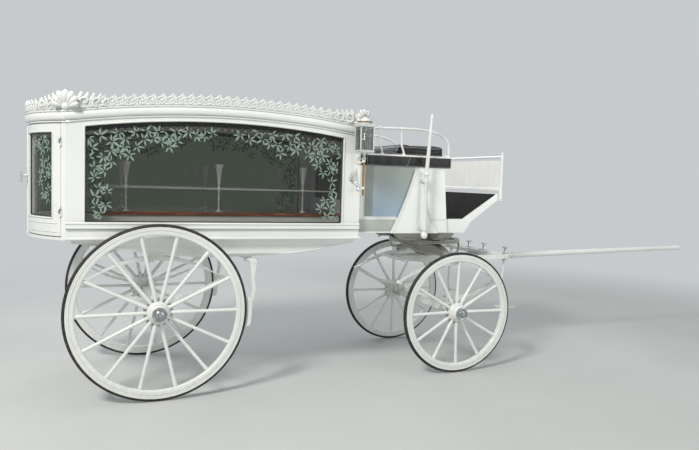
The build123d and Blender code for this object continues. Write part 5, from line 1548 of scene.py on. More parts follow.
@dataclass
class CabinTrim:
    """Mouldings, glazing beads and seals of the cabin and its doors."""

    bead: Outline = (
        (-0.005, -0.0035), (0.005, -0.0035), (0.006, 0.0), (0.0035, 0.0045), (-0.001, 0.0055),
        (-0.005, 0.003),
    )

    def opening(self, inset: float) -> Array:
        """Outline of the side glass, drawn in by inset, as (x, z) points.

        Args:
            inset: distance inside the glass edge.

        Returns:
            Closed outline of 239 points, the first one not repeated.
        """
        x = span(LINES.glass_front - inset, LINES.glass_rear + inset, 40)
        top = np.stack([x, LINES.glass_z(x) - inset], -1)
        foot = np.array([
            (LINES.glass_rear + inset, LINES.sill + inset), (LINES.glass_front - inset, LINES.sill + inset),
        ])
        return evened(np.vstack([top, foot]), 240)

    def beads(self) -> None:
        """Bead round each side window, and the black seal behind it."""
        beads, seals = Shape(), Shape()
        bead = np.array(self.bead)
        for side in (-1, 1):
            for shape, inset, depth, section in (
                (beads, -0.007, 0.5715, bead), (seals, 0.003, 0.5555, bead * 0.8),
            ):
                path = stand(self.opening(inset), "y", side * depth)
                shape.grid(sweep(path, section, closed=True, ref=(0, side, 0)), wrap_u=True)
        beads.piece("window_beads", BODY_WHITE)
        seals.piece("window_seals", GASKET, slot="rubber_tyre")

    def sills(self) -> None:
        """Nosing on the sill, bead under the band and the piped edge of the belly."""
        shape = Shape()
        a = span(-np.pi / 2, np.pi / 2, 9)
        strips = (
            (1.2665, 0.5835, 0.0085, 0.0055), (1.2345, 0.5835, 0.005, 0.0035), (1.2235, 0.57, 0.0032, 0.003),
            (1.159, 0.5815, 0.0095, 0.004),
        )
        run = [(0.017, 1.128), (0.082, 1.11), (0.196, 1.069), (0.292, 1.04), (0.424, 1.018), (0.511, 1.013),
            (0.713, 1.031), (0.807, 1.052), (0.928, 1.099), (0.983, 1.128)]
        for side in (-1, 1):
            for z, out, tall, deep in strips:
                section = np.vstack([
                    [(0.006, -tall), (0.006, tall)],
                    np.stack([-deep * np.cos(a), tall * np.sin(a)], -1)[::-1],
                ])
                path = span((LINES.rear + 0.001, side * out, z), (LINES.front - 0.001, side * out, z), 24)
                shape.grid(sweep(path, section * [side, 1]))
            keel = curve([(LINES.rear + s * LINES.length, z) for s, z in run], 60)
            drop = np.interp(keel[:, 1], [1.013, 1.038, 1.094, 1.15], [0.4915, 0.5245, 0.5285, 0.57])
            shape.grid(tube(stand(keel + [0, 0.003], "y", side * (drop + 0.001)), 0.0065, 10))
        shape.piece("body_mouldings", BODY_WHITE)

    def door(self, side: Side, body: Body) -> None:
        """Window bead, seal and closing strip of one door leaf, on the bow.

        Args:
            side: the leaf's side.
            body: the leaf's own body.
        """
        inner, outer = map(LINES.round_bow, LINES.door_stiles)
        low, high = LINES.door_glass
        beads, seals = Shape(), Shape()
        bead = np.array(self.bead)
        for shape, inset, out, section in (
            (beads, -0.006, 0.001, bead), (seals, 0.003, LINES.door_skin, bead * 0.8),
        ):
            s0, s1, z0, z1 = inner + inset, outer - inset, low + inset, high - inset
            loop = evened(np.array([(s0, z0), (s1, z0), (s1, z1), (s0, z1)]), 160)
            path = LINES.on_bow(side.value * loop[:, 0], loop[:, 1], out)
            away = unit(path - [LINES.bow_x, 0, 0] - path * [0, 0, 1])
            across = unit(np.cross(unit(np.roll(path, -1, 0) - np.roll(path, 1, 0)), away))
            shape.grid(
                path[:, None] + section[:, :1] * across[:, None] + section[:, 1:] * away[:, None],
                wrap_u=True,
            )
        if side is Side.RIGHT:
            strip = LINES.on_bow(np.full(12, side.value * 0.009), span(1.176, 1.937, 12), 0.001)
            beads.grid(tube(strip, 0.0075, 12, ref=(0, 1, 0), flat=1.3))
        for at in (1.2025, 1.2615):
            s = span(0.012, outer + 0.048, 24)
            beads.grid(tube(LINES.on_bow(side.value * s, np.full(24, at), 0.001), 0.0035, 8))
        beads.piece(f"door_mouldings_{side.word}", BODY_WHITE, body)
        seals.piece(f"door_seals_{side.word}", GASKET, body, slot="rubber_tyre")

    def handle(self) -> None:
        """Plated lever handle: turned rose, stem and a baluster grip."""
        y, z = -0.052, 1.58
        x = LINES.bow_x - np.sqrt(LINES.bow_r**2 - y**2)
        metal = Shape()
        rose = [
            (0.0, 0.004), (0.021, 0.004), (0.021, -0.001), (0.0195, -0.004), (0.012, -0.006), (0.01, -0.009),
            (0.0072, -0.014), (0.0068, -0.034), (0.0085, -0.038), (0.0085, -0.044), (0.0, -0.046),
        ]
        metal.grid(lathe(rose, (x, y, z), "x", 28))
        grip = [
            (0.0, -0.05), (0.0055, -0.048), (0.0078, -0.043), (0.007, -0.035), (0.0056, -0.026),
            (0.007, -0.012), (0.009, 0.0), (0.007, 0.012), (0.0056, 0.022), (0.007, 0.029), (0.0076, 0.034),
            (0.0055, 0.038), (0.0, 0.04),
        ]
        metal.grid(lathe(grip, (x - 0.044, y, z - 0.002), "z", 24))
        metal.piece("door_lever_handle", NICKEL, Body.RIGHT_DOOR, ["door_handle"], "bright_metal", crease=50)

    def build(self) -> None:
        """Make all the cabin's trim."""
        self.beads()
        self.sills()
        self.door(Side.RIGHT, Body.RIGHT_DOOR)
        self.door(Side.LEFT, Body.LEFT_DOOR)
        self.handle()


@dataclass
class Etching:
    """Garland of star sprays frosted on the outside of the glass."""

    seed: int = 11
    thick: float = 0.0002
    lift: float = 0.0003
    gap: float = 0.056

    def leaves(self, foot: Array, lean: Array, length: Array) -> Array:
        """Pointed leaves in (along, up, out) coordinates.

        A leaf is a flat lens: its half-width is sin(pi t)^0.8 (1 - t/3) of a
        fifth of its length, and its middle line bends a little downward.

        Args:
            foot: where each starts, shape (k, 2).
            lean: its direction in radians, shape (k,).
            length: its length, shape (k,).

        Returns:
            Grid of shape (k, 8, 4, 3).
        """
        t = span(0, 1, 8)[None, :]
        ahead = np.stack([np.cos(lean), np.sin(lean)], -1)[:, None]
        aside = np.stack([-np.sin(lean), np.cos(lean)], -1)[:, None]
        reach = length[:, None]
        spine = foot[:, None] + (reach * t)[..., None] * ahead - (0.12 * reach * t**2)[..., None] * aside
        half = reach * 0.165 * np.maximum(np.sin(np.pi * t), 0) ** 0.8 * (1 - t / 3)
        j = np.array([(1, 0), (0, 1), (-1, 0), (0, -1)], float)
        flat = spine[:, :, None] + (half[..., None] * j[:, 0])[..., None] * aside[:, :, None]
        out = np.broadcast_to(self.thick * j[:, 1], flat.shape[:-1])
        return np.concatenate([flat, out[..., None]], -1)

    def centres(self, wanted: Placer, low: Vec, high: Vec, rng: np.random.Generator) -> Array:
        """Points scattered in a region, none nearer to another than the gap.

        Args:
            wanted: tells which points lie in the region.
            low: lowest along and up.
            high: highest along and up.
            rng: seeded random numbers.

        Returns:
            Points of shape (k, 2).
        """
        tries = rng.uniform(low, high, (2600, 2))
        tries = tries[wanted(tries)]
        kept = tries[:1]
        for point in tries[1:]:
            if np.linalg.norm(kept - point, axis=1).min() > self.gap:
                kept = np.vstack([kept, point])
        return kept

    def stars(self, centres: Array, size: float, rng: np.random.Generator) -> Array:
        """Five leaves fanned about each point, the middle one longest.

        Args:
            centres: points of shape (n, 2).
            size: length of a leaf.
            rng: where the differences come from.

        Returns:
            Grids of the leaves, stacked.
        """
        aim = rng.uniform(0, TAU, len(centres))[:, None]
        fan = np.radians([-118, -58, 0, 58, 118])[None] + rng.uniform(-0.16, 0.16, (len(centres), 5))
        reach = size * np.array([[0.78, 0.95, 1.15, 0.95, 0.78]]) * rng.uniform(0.86, 1.12, (len(centres), 1))
        lean = aim + fan
        foot = centres[:, None] + 0.006 * np.stack([np.cos(lean), np.sin(lean)], -1)
        return self.leaves(foot.reshape(-1, 2), lean.ravel(), reach.ravel())

    def inside(self, grid: Array, top: Placer, edges: tuple[float, float, float]) -> Array:
        """The leaves that lie 10 mm or more inside the pane.

        Args:
            grid: stacked grids of the leaves.
            top: height of the pane's upper edge over its length.
            edges: the pane's two ends and its foot.

        Returns:
            The grids that are kept.
        """
        flat = grid[..., :2].reshape(len(grid), -1, 2)
        held = (flat[..., 0] > edges[0] + 0.01) & (flat[..., 0] < edges[1] - 0.01)
        held &= (flat[..., 1] > edges[2] + 0.01) & (flat[..., 1] < top(flat[..., 0]) - 0.01)
        return grid[held.all(1)]

    def build(self) -> None:
        """Etch both side panes and both door panes."""
        rng = np.random.default_rng(self.seed)
        glass_y = abs(cad("side_glass_right")[0][1]) + self.lift
        edges = (LINES.glass_rear, LINES.glass_front, LINES.sill)
        middle, half = (edges[0] + edges[1]) / 2, (edges[1] - edges[0]) / 2

        def swags(q: Array) -> Array:
            """Which points the garland of a side pane takes in."""
            side = half - np.abs(q[:, 0] - middle)
            down = LINES.glass_z(q[:, 0]) - q[:, 1]
            hanging = (side < 0.155 + 0.05 * np.sin(19 * q[:, 1])) & (side > 0.045)
            drop = 0.25 - 0.19 * (side / half) ** 1.3 + 0.03 * np.sin(23 * q[:, 0])
            along = (down < drop) & (side < 0.92 * half)
            return (hanging | along) & (down > 0.045)

        for side in Side:
            sprays = self.stars(
                self.centres(swags, (edges[0], edges[2] + 0.03), (edges[1], 2.01), rng), 0.05, rng,
            )
            grid = self.inside(sprays, LINES.glass_z, edges)
            points = np.stack([grid[..., 0], side.value * (glass_y + grid[..., 2]), grid[..., 1]], -1)
            Shape().grid(points).piece(f"etched_fronds_{side.word}", FROST, slot="clear_glass")
        inner, outer = map(LINES.round_bow, LINES.door_stiles)
        low, high = LINES.door_glass

        def corner(q: Array) -> Array:
            """Which points the outer corner of a door pane takes in."""
            side, down = outer - q[:, 0], high - q[:, 1]
            hanging = (side < 0.15 + 0.03 * np.sin(21 * q[:, 1])) & (down < 0.46)
            return hanging | ((down < 0.115) & (side < 0.27))

        for side, body in ((Side.RIGHT, Body.RIGHT_DOOR), (Side.LEFT, Body.LEFT_DOOR)):
            sprays = self.stars(self.centres(corner, (inner, 1.33), (outer - 0.035, 1.845), rng), 0.048, rng)
            grid = self.inside(sprays, lambda s: high, (inner, outer, low))
            out = LINES.door_skin + self.lift + grid[..., 2]
            points = LINES.on_bow(side.value * grid[..., 0], grid[..., 1], out)
            Shape().grid(points).piece(f"etched_door_fronds_{side.word}", FROST, body, slot="clear_glass")


@dataclass
class CabinInside:
    """Rail with vases on the deck, the deck's nosing and the fringe over the windows."""

    stations: tuple[float, ...] = (-0.205, 0.48, 1.165)
    deck_top: float = 1.341
    rail_z: float = 1.518
    floor: float = 1.189
    pitch: float = 0.05

    def rail(self, side: Side) -> None:
        """Bright rail on turned posts, each drawn up into a fluted trumpet vase.

        Args:
            side: the side of the deck.
        """
        y = side.value * 0.3
        metal = Shape()
        ends = [
            (0.0, -0.0105), (0.006, -0.0095), (0.0105, -0.004), (0.0105, 0.002), (0.0065, 0.008),
            (0.006, 0.011), (0.0, 0.012),
        ]
        for x, hand in ((-0.382, 1), (1.43, -1)):
            metal.grid(lathe(np.array(ends) * [1, hand], (x, y, self.rail_z), "x", 16))
        metal.grid(tube(span((-0.378, y, self.rail_z), (1.426, y, self.rail_z), 30), 0.0068, 14))
        metal.piece(
            f"deck_hand_rail_{side.word}", SATIN, stands_for=[f"deck_rail_{side.word}"], slot="bright_metal",
            crease=50,
        )
        metal = Shape()
        post = [
            (0, 0), (0.024, 0), (0.024, 0.003), (0.02, 0.006), (0.012, 0.01), (0.0085, 0.016), (0.0065, 0.03),
            (0.006, 0.088), (0.0088, 0.096), (0.0088, 0.102), (0.006, 0.11), (0.0058, 0.155), (0.01, 0.161),
            (0.0155, 0.167), (0.0165, 0.177), (0.0155, 0.187), (0.01, 0.193), (0.0075, 0.199),
            (0.0085, 0.204), (0.0105, 0.22), (0.015, 0.27), (0.0215, 0.32), (0.0285, 0.355), (0.032, 0.366),
            (0.0318, 0.3672), (0.0295, 0.3665), (0.0265, 0.352), (0.0195, 0.318), (0.013, 0.268),
            (0.008, 0.225), (0, 0.222),
        ]
        a = around(48)[None, :, None]
        for x in self.stations:
            centre = np.array([x, y, self.deck_top])
            turned = lathe(post, centre, "z", 48) - centre
            flute = 1 + 0.07 * np.cos(8 * a) * np.clip((turned[..., 2:] - 0.21) / 0.08, 0, 1)
            metal.grid(centre + turned * np.concatenate([flute, flute, np.ones_like(flute)], -1))
        metal.piece(f"deck_vases_{side.word}", SATIN, slot="bright_metal", crease=50)

    def nosing(self) -> None:
        """Half-round mahogany nosing round the deck."""
        middle, size = (-0.412 + 1.48) / 2, (1.892, 0.72)
        path = stand(evened(round_rect(*size, 0.03, 6) + [middle, 0], 200), "z", 1.326)
        a = span(-np.pi / 2, np.pi / 2, 9)
        section = np.vstack([
            [(-0.002, -0.0148)], np.stack([0.0075 * np.cos(a), 0.0148 * np.sin(a)], -1), [(-0.002, 0.0148)],
        ])
        Shape().grid(
            sweep(path, section, closed=True), wrap_u=True,
        ).piece("deck_nosing", EDGE_WOOD_PAINTED_LIGHT, slot="mahogany")

    def skirt(self) -> None:
        """Painted board under each edge of the deck, with a rounded lower lip."""
        shape = Shape()
        for side in (-1, 1):
            near, far = sorted((side * 0.345, side * 0.354))
            shape.grid(block((-0.395, near, self.floor), (1.465, far, 1.3108), 0.002))
            y, z = side * 0.355, self.floor + 0.008
            shape.grid(tube(span((-0.393, y, z), (1.463, y, z), 12), 0.005, 8))
        shape.piece("deck_skirts", SKIRT_WHITE)

    def fringe(self, side: Side) -> None:
        """Scalloped braid with a bobble at the foot of each scallop.

        Args:
            side: the window that it hangs over.
        """
        y = side.value * 0.536
        x = span(LINES.glass_rear + 0.004, LINES.glass_front - 0.004, 300)
        top = LINES.glass_z(x) - 0.001
        foot = top - 0.026 - 0.007 * np.abs(np.sin(np.pi * x / self.pitch))
        corners = ((-0.0015, top), (0.0015, top), (0.0015, foot), (-0.0015, foot))
        braid = np.stack([stand(np.stack([x, z], -1), "y", y + dy) for dy, z in corners], 1)
        at = (np.arange(np.ceil(x[0] / self.pitch), np.floor(x[-1] / self.pitch)) + 0.5) * self.pitch
        bobble = [
            (0, 0.0), (0.0011, -0.0005), (0.0012, -0.008), (0.0034, -0.0095), (0.0072, -0.0145),
            (0.008, -0.019), (0.0066, -0.0245), (0.0028, -0.028), (0, -0.0285),
        ]
        hung = stand(np.stack([at, LINES.glass_z(at) - 0.033], -1), "y", y)
        drops = lathe(bobble, (0, 0, 0), "z", 8) + hung[:, None, None]
        drop = Shape().grid(drops).piece(f"fringe_bobbles_{side.word}", TASSEL, slot="black_leather")
        strip = Shape().grid(braid).piece(f"fringe_braid_{side.word}", BRAID, slot="black_leather")

    def hinge_pins(self) -> None:
        """Plated pin with ball ends in each door hinge."""
        pin = [
            (0, -0.0235), (0.003, -0.0225), (0.0045, -0.02), (0.003, -0.0178), (0.0066, -0.0172),
            (0.0066, 0.0172), (0.003, 0.0178), (0.0045, 0.02), (0.003, 0.0225), (0, 0.0235),
        ]
        joints = {j["name"]: j["pos_m"] for j in frame["joints"]}
        metal = Shape()
        for name in ("right_door_hinge", "left_door_hinge"):
            x, y, _ = joints[name]
            for z in (1.345, 1.822):
                metal.grid(lathe(pin, (x - AXLE_X, y, z), "z", 14))
        metal.piece("door_hinge_pins", STEEL, slot="bright_metal")

    def build(self) -> None:
        """Make the fittings inside the cabin."""
        for side in Side:
            self.rail(side)
            self.fringe(side)
        self.nosing()
        self.skirt()
        self.hinge_pins()


# ---- Lamps ----


@dataclass
class Lamp:
    """Square coach lamp on a brass stem, held out from the front post."""

    side: Side
    x: float = 1.535
    out: float = 0.68

    @property
    def y(self) -> float:
        """Its distance from the centre line, with the side's sign."""
        return self.side.value * self.out

    def turned(self, profile: Outline, sides: int) -> Array:
        """Profile turned about the lamp's axis."""
        return lathe(profile, (self.x, self.y, 0), "z", sides)

    def slab(self, half: float, low: float, high: float, edge: float = 0.002) -> Array:
        """Square slab about the lamp's axis."""
        return block((self.x - half, self.y - half, low), (self.x + half, self.y + half, high), edge)

    def case(self) -> None:
        """Tray, bars, upper ring and round vented cap."""
        shape = Shape()
        for half, low, high in (
            (0.06, 1.834, 1.842), (0.0635, 1.841, 1.849), (0.057, 1.848, 1.856), (0.0635, 2.033, 2.041),
            (0.065, 2.04, 2.049), (0.059, 2.048, 2.057),
        ):
            shape.grid(self.slab(half, low, high, 0.003))
        for dx in (-1, 1):
            for dy in (-1, 1):
                x, y = self.x + dx * 0.0545, self.y + dy * 0.0545
                shape.grid(block((x - 0.005, y - 0.005, 1.852), (x + 0.005, y + 0.005, 2.036), 0.0025))
        cap = [
            (0, 2.056), (0.058, 2.056), (0.0585, 2.06), (0.052, 2.063), (0.0505, 2.072), (0.056, 2.0745),
            (0.0575, 2.078), (0.056, 2.0815), (0.049, 2.087), (0.036, 2.096), (0.022, 2.104), (0.013, 2.1095),
            (0.0095, 2.114), (0.0085, 2.1165), (0, 2.1165),
        ]
        shape.grid(self.turned(cap, 36))
        for a in around(12):
            at = np.array([self.x + 0.0508 * np.cos(a), self.y + 0.0508 * np.sin(a), 2.0675])
            shape.grid(turned_box(at, (0.003, 0.006, 0.006), 0.001, (np.cos(a), np.sin(a), 0)))
        shape.piece(f"lamp_case_{self.side.word}", LAMP_CASE, stands_for=[f"lamp_{self.side.word}"])

    def brasswork(self) -> None:
        """Finial, stem with its knops, and the dark bars on each glass."""
        brass = Shape()
        knob = [
            (0, 2.116), (0.0085, 2.116), (0.006, 2.1185), (0.0085, 2.1215), (0.009, 2.1255), (0.0065, 2.1305),
            (0.0025, 2.1335), (0, 2.1338),
        ]
        brass.grid(self.turned(knob, 18))
        brass.grid(self.turned(
            [(0.048, 2.0735), (0.0592, 2.074), (0.06, 2.0765), (0.0592, 2.079), (0.048, 2.0795)], 36,
        ))
        stem = [
            (0, 1.5), (0.0055, 1.5015), (0.0085, 1.507), (0.006, 1.514), (0.0098, 1.52), (0.0092, 1.528),
            (0.0092, 1.76), (0, 1.76),
        ]
        brass.grid(self.turned(stem, 24))
        socket = [
            (0, 1.759), (0.0115, 1.76), (0.0125, 1.764), (0.0115, 1.782), (0.017, 1.786), (0.0185, 1.793),
            (0.016, 1.8), (0.011, 1.804), (0.012, 1.815), (0.018, 1.825), (0.024, 1.832), (0.024, 1.8345),
            (0, 1.8345),
        ]
        Shape().grid(self.turned(socket, 24)).piece(
            f"lamp_socket_{self.side.word}", NICKEL, slot="bright_metal", crease=50,
        )
        brass.piece(f"lamp_stem_{self.side.word}", BRASS, slot="bright_metal", crease=50)
        bars = Shape()
        for turn in range(4):
            c, s = np.cos(turn * np.pi / 2), np.sin(turn * np.pi / 2)
            for share in (-0.019, 0.019):
                at = (self.x + 0.0565 * c - share * s, self.y + 0.0565 * s + share * c, 1.9445)
                bars.grid(turned_box(at, (0.0035, 0.0055, 0.179), 0.0012, (c, s, 0)))
        bars.piece(f"lamp_bars_{self.side.word}", STEEL, slot="bright_metal")

    def burner(self) -> None:
        """Candle tube and the dished reflector behind it."""
        inside = Shape()
        candle = [
            (0, 1.8545), (0.022, 1.8545), (0.022, 1.858), (0.014, 1.864), (0.0125, 1.869), (0.0125, 1.931),
            (0.0138, 1.936), (0.0118, 1.941), (0.0108, 1.9425), (0.0105, 1.986), (0.0085, 1.989),
            (0.0016, 1.9895), (0.0012, 2.0), (0, 2.0005),
        ]
        inside.grid(self.turned(candle, 20))
        r = span(0, 1, 7)
        dish = np.concatenate([
            np.stack([0.042 * r, 0.036 - 0.016 * r**2], -1),
            np.stack([0.042 * r, 0.0375 - 0.016 * r**2], -1)[::-1],
        ])
        inside.grid(lathe(dish * [1, -self.side.value], (self.x, self.y, 1.95), "y", 28))
        inside.piece(f"lamp_burner_{self.side.word}", SILVERED, slot="bright_metal", crease=50)

    def bracket(self) -> None:
        """Two scrolled arms on plates that are bolted to the post, each arm ending in a ring for the stem."""
        shape = Shape()
        s = self.side.value
        turn = span(0, 1, 20)
        for z in (1.56, 1.77):
            shape.grid(turned_box((self.x, s * 0.5725, z), (0.034, 0.05, 0.006), 0.002, z_dir=(0, s, 0)))
            arm = curve(
                [(s * 0.572, z - 0.004), (s * 0.6, z - 0.013), (s * 0.64, z - 0.009), (s * 0.679, z)], 16,
            )
            shape.grid(tube(
                stand(arm, "x", self.x), np.interp(span(0, 1, 16), [0, 0.5, 1], [0.0085, 0.0065, 0.0085]), 12,
                ref=(1, 0, 0),
            ))
            for centre, size, hand in (
                ((s * 0.603, z + 0.02), 0.024, s), ((s * 0.648, z + 0.016), 0.017, -s),
            ):
                r, a = size * (0.16 + 0.84 * turn), TAU * 1.25 * turn + np.pi
                spiral = np.stack([centre[0] + hand * r * np.cos(a), centre[1] + r * np.sin(a)], -1)
                shape.grid(tube(stand(spiral, "x", self.x), 0.0028 + 0.002 * turn, 8, ref=(1, 0, 0)))
            for dz in (0.017, -0.017):
                shape.grid(bolt((self.x, s * 0.5755, z + dz), (0, s, 0), 0.006, 0.004))
            ring = [(0.0085, -0.01), (0.0125, -0.009), (0.0135, 0.0), (0.0125, 0.009), (0.0085, 0.01)]
            shape.grid(lathe(ring, (self.x, s * 0.68, z), "z", 20))
        shape.piece(f"lamp_bracket_{self.side.word}", TRIM_WHITE, crease=50)

    def fan(self) -> None:
        """Plated leaf of six ribs on the post, spread from a boss beside the stem; its grey ribs are painted
        shadow, standing in for stripes of cast shadow on the white post.

        A rib runs along t from the boss, t * reach along its lean less
        0.1 t^2 of the reach downward, and swells by the sine of t.
        """
        shape, s, t = Shape(), self.side.value, span(0, 1, 11)
        for k, lean in enumerate(np.radians(span(94, 146, 6))):
            reach = 0.152 - 0.013 * k
            rib = np.stack([reach * t * np.cos(lean), reach * (t * np.sin(lean) - 0.1 * t**2)], -1)
            shape.grid(tube(
                stand(rib + [self.x - 0.008, 1.582], "y", s * 0.5755),
                0.006 * np.sin(np.pi * span(0.12, 0.97, 11)), 8, ref=(0, 1, 0), flat=0.6,
            ))
        boss = np.array([
            (0.0, 0.569), (0.015, 0.569), (0.0155, 0.5745), (0.0125, 0.579), (0.006, 0.5815), (0.0, 0.582),
        ])
        shape.grid(lathe(boss * [1, s], (self.x - 0.006, 0, 1.582), "y", 20))
        # grey ribs are painted shadow on the post
        shape.piece(f"lamp_fan_{self.side.word}", NICKEL, slot="bright_metal", crease=50)

    def build(self) -> None:
        """Make the lamp's pieces; the CAD panes stay."""
        self.case()
        self.brasswork()
        self.burner()
        self.bracket()
        self.fan()


# ---- Boot, seat and boards ----


@dataclass
class Boot:
    """Finish of the boot: glossy sunk panels, beads and the leather valance."""

    panel: tuple[float, float, float] = (1.6275, 1.3245, 1.7445)

    @staticmethod
    def rear_edge(z: Array) -> Array:
        """Where the flared bracket's rear edge stands over z, an arc."""
        return arc_through(z, (1.19, 1.872), (1.405, 1.972), (1.705, 2.08))

    @staticmethod
    def fore_edge(z: Array) -> Array:
        """Where the flared bracket's fore edge stands over z, an arc."""
        return -arc_through(z, (1.19, -2.322), (1.425, -2.19), (1.705, -2.162))

    @staticmethod
    def board(x: Array, z: Array, side: int, face: float = 0.5006, back: float = 0.4912) -> Array:
        """Thin board on one side of the boot: its face, and the same points again behind.

        Args:
            x: grid of places along the boot, one row for each height.
            z: heights of the rows.
            side: sign of y.
            face: distance of its face from the centre line.
            back: distance of its back.

        Returns:
            Grid of shape (rows, 2 columns, 3).
        """
        front = np.stack([x, np.full_like(x, side * face), np.broadcast_to(z[:, None], x.shape)], -1)
        return np.concatenate([front, front[:, ::-1] * [1, 0, 1] + [0, side * back, 0]], 1)

    def panels(self) -> None:
        """Gloss panel with a painted sky reflection behind the flared bracket on each side, and the board
        under it in painted shade grey.
        """
        u = span(0, 1, 14)[None]
        upper, foot = Shape(), Shape()
        rows = (
            (upper, *self.panel, 16, 0.006, (0.5008, 0.491)),
            (foot, 1.566, 1.203, 1.301, 6, -0.006, (0.5006, 0.4912)),
        )
        for shape, start, low, high, count, past, faces in rows:
            z = span(low, high, count)
            x = start + (self.rear_edge(z)[:, None] + past - start) * u
            for side in (-1, 1):
                shape.grid(self.board(x, z, side, *faces))
        upper.piece("boot_gloss_panels", PANEL_PAINTED_SKY)
        # the foot boards' grey is painted shade
        foot.piece("boot_foot_boards", FOOT_PAINTED_SHADE)

    def beads(self) -> None:
        """Bead round each sunk panel, edge bead of the bracket and the corner pillars."""
        shape = Shape()
        for side in (-1, 1):
            flat = bends([(1.6255, 1.74), (1.6255, 1.3225), (1.925, 1.3225)], 0.006, 4)
            shape.grid(tube(stand(flat, "y", side * 0.5005), 0.0042, 8, ref=(0, 1, 0)))
            z = span(1.3195, 1.708, 16)
            near, far = self.fore_edge(z)[:, None] - 0.01, 2.343 - (z[:, None] - 1.322) * 0.0653
            shape.grid(self.board(near + (far - near) * span(0, 1, 6)[None], z, side))
            z = span(1.193, 1.702, 30)
            for x in (self.rear_edge(z) + 0.004, self.fore_edge(z) - 0.004):
                shape.grid(tube(stand(np.stack([x, z], -1), "y", side * 0.528), 0.0045, 10, ref=(0, 1, 0)))
            for z, girth, sides in ((1.196, 0.006, 10), (1.306, 0.004, 8)):
                shape.grid(tube(span((1.562, side * 0.4995, z), (2.405, side * 0.4995, z), 20), girth, sides))
        shape.piece("boot_mouldings", BODY_WHITE)

    def valance(self) -> None:
        """Leather-covered seat box with piped edges and a diagonal seam on each side."""
        low, high = cad("seat_box")
        low, high = low + [0.0006, 0.0006, 0], high - [0.0006, 0.0006, 0]
        box = block(low, high, 0.004, 0.012)
        rows = np.concatenate([
            box[:4], box[3] + (box[4] - box[3]) * span(0, 1, 8)[1:-1, None, None], box[4:],
        ])
        ring = round_rect(high[0] - low[0], high[1] - low[1], 0.012)
        middle = (low + high) / 2
        dense = np.stack([evened(row, 260) for row in rows])
        rise = (dense[..., 2] - low[2]) / (high[2] - low[2])
        away = unit((dense - middle) / (high - low) * [1, 1, 0])
        full = np.sin(np.pi * np.clip(rise, 0, 1))
        puff = 0.003 * full + 0.0018 * np.sin(dense[..., 0] * 61 + dense[..., 1] * 47) * full
        leather = Shape().grid(dense + away * (puff - 0.003)[..., None])
        leather.piece("seat_valance", LEATHER, stands_for=["seat_box"], slot="black_leather")
        cord = Shape()
        loop = evened(ring, 220) + middle[:2]
        for z in (low[2] + 0.0045, high[2] - 0.0045):
            cord.grid(tube(stand(loop, "z", z), 0.0045, 8, closed=True), wrap_u=True)
        for side in (-1, 1):
            y = side * (high[1] - 0.0002)
            seam = curve([(2.034, high[2] - 0.004), (2.022, high[2] - 0.04), (2.006, low[2] + 0.004)], 14)
            cord.grid(tube(stand(seam, "y", y), 0.0042, 8, ref=(0, 1, 0)))
            for x in (low[0] + 0.0015, high[0] - 0.0015):
                foot, top = (x, y - side * 0.0015, low[2] + 0.003), (x, y - side * 0.0015, high[2] - 0.003)
                post = span(foot, top, 8)
                cord.grid(tube(post, 0.0042, 8, ref=(0, 1, 0)))
        cord.piece("valance_piping", PIPING, slot="black_leather")

    def build(self) -> None:
        """Make the boot's finish."""
        self.panels()
        self.beads()
        self.valance()


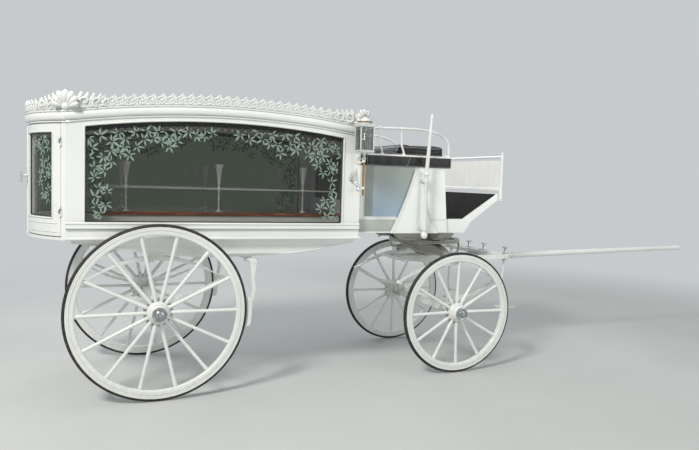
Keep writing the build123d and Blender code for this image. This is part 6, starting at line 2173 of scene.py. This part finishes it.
@dataclass
class Cushion:
    """Stuffed leather seat, swelled by a cloth simulation between its seams."""

    name: str
    stands_for: str
    buttons: tuple[tuple[float, float], ...]
    swell: float
    voxel: float = 0.008

    def start(self) -> bpy.types.Object:
        """Closed box a little smaller than the cushion, remeshed evenly.

        Returns:
            The object, linked to the scene.
        """
        low, high = cad(self.stands_for)
        low = low + [0.008, 0.008, 0.0]
        high = high - [0.008, 0.008, self.swell * 0.8]
        mesh = Shape().grid(block(low, high, min(0.016, (high[2] - low[2]) * 0.4), 0.035)).mesh(self.name)
        thing = bpy.data.objects.new(self.name, mesh)
        bpy.context.scene.collection.objects.link(thing)
        cells = thing.modifiers.new("cells", "REMESH")
        cells.mode, cells.voxel_size = "VOXEL", self.voxel
        even = bpy.data.meshes.new_from_object(thing.evaluated_get(bpy.context.evaluated_depsgraph_get()))
        thing.modifiers.clear()
        thing.data = even
        even.name = self.name
        return thing

    @staticmethod
    def corners(mesh: bpy.types.Mesh) -> Array:
        """Points of a mesh as an array.

        Args:
            mesh: the mesh.

        Returns:
            Points of shape (n, 3).
        """
        flat = np.empty(len(mesh.vertices) * 3)
        mesh.vertices.foreach_get("co", flat)
        return flat.reshape(-1, 3)

    def build(self) -> None:
        thing = self.start()
        low, high = (corner + TO_ROW for corner in cad(self.stands_for))
        rest = self.corners(thing.data)
        top = rest[:, 2].max()
        near = np.full(len(rest), 9.0)
        for x, y in self.buttons:
            spot = np.array([low[0] + x * (high[0] - low[0]), low[1] + y * (high[1] - low[1])])
            near = np.minimum(near, np.hypot(*(rest[:, :2] - spot).T) + 4.0 * (rest[:, 2] < top - 0.02))
        held = (rest[:, 2] < low[2] + 0.006) | (near < 0.012)
        group = thing.vertex_groups.new(name="held")
        group.add(np.flatnonzero(held).tolist(), 1.0, "REPLACE")
        cloth = thing.modifiers.new("stuffing", "CLOTH")
        cloth.settings.use_pressure = True
        cloth.settings.uniform_pressure_force = 4.0
        cloth.settings.vertex_group_mass = "held"
        cloth.settings.effector_weights.gravity = 0.0
        cloth.settings.tension_stiffness = cloth.settings.compression_stiffness = 12.0
        cloth.settings.quality = 5
        cloth.point_cache.frame_start, cloth.point_cache.frame_end = 1, 20
        for step in range(1, 21):
            bpy.context.scene.frame_set(step)
        done = thing.evaluated_get(bpy.context.evaluated_depsgraph_get()).to_mesh()
        swelled = self.corners(done)
        thing.modifiers.clear()
        thing.vertex_groups.clear()
        bpy.context.scene.frame_set(1)
        move = swelled - rest
        far = np.linalg.norm(move, axis=1, keepdims=True)
        final = rest + move * np.minimum(1, 1.15 * self.swell / np.maximum(far, 1e-9))
        final = np.clip(final, low + [0.0005, 0.0005, 0.0], high + [0.003, 0.003, 0.004])
        thing.data.vertices.foreach_set("co", final.ravel())
        thing.data.update()
        self.seams(thing, low, high, top)
        even = thing.modifiers.new("even", "SUBSURF")
        even.levels = even.render_levels = 1
        thing.data.shade_smooth()
        dress(thing, LEATHER, stands_for=[self.stands_for])

    def seams(self, thing: bpy.types.Object, low: Array, high: Array, top: float) -> None:
        """Piping laid on the cushion's shoulder and foot, and a button in each tuft.

        Args:
            thing: the swelled cushion.
            low: lowest corner of its box, in the row's frame.
            high: highest corner of its box.
            top: height of the flat top before it swelled.
        """
        skin = BVHTree.FromObject(thing, bpy.context.evaluated_depsgraph_get())
        size = (high - low)[:2] - 0.01
        ring = round_rect(size[0], size[1], 0.04, 8)
        loop = evened(ring, 220) + ((low + high) / 2)[:2]
        trim = Shape()
        for z in (top - 0.01, low[2] + 0.01):
            hits = [skin.find_nearest(Vector((x, y, z))) for x, y in loop]
            line = np.array([hit[0] + hit[1] * 0.001 for hit in hits])
            line = (np.roll(line, 1, 0) + 2 * line + np.roll(line, -1, 0)) / 4
            trim.grid(tube(line - TO_ROW, 0.0042, 8, closed=True), wrap_u=True)
        dome = [
            (0, 0.0045), (0.006, 0.0038), (0.0105, 0.0018), (0.0115, -0.0005), (0.009, -0.003), (0, -0.0035),
        ]
        for x, y in self.buttons:
            spot = Vector((low[0] + x * (high[0] - low[0]), low[1] + y * (high[1] - low[1]), top + 0.01))
            at = np.array(skin.find_nearest(spot)[0])
            trim.grid(lathe(dome, at - TO_ROW + [0, 0, 0.001], "z", 16))
        trim.piece(f"{self.name}_piping", PIPING, slot="black_leather")


@dataclass
class SeatRail:
    """Bent tube round the seat on four cranked posts."""

    y: float = 0.485
    seat: float = 1.842

    def build(self) -> None:
        """Make the rail."""
        shape = Shape()
        bend = [
            (2.412, self.seat), (2.412, 1.9), (2.408, 1.945), (2.386, 1.985), (2.338, 2.019), (2.27, 2.043),
            (2.2, 2.056), (2.09, 2.062), (1.95, 2.061), (1.8, 2.055), (1.768, 2.053),
        ]
        near = curve(bend, 70)
        a = span(0, np.pi / 2, 8)[1:]
        corner = np.stack([1.768 - 0.03 * np.sin(a), 0.03 * np.cos(a) + self.y - 0.03], -1)
        half = np.vstack([stand(near, "y", -self.y), stand(corner * [1, -1], "z", 2.053)])
        path = np.vstack([half, half[::-1] * [1, -1, 1]])
        shape.grid(tube(path, 0.0098, 14, ref=(0.12, 0.35, 0.93)))
        foot = [
            (0, 0.0), (0.02, 0.0), (0.02, 0.003), (0.0165, 0.0055), (0.0125, 0.0075), (0.0105, 0.013),
            (0, 0.013),
        ]
        for side in (-1, 1):
            y = side * self.y
            for x in (1.782, 1.982):
                leg = curve(
                    [
                        (x, self.seat), (x - 0.004, self.seat + 0.03), (x - 0.022, self.seat + 0.075),
                        (x - 0.026, 1.96), (x - 0.027, 2.056),
                    ],
                    22,
                )
                shape.grid(tube(stand(leg, "y", y), 0.0082, 12, ref=(0, 1, 0)))
                shape.grid(lathe(
                    [(0.01, -0.012), (0.0135, -0.009), (0.0135, 0.009), (0.01, 0.012)],
                    (x - 0.027, y, 2.0575), "x", 16,
                ))
            for x in (1.782, 1.982, 2.412):
                shape.grid(lathe(foot, (x, y, self.seat), "z", 20))
                for dx in (-0.0145, 0.0145):
                    shape.grid(bolt((x + dx, y, self.seat + 0.003), (0, 0, 1), 0.0035, 0.0025))
        shape.piece("seat_hand_rail", GEAR_WHITE, stands_for=["seat_rail"], crease=50)


@dataclass
class FrontBoards:
    """Boarded dashboard with its rail and posts, and the ribbed mat on the floor."""

    dash_x: float = 2.96
    dash_half: float = 0.482
    boards: int = 7

    def dashboard(self) -> None:
        """Tongued boards with V joints between turned posts, under a round rail."""
        shape = Shape()
        edges = span(-self.dash_half, self.dash_half, self.boards + 1)
        joints = edges[1:-1]
        y = np.sort(np.concatenate([edges[[0, -1]], joints - 0.0048, joints, joints + 0.0048]))
        thick = np.where(np.isin(y, joints), 0.0025, 0.0088)
        outline = np.vstack([
            np.stack([self.dash_x + thick, y], -1), np.stack([self.dash_x - thick, y], -1)[::-1],
        ])
        z = np.array([1.56, 1.562, 1.832, 1.834])
        inset = np.array([0.8, 1.0, 1.0, 0.8])
        middle = np.array([self.dash_x, 0])
        shape.grid(np.stack([stand((outline - middle) * [s, 1] + middle, "z", h) for s, h in zip(inset, z)]))
        foot, rail = (
            span((self.dash_x, -y, z), (self.dash_x, y, z), n)
            for y, z, n in ((0.481, 1.575, 20), (0.487, 1.868, 24))
        )
        shape.grid(sweep(foot, round_rect(0.026, 0.03, 0.005, 4)))
        shape.grid(tube(rail, 0.0108, 14))
        post = [
            (0, 1.472), (0.0075, 1.473), (0.0125, 1.478), (0.0095, 1.486), (0.013, 1.492), (0.013, 1.56),
            (0.011, 1.566), (0.011, 1.835), (0.013, 1.842), (0.013, 1.882), (0.0095, 1.886), (0.0075, 1.889),
            (0.0118, 1.894), (0.0125, 1.899), (0.0095, 1.904), (0.0035, 1.906), (0, 1.906),
        ]
        for side in (-1, 1):
            shape.grid(lathe(post, (self.dash_x, side * 0.493, 0), "z", 24))
        shape.piece("boarded_dashboard", DASH_PAINTED_LIGHT, stands_for=["dashboard"], crease=12)

    def mat(self) -> None:
        """Rubber mat up the floor and the toe board, ribbed across.

        It is 5.5 mm thick, and a round rib stands 2.2 mm higher each 15 mm.
        """
        line = np.array([(2.4255, 1.3102), (2.593, 1.3102), (2.933, 1.53)])
        path = resampled(line, 300)
        along = unit(np.gradient(path, axis=0))
        lift = np.stack([-along[:, 1], along[:, 0]], -1)
        s = np.concatenate([[0], np.cumsum(np.linalg.norm(np.diff(path, axis=0), axis=1))])
        thick = 0.0055 + 0.0022 * np.clip(np.abs(np.sin(np.pi * s / 0.015)) * 1.8 - 0.5, 0, 1)
        upper = path + lift * thick[:, None]
        y = cad("foot_mat")[1][1] - 0.001
        ring = [stand(p, "y", v) for p, v in ((path, -y), (upper, -y), (upper, y), (path, y))]
        Shape().grid(np.stack(ring, 1)).piece(
            "ribbed_foot_mat", MAT, stands_for=["foot_mat"], slot="black_leather", crease=60,
        )

    def build(self) -> None:
        """Make the dashboard and the mat."""
        self.dashboard()
        self.mat()


@dataclass
class BrakeLever:
    """Hand brake column that leans forward over its collar, with its brackets."""

    x: float = 2.15
    y: float = -0.582
    collar: float = 1.69
    lean: float = 4.0

    def build(self) -> None:
        """Make the lever."""
        shape = Shape()
        low = [
            (0, 1.145), (0.012, 1.1475), (0.0235, 1.156), (0.0295, 1.172), (0.0275, 1.188), (0.019, 1.1995),
            (0.015, 1.204), (0.0185, 1.209), (0.017, 1.216), (0.0165, 1.672), (0.0195, 1.678),
            (0.0245, 1.681), (0.0245, 1.699), (0.02, 1.703), (0.0165, 1.706), (0, 1.7065),
        ]
        shape.grid(lathe(low, (self.x, self.y, 0), "z", 28))
        tilt = np.radians(self.lean)
        t = np.array([0, 0.02, 0.19, 0.335, 0.348, 0.355, 0.365, 0.42, 0.47, 0.49, 0.4975, 0.5005])
        r = np.array([
            0.0168, 0.0168, 0.0155, 0.014, 0.015, 0.015, 0.0105, 0.0108, 0.0115, 0.0105, 0.0065, 0.0015,
        ])
        path = np.array([self.x, self.y, self.collar]) + t[:, None] * [np.sin(tilt), 0, np.cos(tilt)]
        shape.grid(tube(path, r, 24, ref=(0, 1, 0)))
        shape.piece("brake_column", GEAR_WHITE, stands_for=["brake_lever"], crease=50)
        iron = Shape()
        for z in (1.24, 1.64):
            iron.grid(turned_box((self.x, -0.546, z), (0.036, 0.038, 0.04), 0.004))
            iron.grid(lathe(
                [(0.0172, -0.02), (0.0215, -0.019), (0.022, 0.0), (0.0215, 0.019), (0.0172, 0.02)],
                (self.x, self.y, z), "z", 24,
            ))
            iron.grid(turned_box((self.x, -0.5305, z), (0.078, 0.005, 0.046), 0.002))
            for dx in (-0.03, 0.03):
                iron.grid(bolt((self.x + dx, -0.533, z), (0, -1, 0), 0.0075, 0.005))
        iron.piece("brake_column_brackets", GEAR_WHITE)


# ---- Running gear ----


@dataclass
class SpringIrons:
    """U-bolts, leaf bands and eye bolts of one axle's two springs."""

    place: str
    body: Body
    x: float
    eye: float
    axle: float
    rise: float = 0.14
    half: float = 0.48

    def build(self) -> None:
        """Make the irons of both springs."""
        shape = Shape()
        radius = (self.half**2 + self.rise**2) / (2 * self.rise)
        for side in (-1, 1):
            y = side * LINES.spring_y
            for dx in (-0.03, 0.03):
                hoop = bends(
                    [
                        (self.x + dx, y - 0.034, self.axle - 0.04),
                        (self.x + dx, y - 0.034, self.eye - self.rise + 0.007),
                        (self.x + dx, y + 0.034, self.eye - self.rise + 0.007),
                        (self.x + dx, y + 0.034, self.axle - 0.04),
                    ],
                    0.014, 6,
                )
                shape.grid(tube(hoop, 0.006, 10, ref=(1, 0, 0)))
                for leg in (-0.034, 0.034):
                    shape.grid(bolt((self.x + dx, y + leg, self.axle - 0.029), (0, 0, -1), 0.0115, 0.009))
                    shape.grid(bolt(
                        (self.x + dx, y + leg * 0.62, self.eye + self.rise - 0.0035), (0, 0, -1), 0.0095,
                        0.008,
                    ))
            shape.grid(turned_box((self.x, y, self.axle - 0.0265), (0.092, 0.092, 0.007), 0.002))
            for flip in (-1, 1):
                for dx in (-0.3, 0.3):
                    drop = np.sqrt((radius + 0.008) ** 2 - dx**2) - radius
                    tilt = -flip * np.arcsin(dx / radius)
                    at = (self.x + dx, y, self.eye + flip * (self.rise + drop))
                    c, s = np.cos(tilt), np.sin(tilt)
                    shape.grid(turned_box(at, (0.02, 0.053, 0.023), 0.003, (c, 0, s), (-s, 0, c)))
            for dx in (-self.half, self.half):
                for out in (-1, 1):
                    shape.grid(lathe(
                        [(0.0, 0.0), (0.0185, 0.0), (0.0185, out * 0.002), (0.0, out * 0.002)],
                        (self.x + dx, y + out * 0.0258, self.eye), "y", 20,
                    ))
                    shape.grid(bolt((self.x + dx, y + out * 0.0275, self.eye), (0, out, 0), 0.0115, 0.008))
        shape.piece(f"{self.place}_spring_irons", GEAR_WHITE, self.body)


@dataclass
class Turntable:
    """Wheel plates, beds and iron stays between the boot and the front springs."""

    plate_r: tuple[float, float] = (0.2862, 0.3298)
    seat: float = 0.937
    under_ring: float = 1.0757

    def plate(self, low: float, high: float) -> Array:
        """Flat ring with broken edges."""
        near, far = self.plate_r
        return lathe(
            [
                (near + 0.002, low), (far - 0.002, low), (far, low + 0.002), (far, high - 0.002),
                (far - 0.002, high), (near + 0.002, high), (near, high - 0.002), (near, low + 0.002),
            ],
            (LINES.king, 0, 0), "z", 96,
        )

    @staticmethod
    def beam(stations: Outline, x: float, edge: float = 0.01) -> Array:
        """Chamfered beam along y.

        Args:
            stations: distance out, bottom, top and half-width of each section.
            x: where its middle plane stands.

        Returns:
            Grid of eight-sided sections.
        """
        out, low, high, half = np.array(stations).T
        y = np.concatenate([-out[::-1], out])
        low, high, half = (np.concatenate([v[::-1], v]) for v in (low, high, half))
        e = np.minimum(edge, half * 0.4)
        corners = [
            (-half + e, low), (half - e, low), (half, low + e), (half, high - e), (half - e, high),
            (-half + e, high), (-half, high - e), (-half, low + e),
        ]
        return np.stack([np.stack([x + dx, y, z], -1) for dx, z in corners], 1)

    def lower(self) -> None:
        """Arched bed on the springs with its wheel plate, kingpin and four stays."""
        s, t, shape = self.seat, self.under_ring, Shape()
        shape.grid(self.plate(t, t + 0.0138), wrap_u=True)
        bed = [
            (0.004, s + 0.012, t, 0.04), (0.11, s + 0.012, t, 0.04), (0.15, s + 0.024, t - 0.004, 0.032),
            (0.26, s + 0.04, t - 0.008, 0.03), (0.345, s + 0.028, t - 0.028, 0.031),
            (0.4, s + 0.008, s + 0.086, 0.037), (0.425, s, s + 0.076, 0.04), (0.512, s, s + 0.066, 0.04),
            (0.52, s + 0.006, s + 0.058, 0.036),
        ]
        shape.grid(self.beam(bed, LINES.king))
        cross = [
            (0.004, t + 0.0004, t + 0.0134, 0.04), (0.3, t + 0.0004, t + 0.0134, 0.04),
            (0.324, t + 0.0004, t + 0.0134, 0.03),
        ]
        shape.grid(self.beam(cross, LINES.king, 0.002))
        pin = [(0, t), (0.0158, t), (0.0158, 1.144), (0.013, 1.1475), (0, 1.1475)]
        shape.grid(lathe(pin, (LINES.king, 0, 0), "z", 24))
        for fore in (-1, 1):
            for side in (-1, 1):
                stay = curve(
                    [
                        (fore * 0.288, side * 0.12, t - 0.003), (fore * 0.262, side * 0.185, t - 0.022),
                        (fore * 0.18, side * 0.3, s + 0.066), (fore * 0.05, side * 0.392, s + 0.052),
                    ],
                    18,
                )
                shape.grid(tube(stay + [LINES.king, 0, 0], 0.0095, 10))
                foot = (LINES.king + fore * 0.292, side * 0.112, t - 0.003)
                shape.grid(turned_box(foot, (0.034, 0.04, 0.006), 0.002))
            bead = [(-0.335, t - 0.04), (-0.25, t - 0.02), (0.25, t - 0.02), (0.335, t - 0.04)]
            path = bends(stand(bead, "x", LINES.king + fore * 0.03), 0.05, 6)
            shape.grid(tube(path, 0.005, 8, ref=(1, 0, 0)))
            for side in (-1, 1):
                y = side * LINES.spring_y
                clip = (LINES.king + fore * 0.0405, y, s + 0.032)
                shape.grid(turned_box(clip, (0.006, 0.052, 0.058), 0.002))
                for z in (0.018, 0.046):
                    shape.grid(bolt((LINES.king + fore * 0.043, y, s + z), (fore, 0, 0), 0.0085, 0.006))
        # grey-olive here is painted shade
        shape.piece("lower_turntable", PLATE_PAINTED_SHADE, Body.FORE, ["turntable_lower"])

    def upper(self) -> None:
        """Wheel plate, scrolled sills and cross bed under the boot."""
        low, high, shape = 1.104, 1.19, Shape()
        shape.grid(self.plate(1.0902, low), wrap_u=True)
        cross = [
            (0.004, 1.0906, low - 0.0006, 0.04), (0.3, 1.0906, low - 0.0006, 0.04),
            (0.324, 1.0906, low - 0.0006, 0.03),
        ]
        shape.grid(self.beam(cross, LINES.king, 0.002))
        boss = [
            (0.0165, 1.0905), (0.044, 1.0905), (0.046, 1.0925), (0.046, 1.12), (0.04, 1.128), (0.034, 1.148),
            (0.03, 1.15), (0.0165, 1.15),
        ]
        shape.grid(lathe(boss, (LINES.king, 0, 0), "z", 36), wrap_u=True)
        bed = [
            (0.004, low, high, 0.035), (0.29, low, high, 0.035), (0.32, low + 0.006, high, 0.03),
            (0.385, low + 0.016, high, 0.029), (0.412, low + 0.034, high, 0.031),
            (0.42, low + 0.05, high - 0.006, 0.028),
        ]
        shape.grid(self.beam(bed, LINES.king - 0.06, 0.008))
        for side in (-1, 1):
            u = span(-1, 1, 25)
            foot = low + 0.048 * np.clip((np.abs(u) - 0.72) / 0.28, 0, 1) ** 1.6
            x, e = LINES.king - 0.13 + 0.299 * u, 0.007
            half = np.where(np.abs(u) > 0.99, 0.019, 0.023)
            corners = [
                (-half + e, foot), (half - e, foot), (half, foot + e), (half, high + 0 * u),
                (-half, high + 0 * u), (-half, foot + e),
            ]
            shape.grid(np.stack([np.stack([x, side * 0.23 + dy, z], -1) for dy, z in corners], 1))
            bead = np.stack([x, foot + 0.018], -1)[3:-3]
            shape.grid(tube(stand(bead, "y", side * 0.2535), 0.0042, 8))
            for at in (-0.36, -0.06):
                shape.grid(bolt((LINES.king + at, side * 0.23, low + 0.001), (0, 0, -1), 0.012, 0.01))
        shape.piece("upper_turntable", PLATE_PAINTED_SHADE, stands_for=["turntable_upper"])

    def build(self) -> None:
        """Make both halves."""
        self.lower()
        self.upper()


@dataclass
class DraftGear:
    """Splinter bar with its roller bolts, the pole, the steps and the turntable's nuts."""

    bar_x: float = 3.055
    bar_z: float = 0.975

    def bar(self) -> None:
        """Rounded bar that thins to its ends, with an iron band near each."""
        y = np.concatenate([[-0.5, -0.497, -0.49, -0.44], span(-0.36, 0.36, 9), [0.44, 0.49, 0.497, 0.5]])
        size = np.interp(np.abs(y), [0, 0.36, 0.49, 0.497, 0.5], [1.0, 1.0, 0.86, 0.8, 0.66])
        path = stand(stand(y[:, None], "x", self.bar_x), "z", self.bar_z)
        wood = Shape().grid(sweep(path, round_rect(0.06, 0.05, 0.016, 6), scale=size))
        for at in (-0.425, -0.085, 0.085, 0.425):
            band = [(self.bar_x, at + dy, self.bar_z) for dy in (-0.016, -0.0145, 0.0145, 0.016)]
            wood.grid(sweep(band, round_rect(0.0655, 0.0555, 0.017, 6), scale=np.array([0.97, 1, 1, 0.97])))
        wood.piece("rounded_splinter_bar", GEAR_WHITE, Body.FORE, ["splinter_bar"])
        steel = Shape()
        roller = [
            (0, 0.999), (0.024, 0.999), (0.024, 1.003), (0.015, 1.0045), (0.0138, 1.011), (0.012, 1.027),
            (0.0138, 1.045), (0.0145, 1.05), (0.0265, 1.052), (0.028, 1.055), (0.0275, 1.06), (0.022, 1.0635),
            (0.01, 1.064), (0, 1.064),
        ]
        for at in (-0.47, -0.13, 0.13, 0.47):
            steel.grid(lathe(roller, (self.bar_x, at, 0), "z", 28))
            steel.grid(bolt((self.bar_x, at, 0.951), (0, 0, -1), 0.016, 0.014))
        steel.piece("roller_bolts", NICKEL, Body.FORE, slot="bright_metal")

    def pole(self) -> None:
        """Ash pole: square in the futchells, then round and tapered to an iron head.

        The section is |a/w|^n + |b/h|^n = 1, with n from 10 at the butt to 2.
        """
        x = np.concatenate([[2.575, 2.577], span(2.62, 3.05, 8), span(3.1, 3.34, 10), span(3.45, 5.683, 24)])
        wide = np.interp(x, [2.575, 2.577, 3.1, 3.34, 5.683], [0.0385, 0.0398, 0.0398, 0.0302, 0.0222])
        tall = np.interp(x, [2.575, 2.577, 3.1, 3.34, 5.683], [0.0295, 0.0308, 0.0308, 0.0302, 0.0222])
        power = np.interp(x, [3.02, 3.3], [10.0, 2.0])
        rise = np.interp(x, [3.175, 5.745], [0.0, 0.06])
        a = around(32)[None]
        c, s, n = np.cos(a), np.sin(a), 2 / power[:, None]
        y = wide[:, None] * np.sign(c) * np.abs(c) ** n
        z = 0.919 + rise[:, None] + tall[:, None] * np.sign(s) * np.abs(s) ** n
        Shape().grid(np.stack(
            [np.broadcast_to(x[:, None], y.shape), y, z], -1,
        )).piece("draught_pole", GEAR_WHITE, Body.FORE, ["pole"])
        iron = Shape()
        along = unit(np.array([2.57, 0, 0.06]))
        butt = np.array([3.175, 0, 0.919])
        head = [
            (2.5, 0.024), (2.503, 0.0258), (2.535, 0.0258), (2.54, 0.0235), (2.556, 0.023), (2.56, 0.0256),
            (2.5655, 0.025), (2.5675, 0.018),
        ]
        t, r = np.array(head).T
        iron.grid(tube(butt + t[:, None] * along, r, 24))
        for at in (0.3, 1.35):
            ring = butt + (at + np.array([-0.012, -0.01, 0.01, 0.012]))[:, None] * along
            size = 0.0308 - 0.008 * (at + 3.175 - 3.34) / 2.343
            iron.grid(tube(ring, size + np.array([0.0002, 0.0018, 0.0018, 0.0002]), 24))
        for at in (2.66, 3.02):
            ring = [(at + dx, 0, 0.9196) for dx in (-0.014, -0.012, 0.012, 0.014)]
            iron.grid(sweep(ring, round_rect(0.0796, 0.0655, 0.004, 4), scale=np.array([0.98, 1, 1, 0.98])))
        iron.piece("pole_irons", GEAR_WHITE, Body.FORE)

    def step(self, side: Side) -> None:
        """Hanging step: cranked round arm and a ribbed tread with a raised rim.

        Args:
            side: the side that it hangs on.
        """
        y = side.value * 0.456
        shape = Shape()
        arm = curve(
            [
                (3.055, 0.948), (3.054, 0.9), (3.043, 0.8), (3.034, 0.69), (3.034, 0.6), (3.043, 0.545),
                (3.062, 0.518), (3.085, 0.5125),
            ],
            40,
        )
        shape.grid(tube(stand(arm, "y", y), 0.0098, 14, ref=(0, 1, 0)))
        shape.grid(lathe(
            [(0.01, 0.936), (0.0215, 0.937), (0.022, 0.95), (0.014, 0.9505)], (3.055, y, 0), "z", 24,
        ))
        low, high = np.array([2.999, y - 0.05, 0.504]), np.array([3.179, y + 0.05, 0.51])
        shape.grid(block(low, high, 0.002, 0.024))
        loop = evened(round_rect(0.174, 0.094, 0.021, 8), 120) + (low + high)[:2] / 2
        shape.grid(tube(stand(loop, "z", 0.512), 0.0062, 8, closed=True), wrap_u=True)
        for x in span(3.022, 3.156, 10):
            rib = span((x, y - 0.04, 0.511), (x, y + 0.04, 0.511), 6)
            shape.grid(tube(rib, [0.0018, 0.004, 0.004, 0.004, 0.004, 0.0018], 8))
        shape.piece(f"hanging_step_{side.word}", GEAR_WHITE, Body.FORE, [f"step_{side.word}"])

    def nuts(self) -> None:
        """Bolts through the wheel plates, and the kingpin's nut under the bed."""
        above, below = Shape(), Shape()
        for a in around(10, np.pi / 10):
            at = np.array([LINES.king + 0.308 * np.cos(a), 0.308 * np.sin(a)])
            above.grid(bolt((*at, 1.1035), (0, 0, 1), 0.01, 0.008))
            below.grid(bolt((*at, 1.0762), (0, 0, -1), 0.01, 0.008))
        above.piece("upper_plate_bolts", GEAR_WHITE)
        below.grid(bolt((LINES.king, 0, 0.936), (0, 0, -1), 0.03, 0.026))
        for y in (-0.058, 0.058):
            for x in (2.66, 3.02):
                below.grid(bolt((x, y + np.sign(y) * 0.0178, 0.918), (0, float(np.sign(y)), 0), 0.011, 0.008))
        below.piece("lower_plate_bolts", GEAR_WHITE, Body.FORE)

    def build(self) -> None:
        """Make the draught gear."""
        self.bar()
        self.pole()
        self.step(Side.RIGHT)
        self.step(Side.LEFT)
        self.nuts()


def dress_nodes() -> None:
    """Give every CAD node that stays in view its own finish."""
    gear = ("wheel", "spring", "axle", "turntable", "futchells", "splinter", "stay", "step", "brake", "pole")
    for name, thing in frame["nodes"].items():
        finish = BODY_WHITE
        if "glass" in name:
            finish = LAMP_PANE_PAINTED_DARK if "lamp" in name else PANE_PAINTED_DARK
        elif "tyre" in name:
            finish = RUBBER
        elif name == "deck":
            finish = MAHOGANY_PAINTED_DARK
        elif name in ("seat_box", "seat_cushion", "seat_pad"):
            finish = LEATHER
        elif name == "foot_mat":
            finish = MAT
        elif name.startswith(("deck_rail", "door_handle")):
            finish = NICKEL
        elif any(word in name for word in gear):
            finish = GEAR_WHITE
        thing.data.materials.clear()
        thing.data.materials.append(finish.material())


def main() -> None:
    """Build the scene in order."""
    logging.basicConfig(level=logging.INFO, format="%(name)s: %(message)s")
    Studio().build()
    dress_nodes()
    for side in Side:
        Wheel("rear", side, 0.0, 0.65, 0.635, 14, 0.5).build()
        Wheel("front", side, LINES.king, 0.635, 0.518, 12, 0.0).build()
    Roof().build()
    Cresting().build()
    CabinTrim().build()
    Etching().build()
    CabinInside().build()
    for side in Side:
        Lamp(side).build()
    Boot().build()
    Cushion(
        "driver_cushion", "seat_cushion",
        tuple((u, v) for u in (0.3, 0.7) for v in (0.1, 0.3, 0.5, 0.7, 0.9)), 0.022,
    ).build()
    Cushion("seat_back_pad", "seat_pad", tuple((0.5, v) for v in (0.1, 0.3, 0.5, 0.7, 0.9)), 0.008).build()
    SeatRail().build()
    FrontBoards().build()
    BrakeLever().build()
    SpringIrons("rear", Body.CARRIAGE, 0.0, 0.852, 0.635).build()
    SpringIrons("front", Body.FORE, LINES.king, 0.765, 0.518).build()
    Turntable().build()
    DraftGear().build()


if __name__ == "__main__":
    main()
